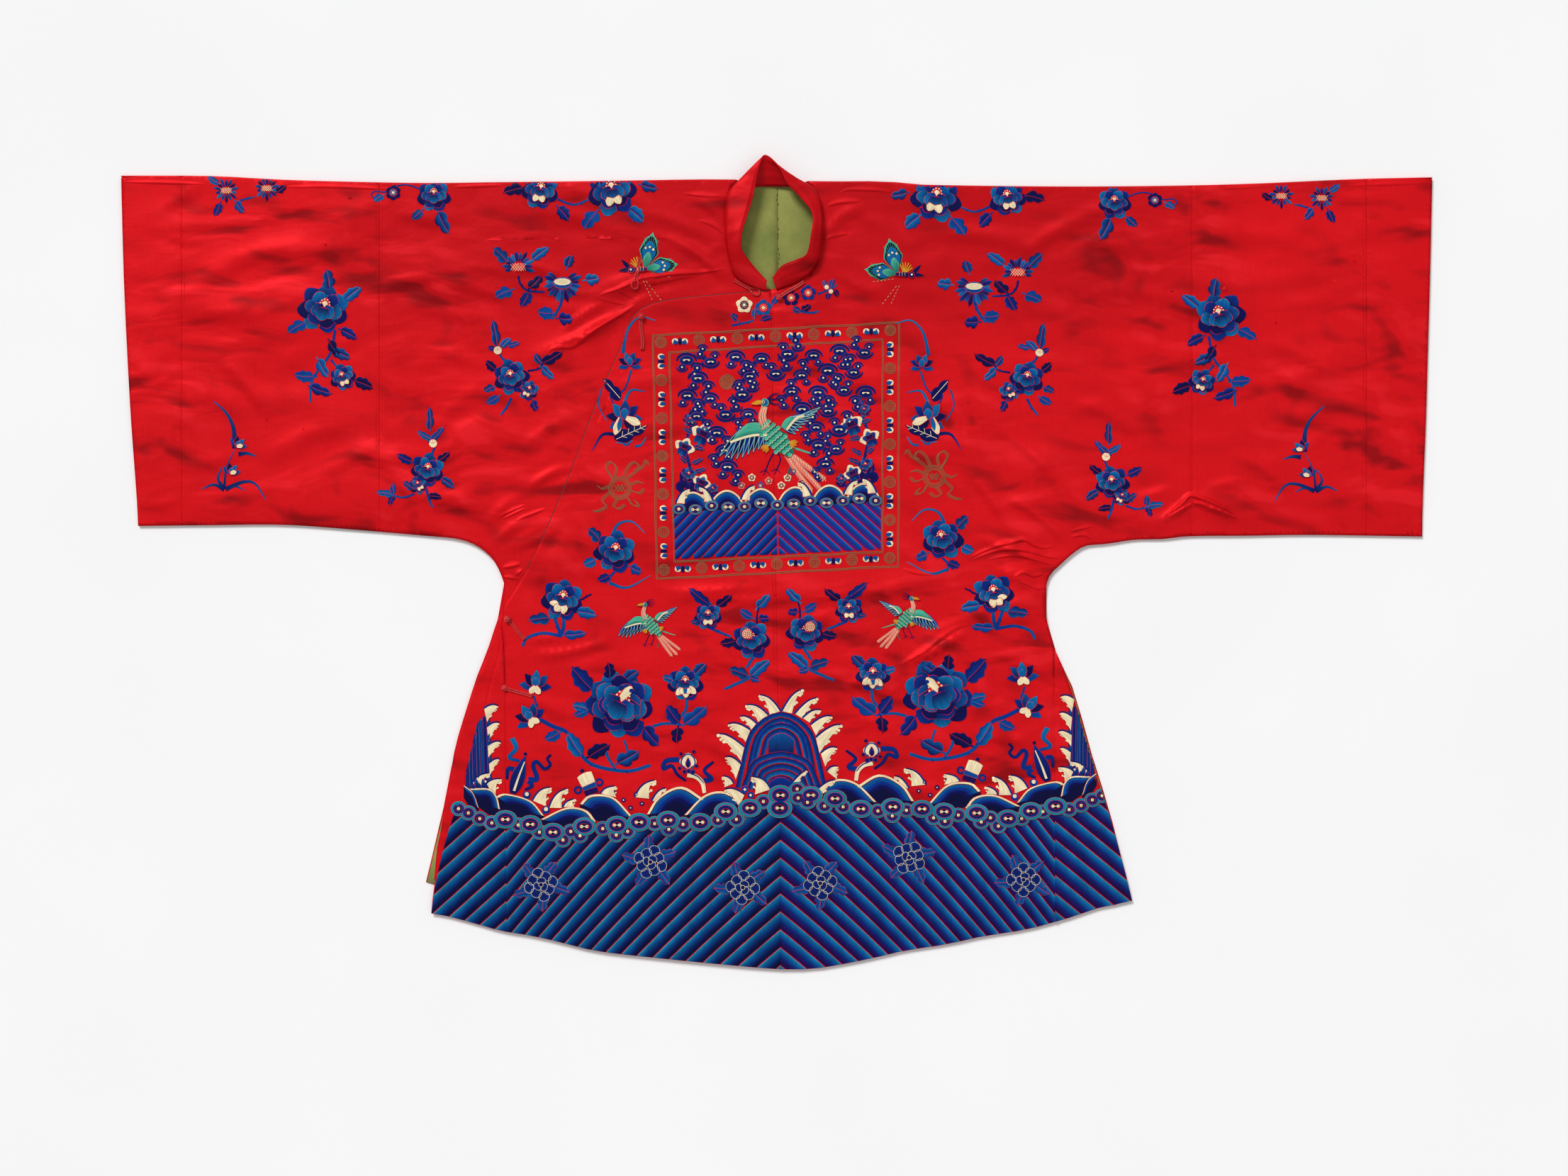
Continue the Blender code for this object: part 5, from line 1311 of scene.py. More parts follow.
def bird(work, place, scale=1.0, turn=1, feathers=8, plume=SALMON):
    """A long-tailed bird from the side: a scaled green body, a salmon neck and open striped wings."""
    def at(across, down):
        return np.array(place, float) + scale * np.array((turn * across, down))

    def line(points, count):
        return spline(np.array([at(*p) for p in points]), count)

    for k, points in enumerate(BIRD_PLUMES):
        work.stroke([at(*p) for p in points], 1.7 * scale, plume, 1.15, layer=0.4 + 0.3 * k, count=12,
                    ring=0.22 * MM)
        path = line(points, 16)
        for step in range(2, 16):
            work.stroke([path[step] - (0, 1.5 * scale), path[step] + (0.9 * scale * turn, 1.2 * scale)],
                        0.2 * scale, CREAM, layer=2.2, count=3)
    work.stroke([at(8, 4), at(22, 9), at(35, 13)], 1.0 * scale, MINT, 0.4, layer=0.4, count=9)
    work.stroke([at(7, 8), at(13, 19), at(10, 31)], 0.9 * scale, INK, 0.4, layer=0.4, count=9, last=JADE)
    for foot in ((-7, 25), (2, 24)):
        work.stroke([at(1, 8), at(foot[0] + 3, foot[1] - 8), at(*foot)], 0.5 * scale, PURPLE, 0.8, layer=0.4,
                    count=5)
        for toe in ((-5, 2), (-2, 5), (3, 4)):
            work.stroke([at(*foot), at(foot[0] + toe[0], foot[1] + toe[1])], 0.35 * scale, PURPLE, 0.5,
                        layer=0.4, count=3)
    for wing in BIRD_WINGS:
        top, tips = line(wing.shoulder, feathers + 1), line(wing.tips, feathers)
        for k in range(feathers):
            root, tip = (top[k] + top[k + 1]) / 2, tips[k]
            half = 0.62 * np.hypot(*(tips[min(k + 1, feathers - 1)] - tips[max(k - 1, 0)])) \
                / (2 if 0 < k < feathers - 1 else 1) * PIXEL / MM
            dye = (NAVY, BLUE, DEEP)[k % 3]
            work.petal(root, tip, half, dye, dye, 1 + 0.1 * k, base=0.62, ring=0.2 * MM, columns=2, rows=5,
                       round_=0.4)
            for aside in (-0.5, 0.5):
                edge = crossing(unit(tip - root)) * aside * half * TO_PIXELS
                work.stroke([root + edge * 0.7, (root + tip) / 2 + edge, tip + (root - tip) * 0.06],
                            0.26 * scale, dyed(132, 186, 190), 0.7, layer=3.2, count=5)
        shade = [top + (line(wing.tips, feathers + 1) - top) * f for f in (-0.06, 0.14, 0.34)]
        work.patch(np.stack(shade, axis=1), [MINT, MINT, JADE], 4.4, ring=0.25 * MM)
        work.stroke(shade[2], 0.85 * scale, CREAM, layer=5.6, count=12)
    work.petal(at(14, 13), at(-9, -13), 7.6 * scale, JADE, JADE, 4, base=0.35, rows=7, columns=6, round_=0.6)
    path = line(((13, 12), (2, 1), (-8, -12)), 8)
    run = unit(path[-1] - path[0])
    aside = crossing(run)
    for k in range(8):
        for j in range(-2, 3):
            if abs(j) == 2 and k in (0, 1, 7) or k == 0 and j:
                continue
            middle = path[k] + aside * (j + 0.5 * (k % 2) - 0.25) * 3.2 * scale
            work.disc(middle, 1.72 * scale, MINT, dyed(26, 132, 108), layer=5.2 + 0.12 * k, sides=8, ring=0)
            work.stroke([middle - aside * 1.7 * scale - run * 0.6 * scale, middle - run * 1.7 * scale,
                         middle + aside * 1.7 * scale - run * 0.6 * scale], 0.16 * scale, CREAM,
                        layer=6.4, count=5)
    work.stroke([at(-7, -9), at(-10, -18), at(-8, -27)], 3.6 * scale, SALMON, 0.62, layer=5.4, count=9,
                ring=0.22 * MM)
    for k in (-1, 0, 1):
        work.stroke([at(-7 + 2.4 * k, -10), at(-10 + 2.0 * k, -18), at(-8 + 1.4 * k, -26)], 0.22 * scale,
                    CREAM, layer=6.8, count=7)
    work.disc(at(-8, -30), 3.1 * scale, TEAL, MINT, layer=6, sides=10, ring=0.2 * MM)
    work.disc(at(-9, -30.5), 1.1 * scale, CREAM, layer=7, sides=8, ring=0)
    work.disc(at(-9, -30.5), 0.7 * scale, INK, layer=7.8, sides=7, ring=0)
    work.petal(at(-10, -31), at(-19, -29), 1.3 * scale, AMBER, AMBER, 6.6, base=0.9, point=True, columns=2)
    for end in ((4, -37), (6, -33), (4, -29)):
        work.stroke([at(-6, -32), at((end[0] - 6) / 2, end[1]), at(*end)], 0.8 * scale, NAVY, 0.35, layer=5.6,
                    last=PURPLE, count=6)
    for centre, lean in (((-6, 5), 215), ((13, 2), 120)):
        for k in (-1, 0, 1):
            way = math.radians(lean + 28 * k)
            tip = at(*centre) + scale * np.array((turn * math.sin(way), -math.cos(way))) * 6.5
            work.petal(at(*centre), tip, 1.7 * scale, AMBER, dyed(196, 96, 28), 6 + 0.2 * k, base=0.4, rows=3,
                       columns=2, ring=0.2 * MM)


def domed_eye(work, centre, radius):
    """The hatched cream and red dome in the middle of some peonies."""
    centre = np.array(centre, float)
    work.disc(centre, radius, RED, layer=6, sides=14, ring=0.25 * MM)
    for k in range(-2, 3):
        half = 0.92 * radius * math.sqrt(1 - (k / 2.7) ** 2) * TO_PIXELS
        offset = k * 0.34 * radius * TO_PIXELS
        bowed = np.array([(-half, offset + 1), (0, offset - 1), (half, offset + 1)])
        work.stroke(centre + bowed, 0.3, CREAM, layer=7.2, count=6)
        work.stroke(centre + bowed[:, ::-1], 0.3, CREAM, layer=7.4, count=6)


def skirt_sprays(work):
    """The flowers of one half of the skirt, round a great peony, and the bird above it."""
    peony(work, (794, 846), 26, lean=10)
    for petal in (((793, 852), (776, 850)), ((795, 854), (784, 862)), ((797, 856), (795, 866))):
        work.petal(*petal, 3.6, CREAM, CREAM, 4.5, base=0.7)
    twig(work, [(792, 897), (786, 880), (780, 863)], 1.7, BLUE, thorns=2)
    twig(work, [(792, 897), (796, 882), (795, 868)], 1.7, BLUE, thorns=1)
    twig(work, [(793, 897), (766, 893), (744, 900), (738, 912)], 1.5, BLUE, thorns=1)
    twig(work, [(808, 852), (822, 845), (835, 838)], 0.9, NAVY, NAVY, thorns=3)
    peony(work, (999, 869), 18, lean=0)
    twig(work, [(999, 853), (994, 846), (988, 842)], 0.7, BLUE, thorns=0)
    twig(work, [(1002, 886), (1016, 892), (1031, 898)], 1.2, thorns=2)
    peony(work, (1060, 903), 24, lean=-8, cream=False)
    domed_eye(work, (1054, 894), 6.5)
    twig(work, [(1068, 884), (1068, 868), (1071, 855)], 0.8, NAVY, NAVY, thorns=0)
    twig(work, [(1066, 922), (1057, 936), (1053, 942)], 1.4, TEAL, thorns=3)
    twig(work, [(1057, 956), (1040, 964), (1022, 972)], 1.4, TEAL, thorns=3)
    peony(work, (875, 993), 43, lean=25, great=True, cream=False)
    work.petal((877, 985), (892, 968), 5.0, CREAM, CREAM, 5.0, base=0.7)
    work.disc((891, 974), 2.6, BLUE, layer=6.4, sides=8, ring=0)
    for start, end, half in (((884, 990), (862, 1008), 9), ((884, 992), (880, 1016), 9),
                             ((886, 990), (902, 1008), 8)):
        work.petal(start, end, half, NAVY, TEAL, 4.2, base=0.6, columns=6, lobes=2)
    peony(work, (967, 964), 22, lean=0)
    for petal in (((966, 968), (954, 980)), ((968, 970), (968, 984)), ((970, 968), (982, 978))):
        work.petal(*petal, 4.0, CREAM, CREAM, 4.5, base=0.7)
    work.petal((967, 971), (967, 978), 3.2, TEAL, SKY, 5.6, base=0.7, rows=3)
    twig(work, [(969, 984), (968, 1000), (960, 1012)], 1.3, TEAL, thorns=2)
    twig(work, [(921, 1024), (940, 1020), (960, 1022)], 1.3, TEAL, thorns=3)
    lotus(work, (756, 968), 20, lean=5)
    lotus(work, (750, 1014), 20, lean=-35)
    twig(work, [(754, 981), (757, 992), (762, 1004)], 0.9, BLUE, thorns=1)
    twig(work, [(758, 1012), (780, 1024), (800, 1032), (814, 1050), (822, 1066), (836, 1078), (862, 1085),
                (890, 1087), (918, 1079)], 1.8, BLUE, TEAL, thorns=6)
    twig(work, [(856, 1058), (858, 1068), (868, 1083)], 1.3, TEAL, thorns=2)
    twig(work, [(880, 1044), (884, 1052), (890, 1080)], 1.0, TEAL, thorns=0)
    leaves(work, SKIRT_LEAVES, 1.02)
    bird(work, (918, 883))


both_halves("skirt_sprays", skirt_sprays, 41)

# The deep water: broad padded bands of satin stitch that slant down from the centre seam on both sides, each
# shaded from light at its upper edge to navy, with a thin line of bare red satin between two bands.
PITCH = 25.2                   # pixels from band to band along the centre seam
BANDS_FROM, BANDS_BEFORE = 1133, 40
FRONT_SEAM = 1102
WATERLINE_ACROSS = (600, 640, 700, 780, 870, 950, 1020, 1060, 1102)
WATERLINE_DOWN = (1134, 1140, 1156, 1171, 1163, 1157, 1146, 1137, 1122)
WATERLINE_LEVEL = 1150.0
WATER_STEP = 4.5 * MM
WATER_LIFT = 0.35 * MM
REACH_STEP = 3 * MM
SIDE_PLACES, HEM_PLACES = 9, 40    # where a panel's two sides and its hem are looked for
OVER_HEM = 0.3 * MM
PANEL_HIGH = 6 * MM            # where nothing lies under the first stitches of a row
THREADS_FROM = 2
Water = namedtuple("Water", "node start right slope bend seam offset")
WATERS = [
    Water("overlap_gore", (672, 1215), False, 0.90, 0.0, 714, 0.55),
    Water("overlap", (900, 1230), False, 0.84, -0.00045, 1101, 0.0),
    Water("body_left", (1300, 1225), True, 0.80, -0.00065, 1101, 0.0),
    Water("left_gore", (1520, 1200), True, 0.82, 0.0, 1486, 0.1),
]


def waterline(across):
    """Where the water begins, in pixels down, at a place across either half."""
    if across <= FRONT_SEAM:
        return float(np.interp(across, WATERLINE_ACROSS, WATERLINE_DOWN))
    left = min(across, facing(np.array((float(across), WATERLINE_LEVEL)))[0])
    down = float(np.interp(left, WATERLINE_ACROSS, WATERLINE_DOWN))
    return float(facing(np.array((left, down)))[1])


def reach(tree, start, run):
    """How far the cloth goes on from a place on it, in metres, towards a side."""
    def held(far):
        hit = met_from_above(tree, start[0] + run[0] * far, start[1] + run[1] * far)[0]
        return bool(hit) and hit.z > FRONT_OVER

    far = 0.0
    while held(far + REACH_STEP) and far < 0.5:
        far += REACH_STEP
    low, high = far, far + REACH_STEP
    for _ in range(7):
        middle = (low + high) / 2
        low, high = (middle, high) if held(middle) else (low, middle)
    return low


def hem_at(x, acrosses, hems):
    """The hem's place at x, which goes straight on beyond the places where it was found."""
    if x < acrosses[0]:
        return hems[0] + (x - acrosses[0]) * ((hems[3] - hems[0]) / (acrosses[3] - acrosses[0]))
    if x > acrosses[-1]:
        return hems[-1] + (x - acrosses[-1]) * ((hems[-1] - hems[-4]) / (acrosses[-1] - acrosses[-4]))
    return float(np.interp(x, acrosses, hems))


def water_finish(name, stops):
    silk = Finish(name, Specular_IOR_Level=0.08)
    at = silk.place("UV")
    jag = silk.threads(at, (3.0, 900.0, 1.0))
    patchy = silk.threads(at, (1.2, 60.0, 1.0), 3.0)
    band = silk.node("ShaderNodeSeparateXYZ", Vector=at) + jag * 0.10 - 0.05
    share = band.part()
    colour = silk.node("ShaderNodeValToRGB", {"stops": stops}, Fac=share)
    thread = silk.threads(at, (2.0, 1500.0, 1.0))
    colour = silk.mixed((thread * 1.5 - 0.55).clipped(0.0, 0.6), colour, (1.7, 1.6, 1.5), "MULTIPLY")
    colour = silk.mixed((patchy * 1.6 - 0.50).clipped(0.0, 0.55), colour, (0.30, 0.34, 0.44),
                        "MULTIPLY")
    silk.set("Base Color", colour)
    silk.set("Roughness", thread * 0.18 + 0.34)
    padded = (share * math.pi).sine()
    silk.bump(padded + thread * 0.10, 1.1 * MM, 0.8)
    return silk.material


RIGHT_WATER = [(0.0, dyed(168, 8, 28)), (0.055, dyed(168, 8, 28)), (0.07, dyed(48, 140, 156)),
               (0.14, dyed(0, 104, 146)), (0.36, dyed(0, 66, 126)), (0.60, dyed(0, 34, 96)),
               (0.80, dyed(4, 10, 60)), (1.0, dyed(6, 4, 50))]
LEFT_WATER = [(0.0, dyed(172, 8, 30)), (0.058, dyed(172, 8, 30)), (0.072, dyed(34, 128, 156)),
              (0.17, dyed(0, 100, 152)), (0.40, dyed(0, 64, 132)), (0.60, dyed(4, 30, 102)),
              (0.80, dyed(34, 6, 80)), (1.0, dyed(30, 2, 60))]
water_silk = {False: water_finish("water_floss_right", RIGHT_WATER),
              True: water_finish("water_floss_left", LEFT_WATER)}

for water in WATERS:
    tree = cloths[water.node]
    middle = spot(*water.start)
    top = spot(water.start[0], waterline(water.start[0]))[1] + 4 * MM
    downs = np.linspace(top, middle[1] - 10 * MM, SIDE_PLACES)
    left_line, right_line = (
        np.polyfit(downs, [middle[0] + way * reach(tree, (middle[0], y), (way, 0)) for y in downs], 2)
        for way in (-1, 1))
    sides = [np.polyval(line, middle[1]) for line in (left_line, right_line)]
    acrosses = np.linspace(sides[0] + 3 * MM, sides[1] - 3 * MM, HEM_PLACES)
    hems = np.array([middle[1] - reach(tree, (x, middle[1]), (0, -1)) for x in acrosses])
    columns = int((sides[1] - sides[0]) / WATER_STEP) + 2
    rows = int((middle[1] - hems.min() + 0.09) / WATER_STEP) + 2
    grid = []
    for v in np.linspace(0, 1, rows):
        line = []
        for u in np.linspace(0, 1, columns):
            y = middle[1]
            for _ in range(5):
                x = (1 - u) * np.polyval(left_line, y) + u * np.polyval(right_line, y)
                x += (0.24 * u - 0.12) * MM
                start = spot(0, waterline(x / PIXEL + MIDDLE_ACROSS))[1]
                y = start + (hem_at(x, acrosses, hems) + OVER_HEM - start) * v
            hit = met_from_above(tree, x, y)[0]
            high = hit.z if hit and hit.z > FRONT_OVER else (line[-1][2] if line else PANEL_HIGH)
            line.append((x, y, high + (WATER_LIFT if not line or hit else 0)))
        grid.append(line)
    made = strip(bmesh.new(), grid)
    run = made.loops.layers.uv.new("bands")
    for face in made.faces:
        for loop in face.loops:
            across, down = loop.vert.co.x / PIXEL + MIDDLE_ACROSS, MIDDLE_DOWN - loop.vert.co.y / PIXEL
            out = (across - water.seam) * (1 if water.right else -1)
            fall = water.slope * out - water.bend * out * out
            loop[run].uv = ((down - BANDS_FROM - fall) / PITCH + water.offset + BANDS_BEFORE,
                            loop.vert.co.x + THREADS_FROM)
    made.normal_update()
    if sum(f.normal.z for f in made.faces) < 0:
        bmesh.ops.reverse_faces(made, faces=made.faces)
    cloths[water.node + "_water"] = BVHTree.FromBMesh(made)
    bounds[water.node + "_water"] = bounds[water.node]
    as_piece(water.node + "_water", made, water_silk[water.right])

# The sea at the hem: a mountain on the centre seam and half a one at each slit, ringed with spray, then a
# row of swelling waves, and a row of clouds over the slanting stripes of deep water.
# A claw of spray is given by its foot, its tip and the inner end of its foot.
MOUNTAIN_CLAWS = [
    ((1100, 1003), (1072, 981), (1086, 1008)), ((1083, 1009), (1053, 995), (1070, 1019)),
    ((1067, 1021), (1045, 1011), (1060, 1029)), ((1058, 1030), (1028, 1022), (1054, 1049)),
    ((1052, 1056), (1013, 1036), (1047, 1075)), ((1045, 1078), (1024, 1068), (1038, 1099)),
    ((1034, 1105), (1020, 1095), (1022, 1110)), ((1104, 1003), (1132, 973), (1117, 1006)),
    ((1122, 1007), (1153, 985), (1132, 1013)), ((1133, 1013), (1157, 1002), (1142, 1019)),
    ((1144, 1023), (1173, 1011), (1151, 1037)), ((1151, 1041), (1187, 1023), (1156, 1062)),
    ((1158, 1063), (1180, 1055), (1164, 1081)), ((1167, 1088), (1181, 1081), (1181, 1099)),
]
MIDDLE_CLAWS = [
    ((1050, 1121), (1023, 1114), (1043, 1137)), ((1149, 1118), (1177, 1101), (1155, 1126)),
    ((1086, 1113), (1062, 1096), (1065, 1120)), ((1115, 1108), (1138, 1087), (1120, 1111)),
]
SIDE_CLAWS = [
    ((684, 1000), (703, 996), (688, 1018)), ((688, 1026), (705, 1020), (690, 1045)),
    ((689, 1052), (707, 1047), (690, 1068)), ((691, 1077), (705, 1071), (692, 1093)),
    ((666, 1108), (690, 1091), (683, 1111)), ((683, 1112), (707, 1099), (700, 1120)),
    ((753, 1129), (777, 1111), (771, 1137)), ((776, 1139), (800, 1113), (793, 1139)),
    ((796, 1138), (811, 1127), (811, 1138)), ((849, 1119), (868, 1109), (870, 1124)),
    ((897, 1124), (924, 1101), (916, 1126)), ((921, 1129), (939, 1112), (931, 1130)),
]
WAVES = [
    [(655, 1107), (668, 1118), (676, 1139)], [(664, 1112), (690, 1112), (701, 1122), (706, 1141)],
    [(701, 1123), (714, 1119), (749, 1129), (768, 1150)],
    [(913, 1148), (929, 1124), (961, 1109), (994, 1127)],
    [(819, 1133), (833, 1121), (865, 1124), (893, 1152)],
    [(764, 1155), (799, 1139), (827, 1142), (841, 1158)],
    [(966, 1149), (993, 1122), (1021, 1116), (1050, 1130)],
]
DOUBLE_CLOUDS = [
    (714, 1155), (749, 1162), (781, 1173), (825, 1165), (871, 1163), (902, 1159), (943, 1156), (988, 1159),
    (1024, 1144), (1058, 1139),
]
SINGLE_CLOUDS = [
    (648, 1140), (662, 1146), (678, 1154), (695, 1160), (732, 1163), (762, 1173), (795, 1184), (806, 1172),
    (819, 1178), (851, 1168), (870, 1177), (886, 1172), (924, 1161), (944, 1169), (964, 1162), (1013, 1156),
    (1039, 1155), (1077, 1130),
]
# The rings of a cloud, from outside in: share of the radius, dyes, layer, how oval it is, and its sides.
CLOUD_RINGS = (
    (1.0, dyed(0, 96, 140), dyed(20, 128, 144), 0, 1.0, 16), (0.72, RED, RED, 0.6, 1.0, 14),
    (0.68, DEEP, BLUE, 1.2, 1.0, 14), (0.43, RED, RED, 1.9, 0.8, 12), (0.39, DEEP, DEEP, 2.5, 0.8, 12),
)


def claw(work, foot, tip, inner, layer=3):
    """A hooked crest of spray: a cream body, a blue back, and drops along its inner side."""
    foot, tip, inner = (np.array(p, float) for p in (foot, tip, inner))
    t = np.linspace(0, 1, 7)[:, None]
    middle = (foot + tip) / 2
    out = unit(middle - inner)
    long = np.hypot(*(tip - foot))
    back_knee = middle + out * 0.34 * long
    inner_knee = (inner + tip) / 2 + out * 0.42 * long
    back = (1 - t) ** 2 * foot + 2 * t * (1 - t) * back_knee + t * t * tip
    front = (1 - t) ** 2 * inner + 2 * t * (1 - t) * inner_knee + t * t * (tip - out * 2.2)
    work.patch(np.stack([back, 0.5 * (back + front), front], axis=1), CREAM, layer)
    edge = back + unit(back - front) * 1.6
    work.stroke(edge[::2], 1.15, BLUE, 0.7, layer=layer + 0.6, last=NAVY, count=8)
    work.disc(tip - out * 1.4, 0.052 * long, CREAM, layer=layer + 0.8, sides=8, ring=0.2 * MM)
    for k in (1, 3, 4):
        drop = front[k + 1] - out * 0.115 * long + unit(tip - foot) * 0.05 * long
        work.stroke([front[k] + out * 0.03 * long, drop], 0.032 * long, CREAM, 0.7, layer=layer + 0.3,
                    count=3)
        work.disc(drop, 0.046 * long, CREAM, layer=layer + 0.4, sides=7, ring=0)


def wave(work, rim, layer=1, depth=18):
    """A swelling wave: a cream rim, and bands of blue under it, one within another."""
    outer = spline(rim, 15)
    base = (outer[0] + outer[-1]) / 2 + (0, 7)
    bands = ((1.0, 0.91, CREAM, CREAM), (0.895, 0.87, DEEP, NAVY), (0.868, 0.76, TEAL, SKY),
             (0.758, 0.62, BLUE, TEAL), (0.618, 0.48, NAVY, BLUE), (0.478, 0.30, DEEP, NAVY),
             (0.298, 0.02, DEEP, DEEP))
    for far, near, dye, last in bands:
        edges = [base + (outer - base) * f for f in (far, (far + near) / 2, near)]
        work.patch(np.stack(edges, axis=1), [last, dye, dye], layer, ring=0.45 * MM if far > 0.9 else 0)
    line = np.linspace(outer[0], outer[-1], 9)
    deep = [line + (0, down) for down in (-3, (depth - 3) / 2, depth)]
    work.patch(np.stack(deep, axis=1), DEEP, layer - 0.7, ring=0)


def cloud(work, centre, radius, eyes, layer=5, flat=0.78):
    """A curled cloud: teal outside, navy within, a red line between, and one cream eye or two joined ones."""
    centre = np.array(centre, float)
    for share, dye, rim, over, oval, sides in CLOUD_RINGS:
        work.disc(centre, radius * share, dye, rim, layer=layer + over, flat=flat * oval, sides=sides,
                  ring=0 if over else 0.3 * MM)
    for side in (-1, 1) if eyes == 2 else (0,):
        work.disc(centre + (3.6 * side, 0), 2.0, CREAM, layer=layer + 3.4, sides=8, ring=0)
        work.disc(centre + (4.2 * side, 0), 0.6, AMBER, layer=layer + 4.2, sides=5, ring=0)
    if eyes == 2:
        work.stroke([centre + (-3, 0), centre + (3, 0)], 0.4, CREAM, layer=layer + 3.4, count=3)


def arch(work, apex, half, drop, spread, thick, dyes, layer):
    """One band of a mountain: an arch of stitches, steep at its sides."""
    apex = np.array(apex, float)
    rim = [(-half - spread, drop), (-half - spread * 0.35, drop * 0.45), (-half * 0.96, drop * 0.24),
           (-half * 0.52, drop * 0.07), (0, 0)]
    rim = rim + [(-x, y) for x, y in rim[-2::-1]]
    outer = spline(np.array(rim) + apex, 21)
    inward = crossing(unit(np.gradient(outer, axis=0)))
    if np.dot(inward[10], apex + (0, drop) - outer[10]) < 0:
        inward = -inward
    grid = np.stack([outer, outer + inward * thick / 2, outer + inward * thick], axis=1)
    work.patch(grid, dyes, layer, ring=0.3 * MM, along=False)


def treasures(work):
    """Charms among the waves: a horn, a lidded jar and a curl-headed wand, tied with ribbons."""
    for path, dye, last in (
            ([(723, 1041), (729, 1055), (719, 1068), (733, 1073), (738, 1078)], SKY, BLUE),
            ([(728, 1086), (718, 1084), (716, 1099)], BLUE, NAVY),
            ([(746, 1099), (758, 1098), (753, 1080), (758, 1074), (769, 1084), (777, 1078), (773, 1070),
              (778, 1064)], BLUE, NAVY),
            ([(746, 1101), (751, 1108), (741, 1114)], BLUE, NAVY),
            ([(958, 1071), (940, 1073), (936, 1084), (948, 1080), (956, 1092), (968, 1101)], BLUE, NAVY),
            ([(993, 1101), (1004, 1098), (994, 1086), (1007, 1074)], BLUE, NAVY)):
        work.stroke(path, 3.3, dye, 0.45, layer=0.6, last=last, count=8 * len(path))
    work.petal((724, 1119), (742, 1066), 7.0, NAVY, BLUE, 1, base=0.9, point=True, rows=7)
    work.stroke([(726, 1115), (733, 1094), (741, 1074)], 1.5, CREAM, 0.4, layer=2.6, count=8)
    work.disc((742, 1063), 2.2, NAVY, layer=2, sides=8, ring=0)
    for place in ((744, 1121), (771, 1142)):
        work.disc(place, 5.0, BLUE, layer=2, sides=10)
        work.disc(around(place, 1.2, 0), 2.6, CREAM, layer=3, sides=8, ring=0)
    for place in ((846, 1103), (816, 1114)):
        work.disc(place, 5.2, BLUE, NAVY, layer=0.6, hole=0.45, sides=12)
    work.petal((836, 1120), (832, 1109), 8.5, PURPLE, NAVY, 1, base=0.95, rows=2, round_=0.05)
    work.petal((833, 1112), (830, 1103), 9.0, TEAL, BLUE, 1.5, base=0.95, rows=2, round_=0.05)
    work.petal((831, 1106), (824, 1090), 9.4, CREAM, CREAM, 2, base=0.92, round_=0.12)
    work.disc((822, 1087), 2.6, NAVY, layer=2, sides=8)
    work.stroke([(970, 1092), (982, 1095), (991, 1104), (994, 1118)], 3.2, CREAM, 0.7, layer=1.4, count=14,
                ring=VOID)
    work.stroke([(974, 1090), (985, 1095), (993, 1104)], 0.9, BLUE, 0.6, layer=2.4, count=10)
    for place in ((966, 1088), (972, 1087), (978, 1088)):
        work.disc(place, 2.8, NAVY, BLUE, layer=1.8, sides=8)
    for out, radius in (((-6, 1), 5.2), ((6, 1), 5.2), ((0, -5), 5.6), ((0, 5), 4.8)):
        work.disc((971 + out[0], 1073 + out[1]), radius, CREAM, layer=2, sides=12)
    head = [(966, 1084), (961, 1076), (964, 1067), (971, 1063), (978, 1067), (981, 1076), (976, 1084)]
    work.stroke(head, 0.9, BLUE, 0.8, layer=3.4, count=18, last=TEAL)
    work.petal((971, 1082), (971, 1069), 2.6, NAVY, BLUE, 3.4, base=0.5, point=True, columns=2)
    for place in ((961, 1063), (979, 1060), (983, 1080), (959, 1083)):
        work.disc(place, 2.2, NAVY, layer=2, sides=8)
    for place in ((866, 1117), (898, 1120), (906, 1133), (890, 1139), (880, 1128)):
        work.disc(place, 3.0, NAVY, PURPLE, layer=0.6, sides=8)
        work.disc(place, 1.0, CREAM, layer=1.6, sides=6, ring=0)


def side_mountain(work):
    """Half a mountain at the slit: upright bands, cut off by a slanting edge, with small flames below."""
    downs = np.linspace(1006, 1118, 29)
    edge = 676 - (downs - 1010) / 4.3
    tones = ((TEAL, NAVY), (NAVY, BLUE), (TEAL, NAVY), (NAVY, TEAL), (BLUE, NAVY), (NAVY, TEAL), (BLUE, NAVY))
    for k, (dye, last) in enumerate(tones):
        right = 692.0 - 5.3 * k + 0.03 * (downs - 1006)
        left = np.maximum(right - 5.0, edge)
        held = (right - left > 0.5) & (downs > 1006 + 3 * k)
        grid = np.stack([np.stack([across, downs], -1) for across in (left, (left + right) / 2, right)], 1)
        work.patch(grid[held], [last, dye, last], 0.5 + 0.1 * k, ring=0.25 * MM)
    for k in range(5):
        place = np.array((668.0 + 4.6 * k, 1104.0 - 6.0 * (k % 2)))
        work.petal(place + (2, 14), place, 2.4, NAVY, (BLUE, TEAL)[k % 2], 1.6, base=0.5, point=True,
                   ring=0.3 * MM)


def side_sea(work):
    """One half of the sea: the mountain at the slit, the charms, the spray, the waves and the clouds."""
    side_mountain(work)
    treasures(work)
    for place in SIDE_CLAWS:
        claw(work, *place, layer=1)
    for rim in WAVES:
        wave(work, rim, 2)
    for k, place in enumerate(SINGLE_CLOUDS):
        cloud(work, place, 10.0, 1, layer=4 + 0.5 * (k % 2), flat=0.92)
    for place in DOUBLE_CLOUDS:
        cloud(work, place, 14.5, 2, layer=6.8)


both_halves("sea", side_sea, 51, over_water=False)

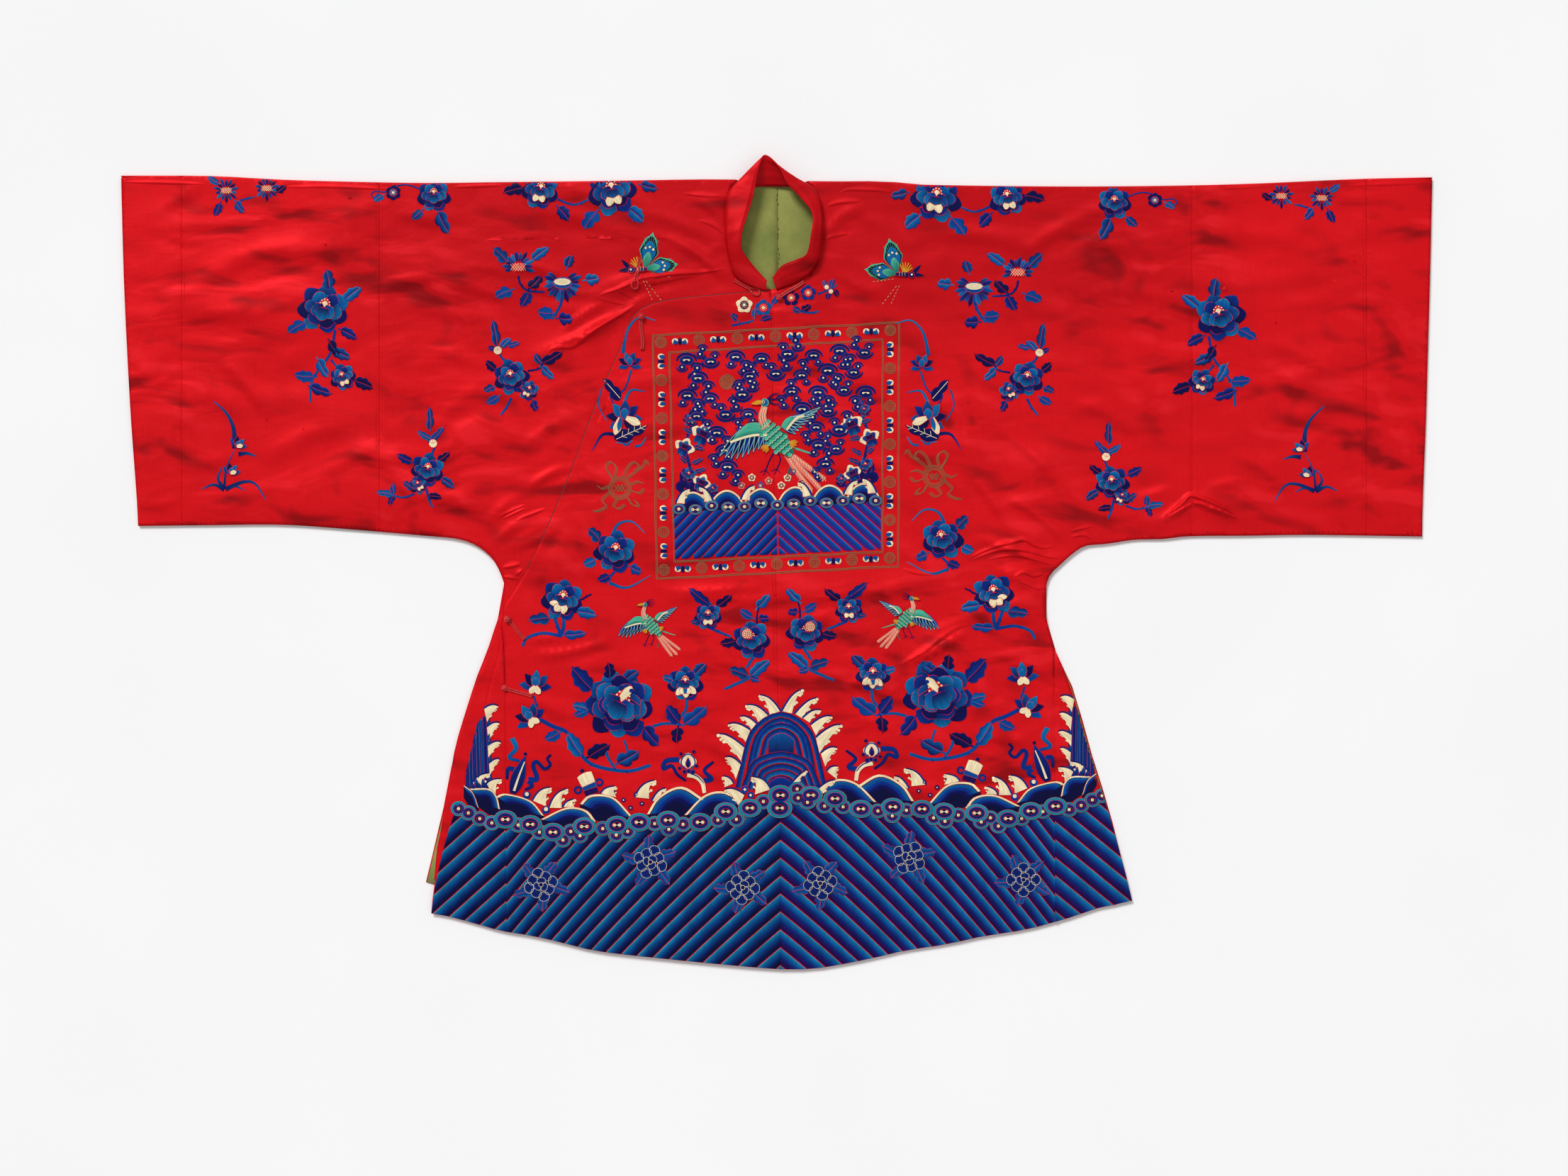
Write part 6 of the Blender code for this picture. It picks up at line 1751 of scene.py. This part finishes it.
peak = Needlework(53)
for place in MOUNTAIN_CLAWS:
    claw(peak, *place, layer=0)
BANDS = ((NAVY, BLUE, TEAL), (DEEP, BLUE, TEAL), (NAVY, BLUE, SKY), (DEEP, BLUE, TEAL), (NAVY, TEAL, SKY))
for k in range(5):
    arch(peak, (1102, 1004 + 7.6 * k), 44 - 7.2 * k, 106 - 7.6 * k - (0, 0, 30, 34, 38)[k], 20 - 3.6 * k,
         6.6, BANDS[k], 1)
peak.petal((1102, 1066), (1102, 1034), 16, NAVY, TEAL, 1.5, base=0.95, round_=0.3, columns=6)
for k in range(5):
    arch(peak, (1102, 1060 + 8.4 * k), 40 - 6.0 * k, 50 - 7.0 * k, 16 - 2.5 * k, 7.0,
         BANDS[(k + 1) % 5], 2.4 + 0.1 * k)
peak.petal((1101, 1122), (1102, 1096), 14, NAVY, BLUE, 3.4, base=0.95, round_=0.3, columns=6)
for place in MIDDLE_CLAWS:
    claw(peak, *place, layer=4)
for place in ((1051, 1113), (1059, 1121), (1139, 1112)):
    peak.disc(place, 4.4, BLUE, layer=4, sides=8)
    peak.disc(place, 2.0, CREAM, layer=5, sides=4, ring=0)
for place, radius, eyes in (((1126, 1125), 10.5, 1), ((1139, 1131), 10.5, 1), ((1101, 1121), 15.5, 2),
                            ((1100, 1139), 15.5, 2)):
    cloud(peak, place, radius, eyes, layer=6, flat=0.8)
peak.sewn("sea_middle", silk_floss, over_water=False)

# Flowers over the water: dark petals outlined with a couched cream cord, sewn down with stitches across it,
# and dim blue leaves round them.
HEM_FLOWERS = [(764, 1247), (918, 1215), (1048, 1251), (1157, 1245), (1282, 1209), (1443, 1240)]
hem_flowers = Needlework(61)
for number, centre in enumerate(HEM_FLOWERS):
    lean = (-15, 20, 5, -10, 30, 0)[number]
    for k in range(5):
        at = lean + 40 + 72 * k
        hem_flowers.leaf(around(centre, 15, at), around(centre, 34 + 3 * (k % 2), at + 8), 6.4,
                         dyed(0, 44, 116), dyed(0, 84, 146), layer=1, lobes=2)
    for k in range(8):
        at = lean + 45 * k
        place = around(centre, 13.5 * (1 + 0.12 * (-1) ** k), at)
        hem_flowers.disc(place, 6.9, dyed(4, 26, 96), dyed(0, 52, 124), layer=1.6 + 0.3 * (k % 2), sides=12,
                         flat=0.85, turn=at, ring=0)
        hem_flowers.disc(place, 6.9, CREAM, layer=2.4 + 0.3 * (k % 2), sides=16, flat=0.85, turn=at,
                         hole=0.935, ring=0)
    for k in range(3):
        place = around(centre, 4.6, lean + 120 * k + 20)
        hem_flowers.disc(place, 5.6, dyed(4, 26, 96), dyed(0, 52, 124), layer=3.2, sides=12, flat=0.8,
                         turn=lean + 120 * k, ring=0)
        hem_flowers.disc(place, 5.6, CREAM, layer=4, sides=14, flat=0.8, turn=lean + 120 * k, hole=0.92,
                         ring=0)
    hem_flowers.disc(centre, 3.0, NAVY, layer=4.6, sides=10, ring=0)
    hem_flowers.disc(centre, 3.0, CREAM, layer=5.2, sides=12, hole=0.84, ring=0)
hem_flowers.sewn("hem_flowers", silk_floss)

# The badge on the chest, worked straight on the satin: a square border of bats in floss and roundels in gold
# cord, between couched lines of the same cord. In it is a bird among clouds over the sea, of the builder's
# own arranging.
BADGE_OUTER = ((921, 473), (1267, 455), (1266, 798), (926, 816))
BADGE_INNER = ((944, 497), (1244, 479), (1244, 778), (951, 792))


def within(corners, u, v):
    """A place in a four-sided field, from its share across and down."""
    a, b, c, d = (np.array(corner, float) for corner in corners)
    return (a * (1 - u) + b * u) * (1 - v) + (d * (1 - u) + c * u) * v


def gold_finish():
    gold = Finish("gold_thread", Specular_IOR_Level=0.5)
    along = gold.place("UV")
    wrap = gold.threads(along, (900.0, 1500.0, 1.0))
    colour = gold.mixed(wrap, dyed(78, 34, 20), dyed(160, 112, 66))
    gold.set("Base Color", colour)
    gold.set("Metallic", wrap * 0.3 + 0.1)
    gold.set("Roughness", wrap * 0.3 + 0.34)
    gold.bump(wrap, 0.3 * MM, 0.6)
    return gold.material


gold_thread = gold_finish()


def bat(work, centre, turn):
    """A small bat from above: two curled cream and teal wings and a navy body."""
    turn = math.radians(turn)
    ahead = np.array((math.cos(turn), math.sin(turn)))
    aside = crossing(ahead)
    centre = np.array(centre, float)
    for side in (-1, 1):
        out = centre + ahead * side * 6.6
        work.disc(out, 4.3, CREAM, layer=0.4, flat=0.9, sides=10, ring=0.3 * MM)
        work.disc(out + aside * 1.8 - ahead * side * 0.4, 3.2, TEAL, BLUE, layer=1.4, flat=0.8, sides=9,
                  ring=0)
        work.disc(out - aside * 1.6 + ahead * side * 0.8, 1.1, BLUE, layer=1.6, sides=6, ring=0)
    work.petal(centre - aside * 4.5, centre + aside * 5.0, 2.4, NAVY, DEEP, 2, base=0.7, rows=3,
               ring=0.25 * MM)


def roundel(work, centre, radius):
    """A gold roundel: two rings of cord round a plain lattice."""
    work.disc(centre, radius, CREAM, hole=0.88, sides=16, ring=0)
    work.disc(centre, radius * 0.76, CREAM, hole=0.85, sides=14, ring=0)
    for k in (-0.28, 0.0, 0.28):
        half = radius * TO_PIXELS * 0.60 * math.sqrt(1 - (k / 0.62) ** 2)
        for ahead in (np.array((1.0, 0.0)), np.array((0.0, 1.0))):
            middle = np.array(centre, float) + ahead[::-1] * k * radius * TO_PIXELS * 1.3
            work.stroke([middle - ahead * half, middle + ahead * half], 0.30, CREAM, layer=0.8, count=3)


gold_work, frame_work = Needlework(71), Needlework(72)
for corners in (BADGE_OUTER, BADGE_INNER):
    for a, b in zip(corners, corners[1:] + corners[:1]):
        a, b = np.array(a, float), np.array(b, float)
        sway = np.array([a + (b - a) * t + (0.5 * math.sin(19 * t), 0.5 * math.cos(23 * t))
                         for t in np.linspace(0, 1, 14)])
        gold_work.stroke(sway, 0.45, CREAM, count=60)
        gold_work.stroke(sway + np.array((1.8, 1.8)), 0.35, CREAM, count=60)
BORDER = 12
for side in range(4):
    for k in range(BORDER):
        share = 0.033 + 0.934 * k / BORDER
        u, v, turn = ((share, 0.033, 0), (0.967, share, 90), (1 - share, 0.967, 180),
                      (0.033, 1 - share, 270))[side]
        place = within(BADGE_OUTER, u, v)
        if k % 2:
            bat(frame_work, place, turn)
        else:
            roundel(gold_work, place, 7.2)
frame_work.sewn("badge_border", silk_floss)

BADGE_CLOUDS = [
    (0.055, 0.045), (0.175, 0.06), (0.30, 0.045), (0.43, 0.06), (0.56, 0.045), (0.69, 0.06), (0.82, 0.045),
    (0.945, 0.06), (0.11, 0.135), (0.37, 0.14), (0.50, 0.135), (0.63, 0.15), (0.76, 0.135), (0.89, 0.15),
    (0.055, 0.215), (0.17, 0.235), (0.33, 0.225), (0.58, 0.225), (0.71, 0.235), (0.84, 0.23), (0.95, 0.25),
    (0.10, 0.315), (0.245, 0.315), (0.36, 0.32), (0.63, 0.31), (0.76, 0.325), (0.20, 0.40), (0.70, 0.40),
    (0.815, 0.415), (0.235, 0.485), (0.71, 0.485), (0.80, 0.505), (0.25, 0.565), (0.745, 0.575),
]
BADGE_SHORE = 0.745            # where its water begins, as a share of the way down


def field(u, v):
    """A place in the badge's picture, from its share across and down."""
    return within(BADGE_INNER, u, v)


def badge_stripes(work):
    """The water in the badge: slanting bands that part at its middle."""
    pitch, rise = 0.052, 0.47
    for half in (0, 1):
        dark, light = ((NAVY, dyed(0, 84, 170)), (dyed(74, 14, 112), dyed(6, 84, 172)))[half]
        near, far = ((0.006, 0.496), (0.504, 0.994))[half]
        for k in range(-10, 6):
            band = []
            for share in np.linspace(0, 1, 34):
                u = near + (far - near) * share
                lean = BADGE_SHORE + k * pitch + rise * (1 - share if half == 0 else share)
                downs = [min(max(lean + f * pitch, BADGE_SHORE), 0.990) for f in (0.0, 0.44, 0.88)]
                band.append([field(u, down) for down in downs])
            band = np.array(band)
            kept = np.hypot(*(band[:, 2] - band[:, 0]).T) > 0.8
            if kept.sum() > 1:
                work.patch(band[kept], [light, BLUE, dark], 0.4, ring=0)


badge = Needlework(73)
badge_stripes(badge)
for k in range(6):
    left = 0.01 + 0.163 * k
    rim = [field(left, BADGE_SHORE), field(left + 0.035, 0.695), field(left + 0.085, 0.672),
           field(left + 0.135, 0.695), field(min(left + 0.17, 0.99), BADGE_SHORE)]
    wave(badge, rim, 1.5, depth=6)
for left, lean in ((0.02, 1), (0.19, -1), (0.33, 1), (0.66, -1), (0.82, 1), (0.97, -1)):
    foot = field(left, 0.722)
    claw(badge, foot, foot + np.array((17.0 * lean, -19.0)), foot + np.array((11.0 * lean, 1.0)), 3)
for k in range(13):
    cloud(badge, field(0.03 + 0.0783 * k, 0.752 + 0.008 * math.sin(2.2 * k)), 8.0, 1 + k % 2, layer=5)


def crescent(work, centre, far, up, sweep, thick, layer=0.3, flat=0.74):
    """A tapered band of stitches over or under an oval, as far to each side as that many degrees."""
    middle = 270 if up else 90
    angle = np.radians(np.linspace(middle - sweep, middle + sweep, 13))
    wide = thick * np.sin(np.linspace(0.06, 0.94, 13) * math.pi) ** 0.55
    ahead = np.stack([np.cos(angle), flat * np.sin(angle)], axis=1)
    grid = [np.array(centre, float) + ahead * (far - wide * f)[:, None] for f in (0.0, 0.5, 1.0)]
    work.patch(np.stack(grid, axis=1), [BLUE, NAVY, NAVY], layer, ring=0)


def curl(work, place, size, up):
    """The small end of a cloud: a round knob with a cream dot, and a crescent over or under it."""
    crescent(work, place, 9.2 * size, up, 94, 3.0 * size, flat=0.86)
    work.disc(place, 5.0 * size, NAVY, BLUE, layer=0.9, flat=0.9, sides=10, ring=0.2 * MM)
    work.disc(place, 1.35 * size, CREAM, layer=1.9, sides=7, ring=0)


def sky_cloud(work, place, size, tail, up=True):
    """A curled cloud: a wide head with a dumb-bell of cream, a thick neck, and small curls on the way."""
    place = np.array(place, float)
    way = 1 if up else -1
    end = place + (tail[0], way * tail[1])
    work.stroke([place + (0, 3 * way), place + (tail[0] * 0.5, way * tail[1] * 0.35), end], 3.3 * size, NAVY,
                0.8, count=8, last=BLUE)
    curl(work, place + (-0.42 * tail[0], way * 9.5 * size), 0.9 * size, not up)
    curl(work, end, size, up)
    curl(work, end + (-0.25 * tail[0], way * 8.0 * size), 0.95 * size, not up)
    crescent(work, place, 14.2 * size, up, 96, 4.4 * size, layer=1)
    work.disc(place, 8.4 * size, NAVY, BLUE, layer=1.9, flat=0.70, sides=14, ring=0.3 * MM)
    for aside in (-3.3 * size, 3.3 * size):
        work.disc(place + (aside, 0), 1.45 * size, CREAM, layer=2.9, flat=0.8, sides=8, ring=0)
    work.stroke([place + (-3.3 * size, -0.8), place + (3.3 * size, -0.8)], 0.4 * size, CREAM, layer=2.9,
                count=3)


def cream_peony(work, centre, radius, lean):
    """A peony that opens to one side: wide cream petals behind, blue ones within, and a dark heart."""
    for turn in (-75, 75, 0):
        work.ray(centre, 0.15 * radius, radius, lean + turn, 0.46 * radius, CREAM, CREAM, 0.4, base=0.6,
                 columns=5, round_=0.6)
    for turn, dye in ((-60, TEAL), (60, BLUE), (0, SKY)):
        work.ray(centre, 0.1 * radius, 0.68 * radius, lean + turn, 0.30 * radius, NAVY, dye, 1.6, base=0.6,
                 round_=0.5)
    for turn in (-35, 35):
        work.ray(centre, 0.0, 0.45 * radius, lean + turn, 0.18 * radius, PURPLE, DEEP, 2.8, base=0.4,
                 point=True, ring=0.3 * MM)
    for turn, dye in ((150, BLUE), (210, TEAL), (180, SKY)):
        work.ray(centre, 0.1 * radius, 0.8 * radius, lean + turn, 0.26 * radius, NAVY, dye, 1.2, base=0.5,
                 point=True)


for k, (u, v) in enumerate(BADGE_CLOUDS):
    side = 1 if u < 0.14 else -1 if u > 0.86 else (-1) ** k
    sky_cloud(badge, field(0.03 + 0.94 * u, v), (1.04, 0.92, 1.0, 0.88)[k % 4], (15 * side, 11), k % 3 != 1)
sun = field(0.27, 0.16)
for far in (9.5 - 1.9 * k for k in range(5)):
    gold_work.disc(sun, far, CREAM, hole=1 - 1.1 / far, sides=16, ring=0)
BADGE_BLOOMS = (((2, -20), 11, False), ((20, -8), 9.5, True), ((-4, -58), 10, True), ((22, -76), 12, True),
                ((4, -98), 8.5, False), ((36, 0), 8, False))
BADGE_LEAVES = (((8, -36), (24, -44)), ((0, -38), (-10, -46)), ((8, -80), (-6, -86)), ((12, -24), (28, -30)),
                ((10, -60), (26, -56)), ((6, -104), (14, -120)))
BADGE_ROCKS = ((0, -16, 9.5), (12, -10, 9.0), (-6, -4, 9.0), (24, -2, 8.5), (8, 2, 9.5), (36, 4, 7.0))


def flowering_rock(work, base, lean):
    """A rock with a tall twig of peonies. It leans to the right if lean is 1, and to the left if -1."""
    def beside(across, down):
        return base + np.array((across * lean, down))

    twig(work, [beside(0, 0), beside(4, -30), beside(-2, -62), beside(8, -92)], 1.3, NAVY, BLUE, thorns=5)
    for out, size, cream in BADGE_BLOOMS:
        if cream:
            cream_peony(work, beside(*out), 1.35 * size, 25 * lean)
        else:
            peony(work, beside(*out), size, lean=15 * lean, cream=False)
    for foot, tip in BADGE_LEAVES:
        work.leaf(beside(*foot), beside(*tip), 3.0, layer=0.5)
    for across, down, radius in BADGE_ROCKS:
        work.disc(beside(across, down), radius, NAVY, dyed(30, 10, 100), layer=0.1, sides=9, flat=0.85,
                  ring=0)
    for hollow in ((3, -12), (17, -5), (-2, 0), (28, 3)):
        work.disc(beside(*hollow), 2.6, GROUND, layer=0.5, sides=8, flat=0.7, ring=0)


flowering_rock(badge, field(0.07, 0.66), 1)
flowering_rock(badge, field(0.93, 0.66), -1)
bird(badge, field(0.49, 0.445), scale=1.72, turn=1, feathers=9)
for u, v, dye in ((0.38, 0.62, CREAM), (0.46, 0.64, SALMON), (0.55, 0.63, CREAM), (0.62, 0.655, SALMON),
                  (0.42, 0.66, TEAL), (0.52, 0.665, CREAM), (0.33, 0.655, SALMON), (0.58, 0.60, TEAL)):
    round_flower(badge, field(u, v), 5.0, dye, NAVY, CREAM)
badge.sewn("badge_picture", silk_floss)

# Gold charms beside the badge: a double ring of gold cord round a plain lattice, hung with ribbons. The
# cord is couched, so it lies on the satin and is held by fine stitches across it.
RIBBONS = [
    [(866, 678), (856, 660), (862, 652), (870, 660), (868, 674)],
    [(880, 674), (886, 660), (896, 652), (902, 660), (894, 668), (884, 676)],
    [(896, 664), (906, 660), (912, 650), (915, 656)],
    [(862, 694), (850, 706), (856, 714), (848, 720), (838, 722)],
    [(872, 704), (866, 714), (874, 718), (882, 712)],
    [(886, 702), (892, 712), (902, 714), (896, 706)],
    [(890, 692), (902, 696), (909, 690)], [(860, 686), (850, 690), (844, 686)],
    [(890, 684), (900, 680), (908, 682)],
]
for flipped in (False, True):
    gold_work.flipped = flipped
    gold_work.nudge = (0, -13)
    for far, hole in ((14.5, 0.945), (12.9, 0.94), (11.2, 0.93), (9.4, 0.92)):
        gold_work.disc((875, 689), far, CREAM, hole=hole, sides=20, ring=0)
    for k in (-1, 0, 1):
        for lean in (-1, 1):
            middle = np.array((875.0 + 4.5 * k, 689.0))
            run = np.array((4.2 * lean, 5.2)) * (1 - 0.2 * abs(k))
            gold_work.stroke([middle - run, middle + run], 0.5, CREAM, layer=0.8, count=3)
    for path in RIBBONS:
        path = np.array(path, float)
        for shift in (-1.5, 0.0, 1.5):
            gold_work.stroke(path + (shift, shift * 0.6), 0.34, CREAM, count=18)
gold_work.flipped = False
gold_work.sewn("gold_couching", gold_thread)

# Seams: the panels are sewn edge to edge with their edges turned in, and pressed from inside. Each shows as a
# narrow furrow along the middle of a flat strip of satin.
SEAMS = [
    [(1087.3, 420), (1089.1, 500), (1092.6, 700), (1096, 900), (1097.6, 1000), (1100.0, 1120)],
    [(536.3, 238), (536.3, 500), (536.3, 745)], [(1680.4, 238), (1680.4, 500), (1680.4, 752)],
    [(257.9, 249), (257.9, 500), (257.9, 738)], [(1926.1, 251), (1926.1, 500), (1926.1, 752)],
    [(713.1, 975), (713.9, 1060), (714.1, 1120)], [(1486.5, 955), (1487.0, 1030), (1487.3, 1100)],
]
SEAM_COLUMNS = np.array((-3.0, -0.8, 0.0, 0.8, 3.0)) * MM
SEAM_DEPTH = np.array((-0.04, -0.06, 0.12, -0.06, -0.04)) * MM
SEAM_SHARE = (SEAM_COLUMNS - SEAM_COLUMNS[0]) / (SEAM_COLUMNS[-1] - SEAM_COLUMNS[0])
seam_mesh = bmesh.new()
for path in SEAMS:
    rows = []
    for place in spline(path, 170):
        x, y = spot(*place)
        first, last = (cloth_height(x + aside, y, over_water=False) for aside in SEAM_COLUMNS[[0, -1]])
        heights = first + (last - first) * SEAM_SHARE - SEAM_DEPTH
        rows.append([(x + aside, y, z) for aside, z in zip(SEAM_COLUMNS, heights)]
                    if min(first, last) > FRONT_OVER else None)
    strip(seam_mesh, rows)
as_piece("seam_folds", seam_mesh, red_satin)

# The overlap's edge from the neck down to the armhole, found from a line drawn a little inside it, in pixels
# of the picture. The satin is turned under and pressed flat, with a painted shadow line of dark red along its
# rim.
EDGE_GUIDE = [(1084, 421), (1030, 424), (986, 428), (959, 431), (939, 434), (925, 438), (911, 446),
              (899, 459), (889, 482), (866, 537), (838, 606), (808, 678), (780, 746), (754, 806)]
EDGE_COLUMNS = np.array((-0.15, 0.5, 1.6, 3.2, 4.8)) * MM     # inwards from the edge
EDGE_DROP = np.array((0.55, 0.0, -0.05, -0.06, -0.05)) * MM
# Where the painted shadow line lies across the rim, and how far it lies over the satin.
SHADOW_LINE_SIDES = np.array((-0.30, 0.60)) * MM
SHADOW_LINE_OVER = 0.14 * MM
overlap_tree = cloths["overlap"]
guide = np.array([spot(*place) for place in spline(EDGE_GUIDE, 260)])
edge_rows, shadow_line_rows = [], []
for place, run in zip(guide, unit(np.gradient(guide, axis=0))):
    out = -crossing(run)
    rim = place + out * reach(overlap_tree, place, out)
    hit = met_from_above(overlap_tree, *(rim - out * EDGE_COLUMNS[-1]))[0]
    edge_rows.append([(*(rim - out * far), hit.z - drop) for far, drop in zip(EDGE_COLUMNS, EDGE_DROP)])
    shadow_line_rows.append([(*(rim - out * far), hit.z + SHADOW_LINE_OVER) for far in SHADOW_LINE_SIDES])
as_piece("overlap_edge", strip(bmesh.new(), edge_rows), red_satin)
# The painted shadow line: a thin dark red strip just over the overlap's rim.
painted_edge_shadow = Finish("painted_edge_shadow", Roughness=0.6, Base_Color=(*dyed(92, 4, 10), 1.0))
as_piece("overlap_painted_shadow", strip(bmesh.new(), shadow_line_rows), painted_edge_shadow.material)

# The sharpest creases of the satin, from long folding and wear: each a thin ridge of the cloth itself, steep
# on its lower side, with its height and width in mm and its line in pixels of the picture.
FINE_CREASES = [
    (2.3, 3.0, [(771, 501), (781, 493.5), (794, 491.4), (807, 490.4), (819, 483), (836, 470), (854, 458),
                (879, 443.5), (897, 431)]),
    (2.0, 2.6, [(844, 421), (854, 415), (871, 410), (891, 401), (907, 394), (936, 389.4), (973, 386.7),
                (1007, 383), (1024, 380)]),
    (1.0, 2.6, [(911, 404), (936, 398), (960, 392.5), (985, 389)]),
    (0.8, 2.2, [(842, 421), (862, 426), (883, 431)]), (0.7, 2.0, [(871, 411), (883, 416), (895, 423)]),
    (1.5, 1.8, [(703, 730.4), (715, 724.6), (729, 718.3), (743, 712.5)]),
    (1.2, 1.6, [(710, 733), (721, 727.4), (733, 721.6), (744, 716.5)]),
    (1.6, 2.0, [(729, 735.5), (740, 729.7), (754, 724.6), (771, 717.6)]),
    (1.8, 2.6, [(709, 801), (721, 799.3), (736, 795.4)]),
    (1.3, 2.0, [(711, 813.5), (720, 815.2), (731, 817)]),
    (1.4, 2.0, [(728, 812.7), (733, 808.2), (738, 803)]),
    (1.8, 2.4, [(1368, 788), (1379, 781.5), (1392, 776), (1409, 769.6), (1426, 765.7), (1444, 762),
                (1459, 769.6), (1472, 772.8), (1486, 770)]),
    (1.6, 2.2, [(1370, 791), (1392, 781.5), (1413, 776), (1435, 775.7), (1457, 779.3), (1474, 784.8),
                (1494, 788)]),
    (1.4, 2.2, [(1392, 790), (1413, 785.7), (1435, 784), (1457, 789), (1474, 794.4), (1488, 796.6)]),
    (1.6, 2.2, [(1431, 813), (1444, 807.5), (1457, 813), (1472, 809.6)]),
    (1.2, 2.0, [(1437, 822), (1448, 823.8), (1461, 830.3), (1472, 829.2)]),
    (1.7, 3.2, [(1270, 938), (1284, 930), (1305, 917), (1327, 899.7), (1348, 886.7), (1368, 880.2)]),
    (0.9, 2.0, [(1273, 803), (1294, 809), (1320, 811)]),
    (1.0, 2.0, [(1509, 750), (1522, 746.8), (1539, 742.5)]),
    (1.1, 2.2, [(1509, 758), (1528, 755), (1541, 762)]), (0.9, 2.2, [(964, 274), (990, 277), (1018, 278)]),
    (1.1, 2.4, [(1162, 341.4), (1171, 336), (1183, 332.5), (1196, 331)]),
    (1.2, 2.6, [(1166, 292), (1185, 287), (1214, 285)]), (1.0, 2.2, [(985, 312), (1004, 318), (1020, 330)]),
    (0.8, 1.9, [(176, 258), (205, 258.6), (240, 259.4), (290, 261)]),
    (0.9, 2.0, [(403, 265), (430, 265), (458, 264.5), (500, 266), (536, 267.5), (556, 268)]),
    (0.8, 1.9, [(640, 265.5), (675, 264), (710, 263)]),
    (0.9, 2.0, [(1184, 274), (1198, 269), (1230, 269.5), (1258, 272)]),
    (1.0, 2.0, [(1604, 266.8), (1676, 267.3), (1740, 266.5), (1784, 264.5)]),
    (0.9, 2.0, [(1898, 263.5), (1950, 261.5), (2012, 259.3)]),
    (2.6, 2.2, [(1640, 728), (1656, 718), (1668, 708.5), (1677.5, 700), (1697, 705), (1716, 713),
                (1743, 727)]),
    (2.4, 2.2, [(1743, 731), (1726, 724), (1704, 716.5), (1685, 710), (1664, 719.5), (1648, 729)]),
]
RIDGE_COLUMNS = np.array((-1.3, -0.85, -0.4, 0.0, 0.45, 1.0, 1.8, 2.8))
RIDGE_SHARE = np.array((0.0, 0.20, 0.78, 1.0, 0.86, 0.50, 0.16, 0.0))
RIDGE_SINK = np.array((0.06, 0, 0, 0, 0, 0, 0, 0.06)) * MM
ridge_mesh = bmesh.new()
for height, width, path in FINE_CREASES:
    length = math.dist(path[0], path[-1]) * PIXEL
    line = np.array([spot(*place) for place in spline(path, int(length / (1.4 * MM)))])
    rows = []
    for t, place, run in zip(np.linspace(0, 1, len(line)), line, unit(np.gradient(line, axis=0))):
        grow = math.sin(math.pi * t) ** 0.7
        aside = crossing(run) * width * MM * (0.35 + 0.65 * grow)
        places = [place + aside * far for far in RIDGE_COLUMNS]
        tops = np.array([cloth_height(*at) for at in places])
        tops = tops + RIDGE_SHARE * height * MM * grow - RIDGE_SINK
        rows.append([(*at, top) for at, top in zip(places, tops)] if tops.min() > FRONT_OVER else None)
    strip(ridge_mesh, rows)
as_piece("fine_creases", ridge_mesh, red_satin)

# The white table that the robe lies on, and soft studio light from above: broad and even from the
# upper left, weak from the lower right, and the light of a white room.
floor_mesh = bmesh.new()
bmesh.ops.create_grid(floor_mesh, x_segments=1, y_segments=1, size=4.0)
paper = Finish("white_table", Roughness=0.9, Specular_IOR_Level=0.1)
grain = paper.noise(paper.place(), 3.0, 2.0)
paper.set("Base Color", paper.mixed(grain, (0.90, 0.90, 0.905), (0.86, 0.86, 0.865)))
floor = as_object("floor", floor_mesh, paper.material)

Lamp = namedtuple("Lamp", "name place spread strength")
LAMPS = [
    Lamp("key_lamp", (-0.42, 0.78, 0.80), 20.0, 2.60),
    Lamp("fill_lamp", (0.50, -0.20, 0.90), 50.0, 0.30),
]
for lamp in LAMPS:
    light = bpy.data.lights.new(lamp.name, "SUN")
    light.angle = math.radians(lamp.spread)
    light.energy = lamp.strength
    made = bpy.data.objects.new(lamp.name, light)
    made.location = lamp.place
    made.rotation_mode = "QUATERNION"
    made.rotation_quaternion = (-Vector(lamp.place)).to_track_quat("-Z", "Y")
    bpy.context.scene.collection.objects.link(made)

room = bpy.data.worlds.new("white_room")
room.use_nodes = True
room.node_tree.nodes["Background"].inputs["Color"].default_value = (1.0, 1.0, 1.0, 1.0)
room.node_tree.nodes["Background"].inputs["Strength"].default_value = 0.42
bpy.context.scene.world = room
bpy.context.scene.view_settings.view_transform = "Standard"
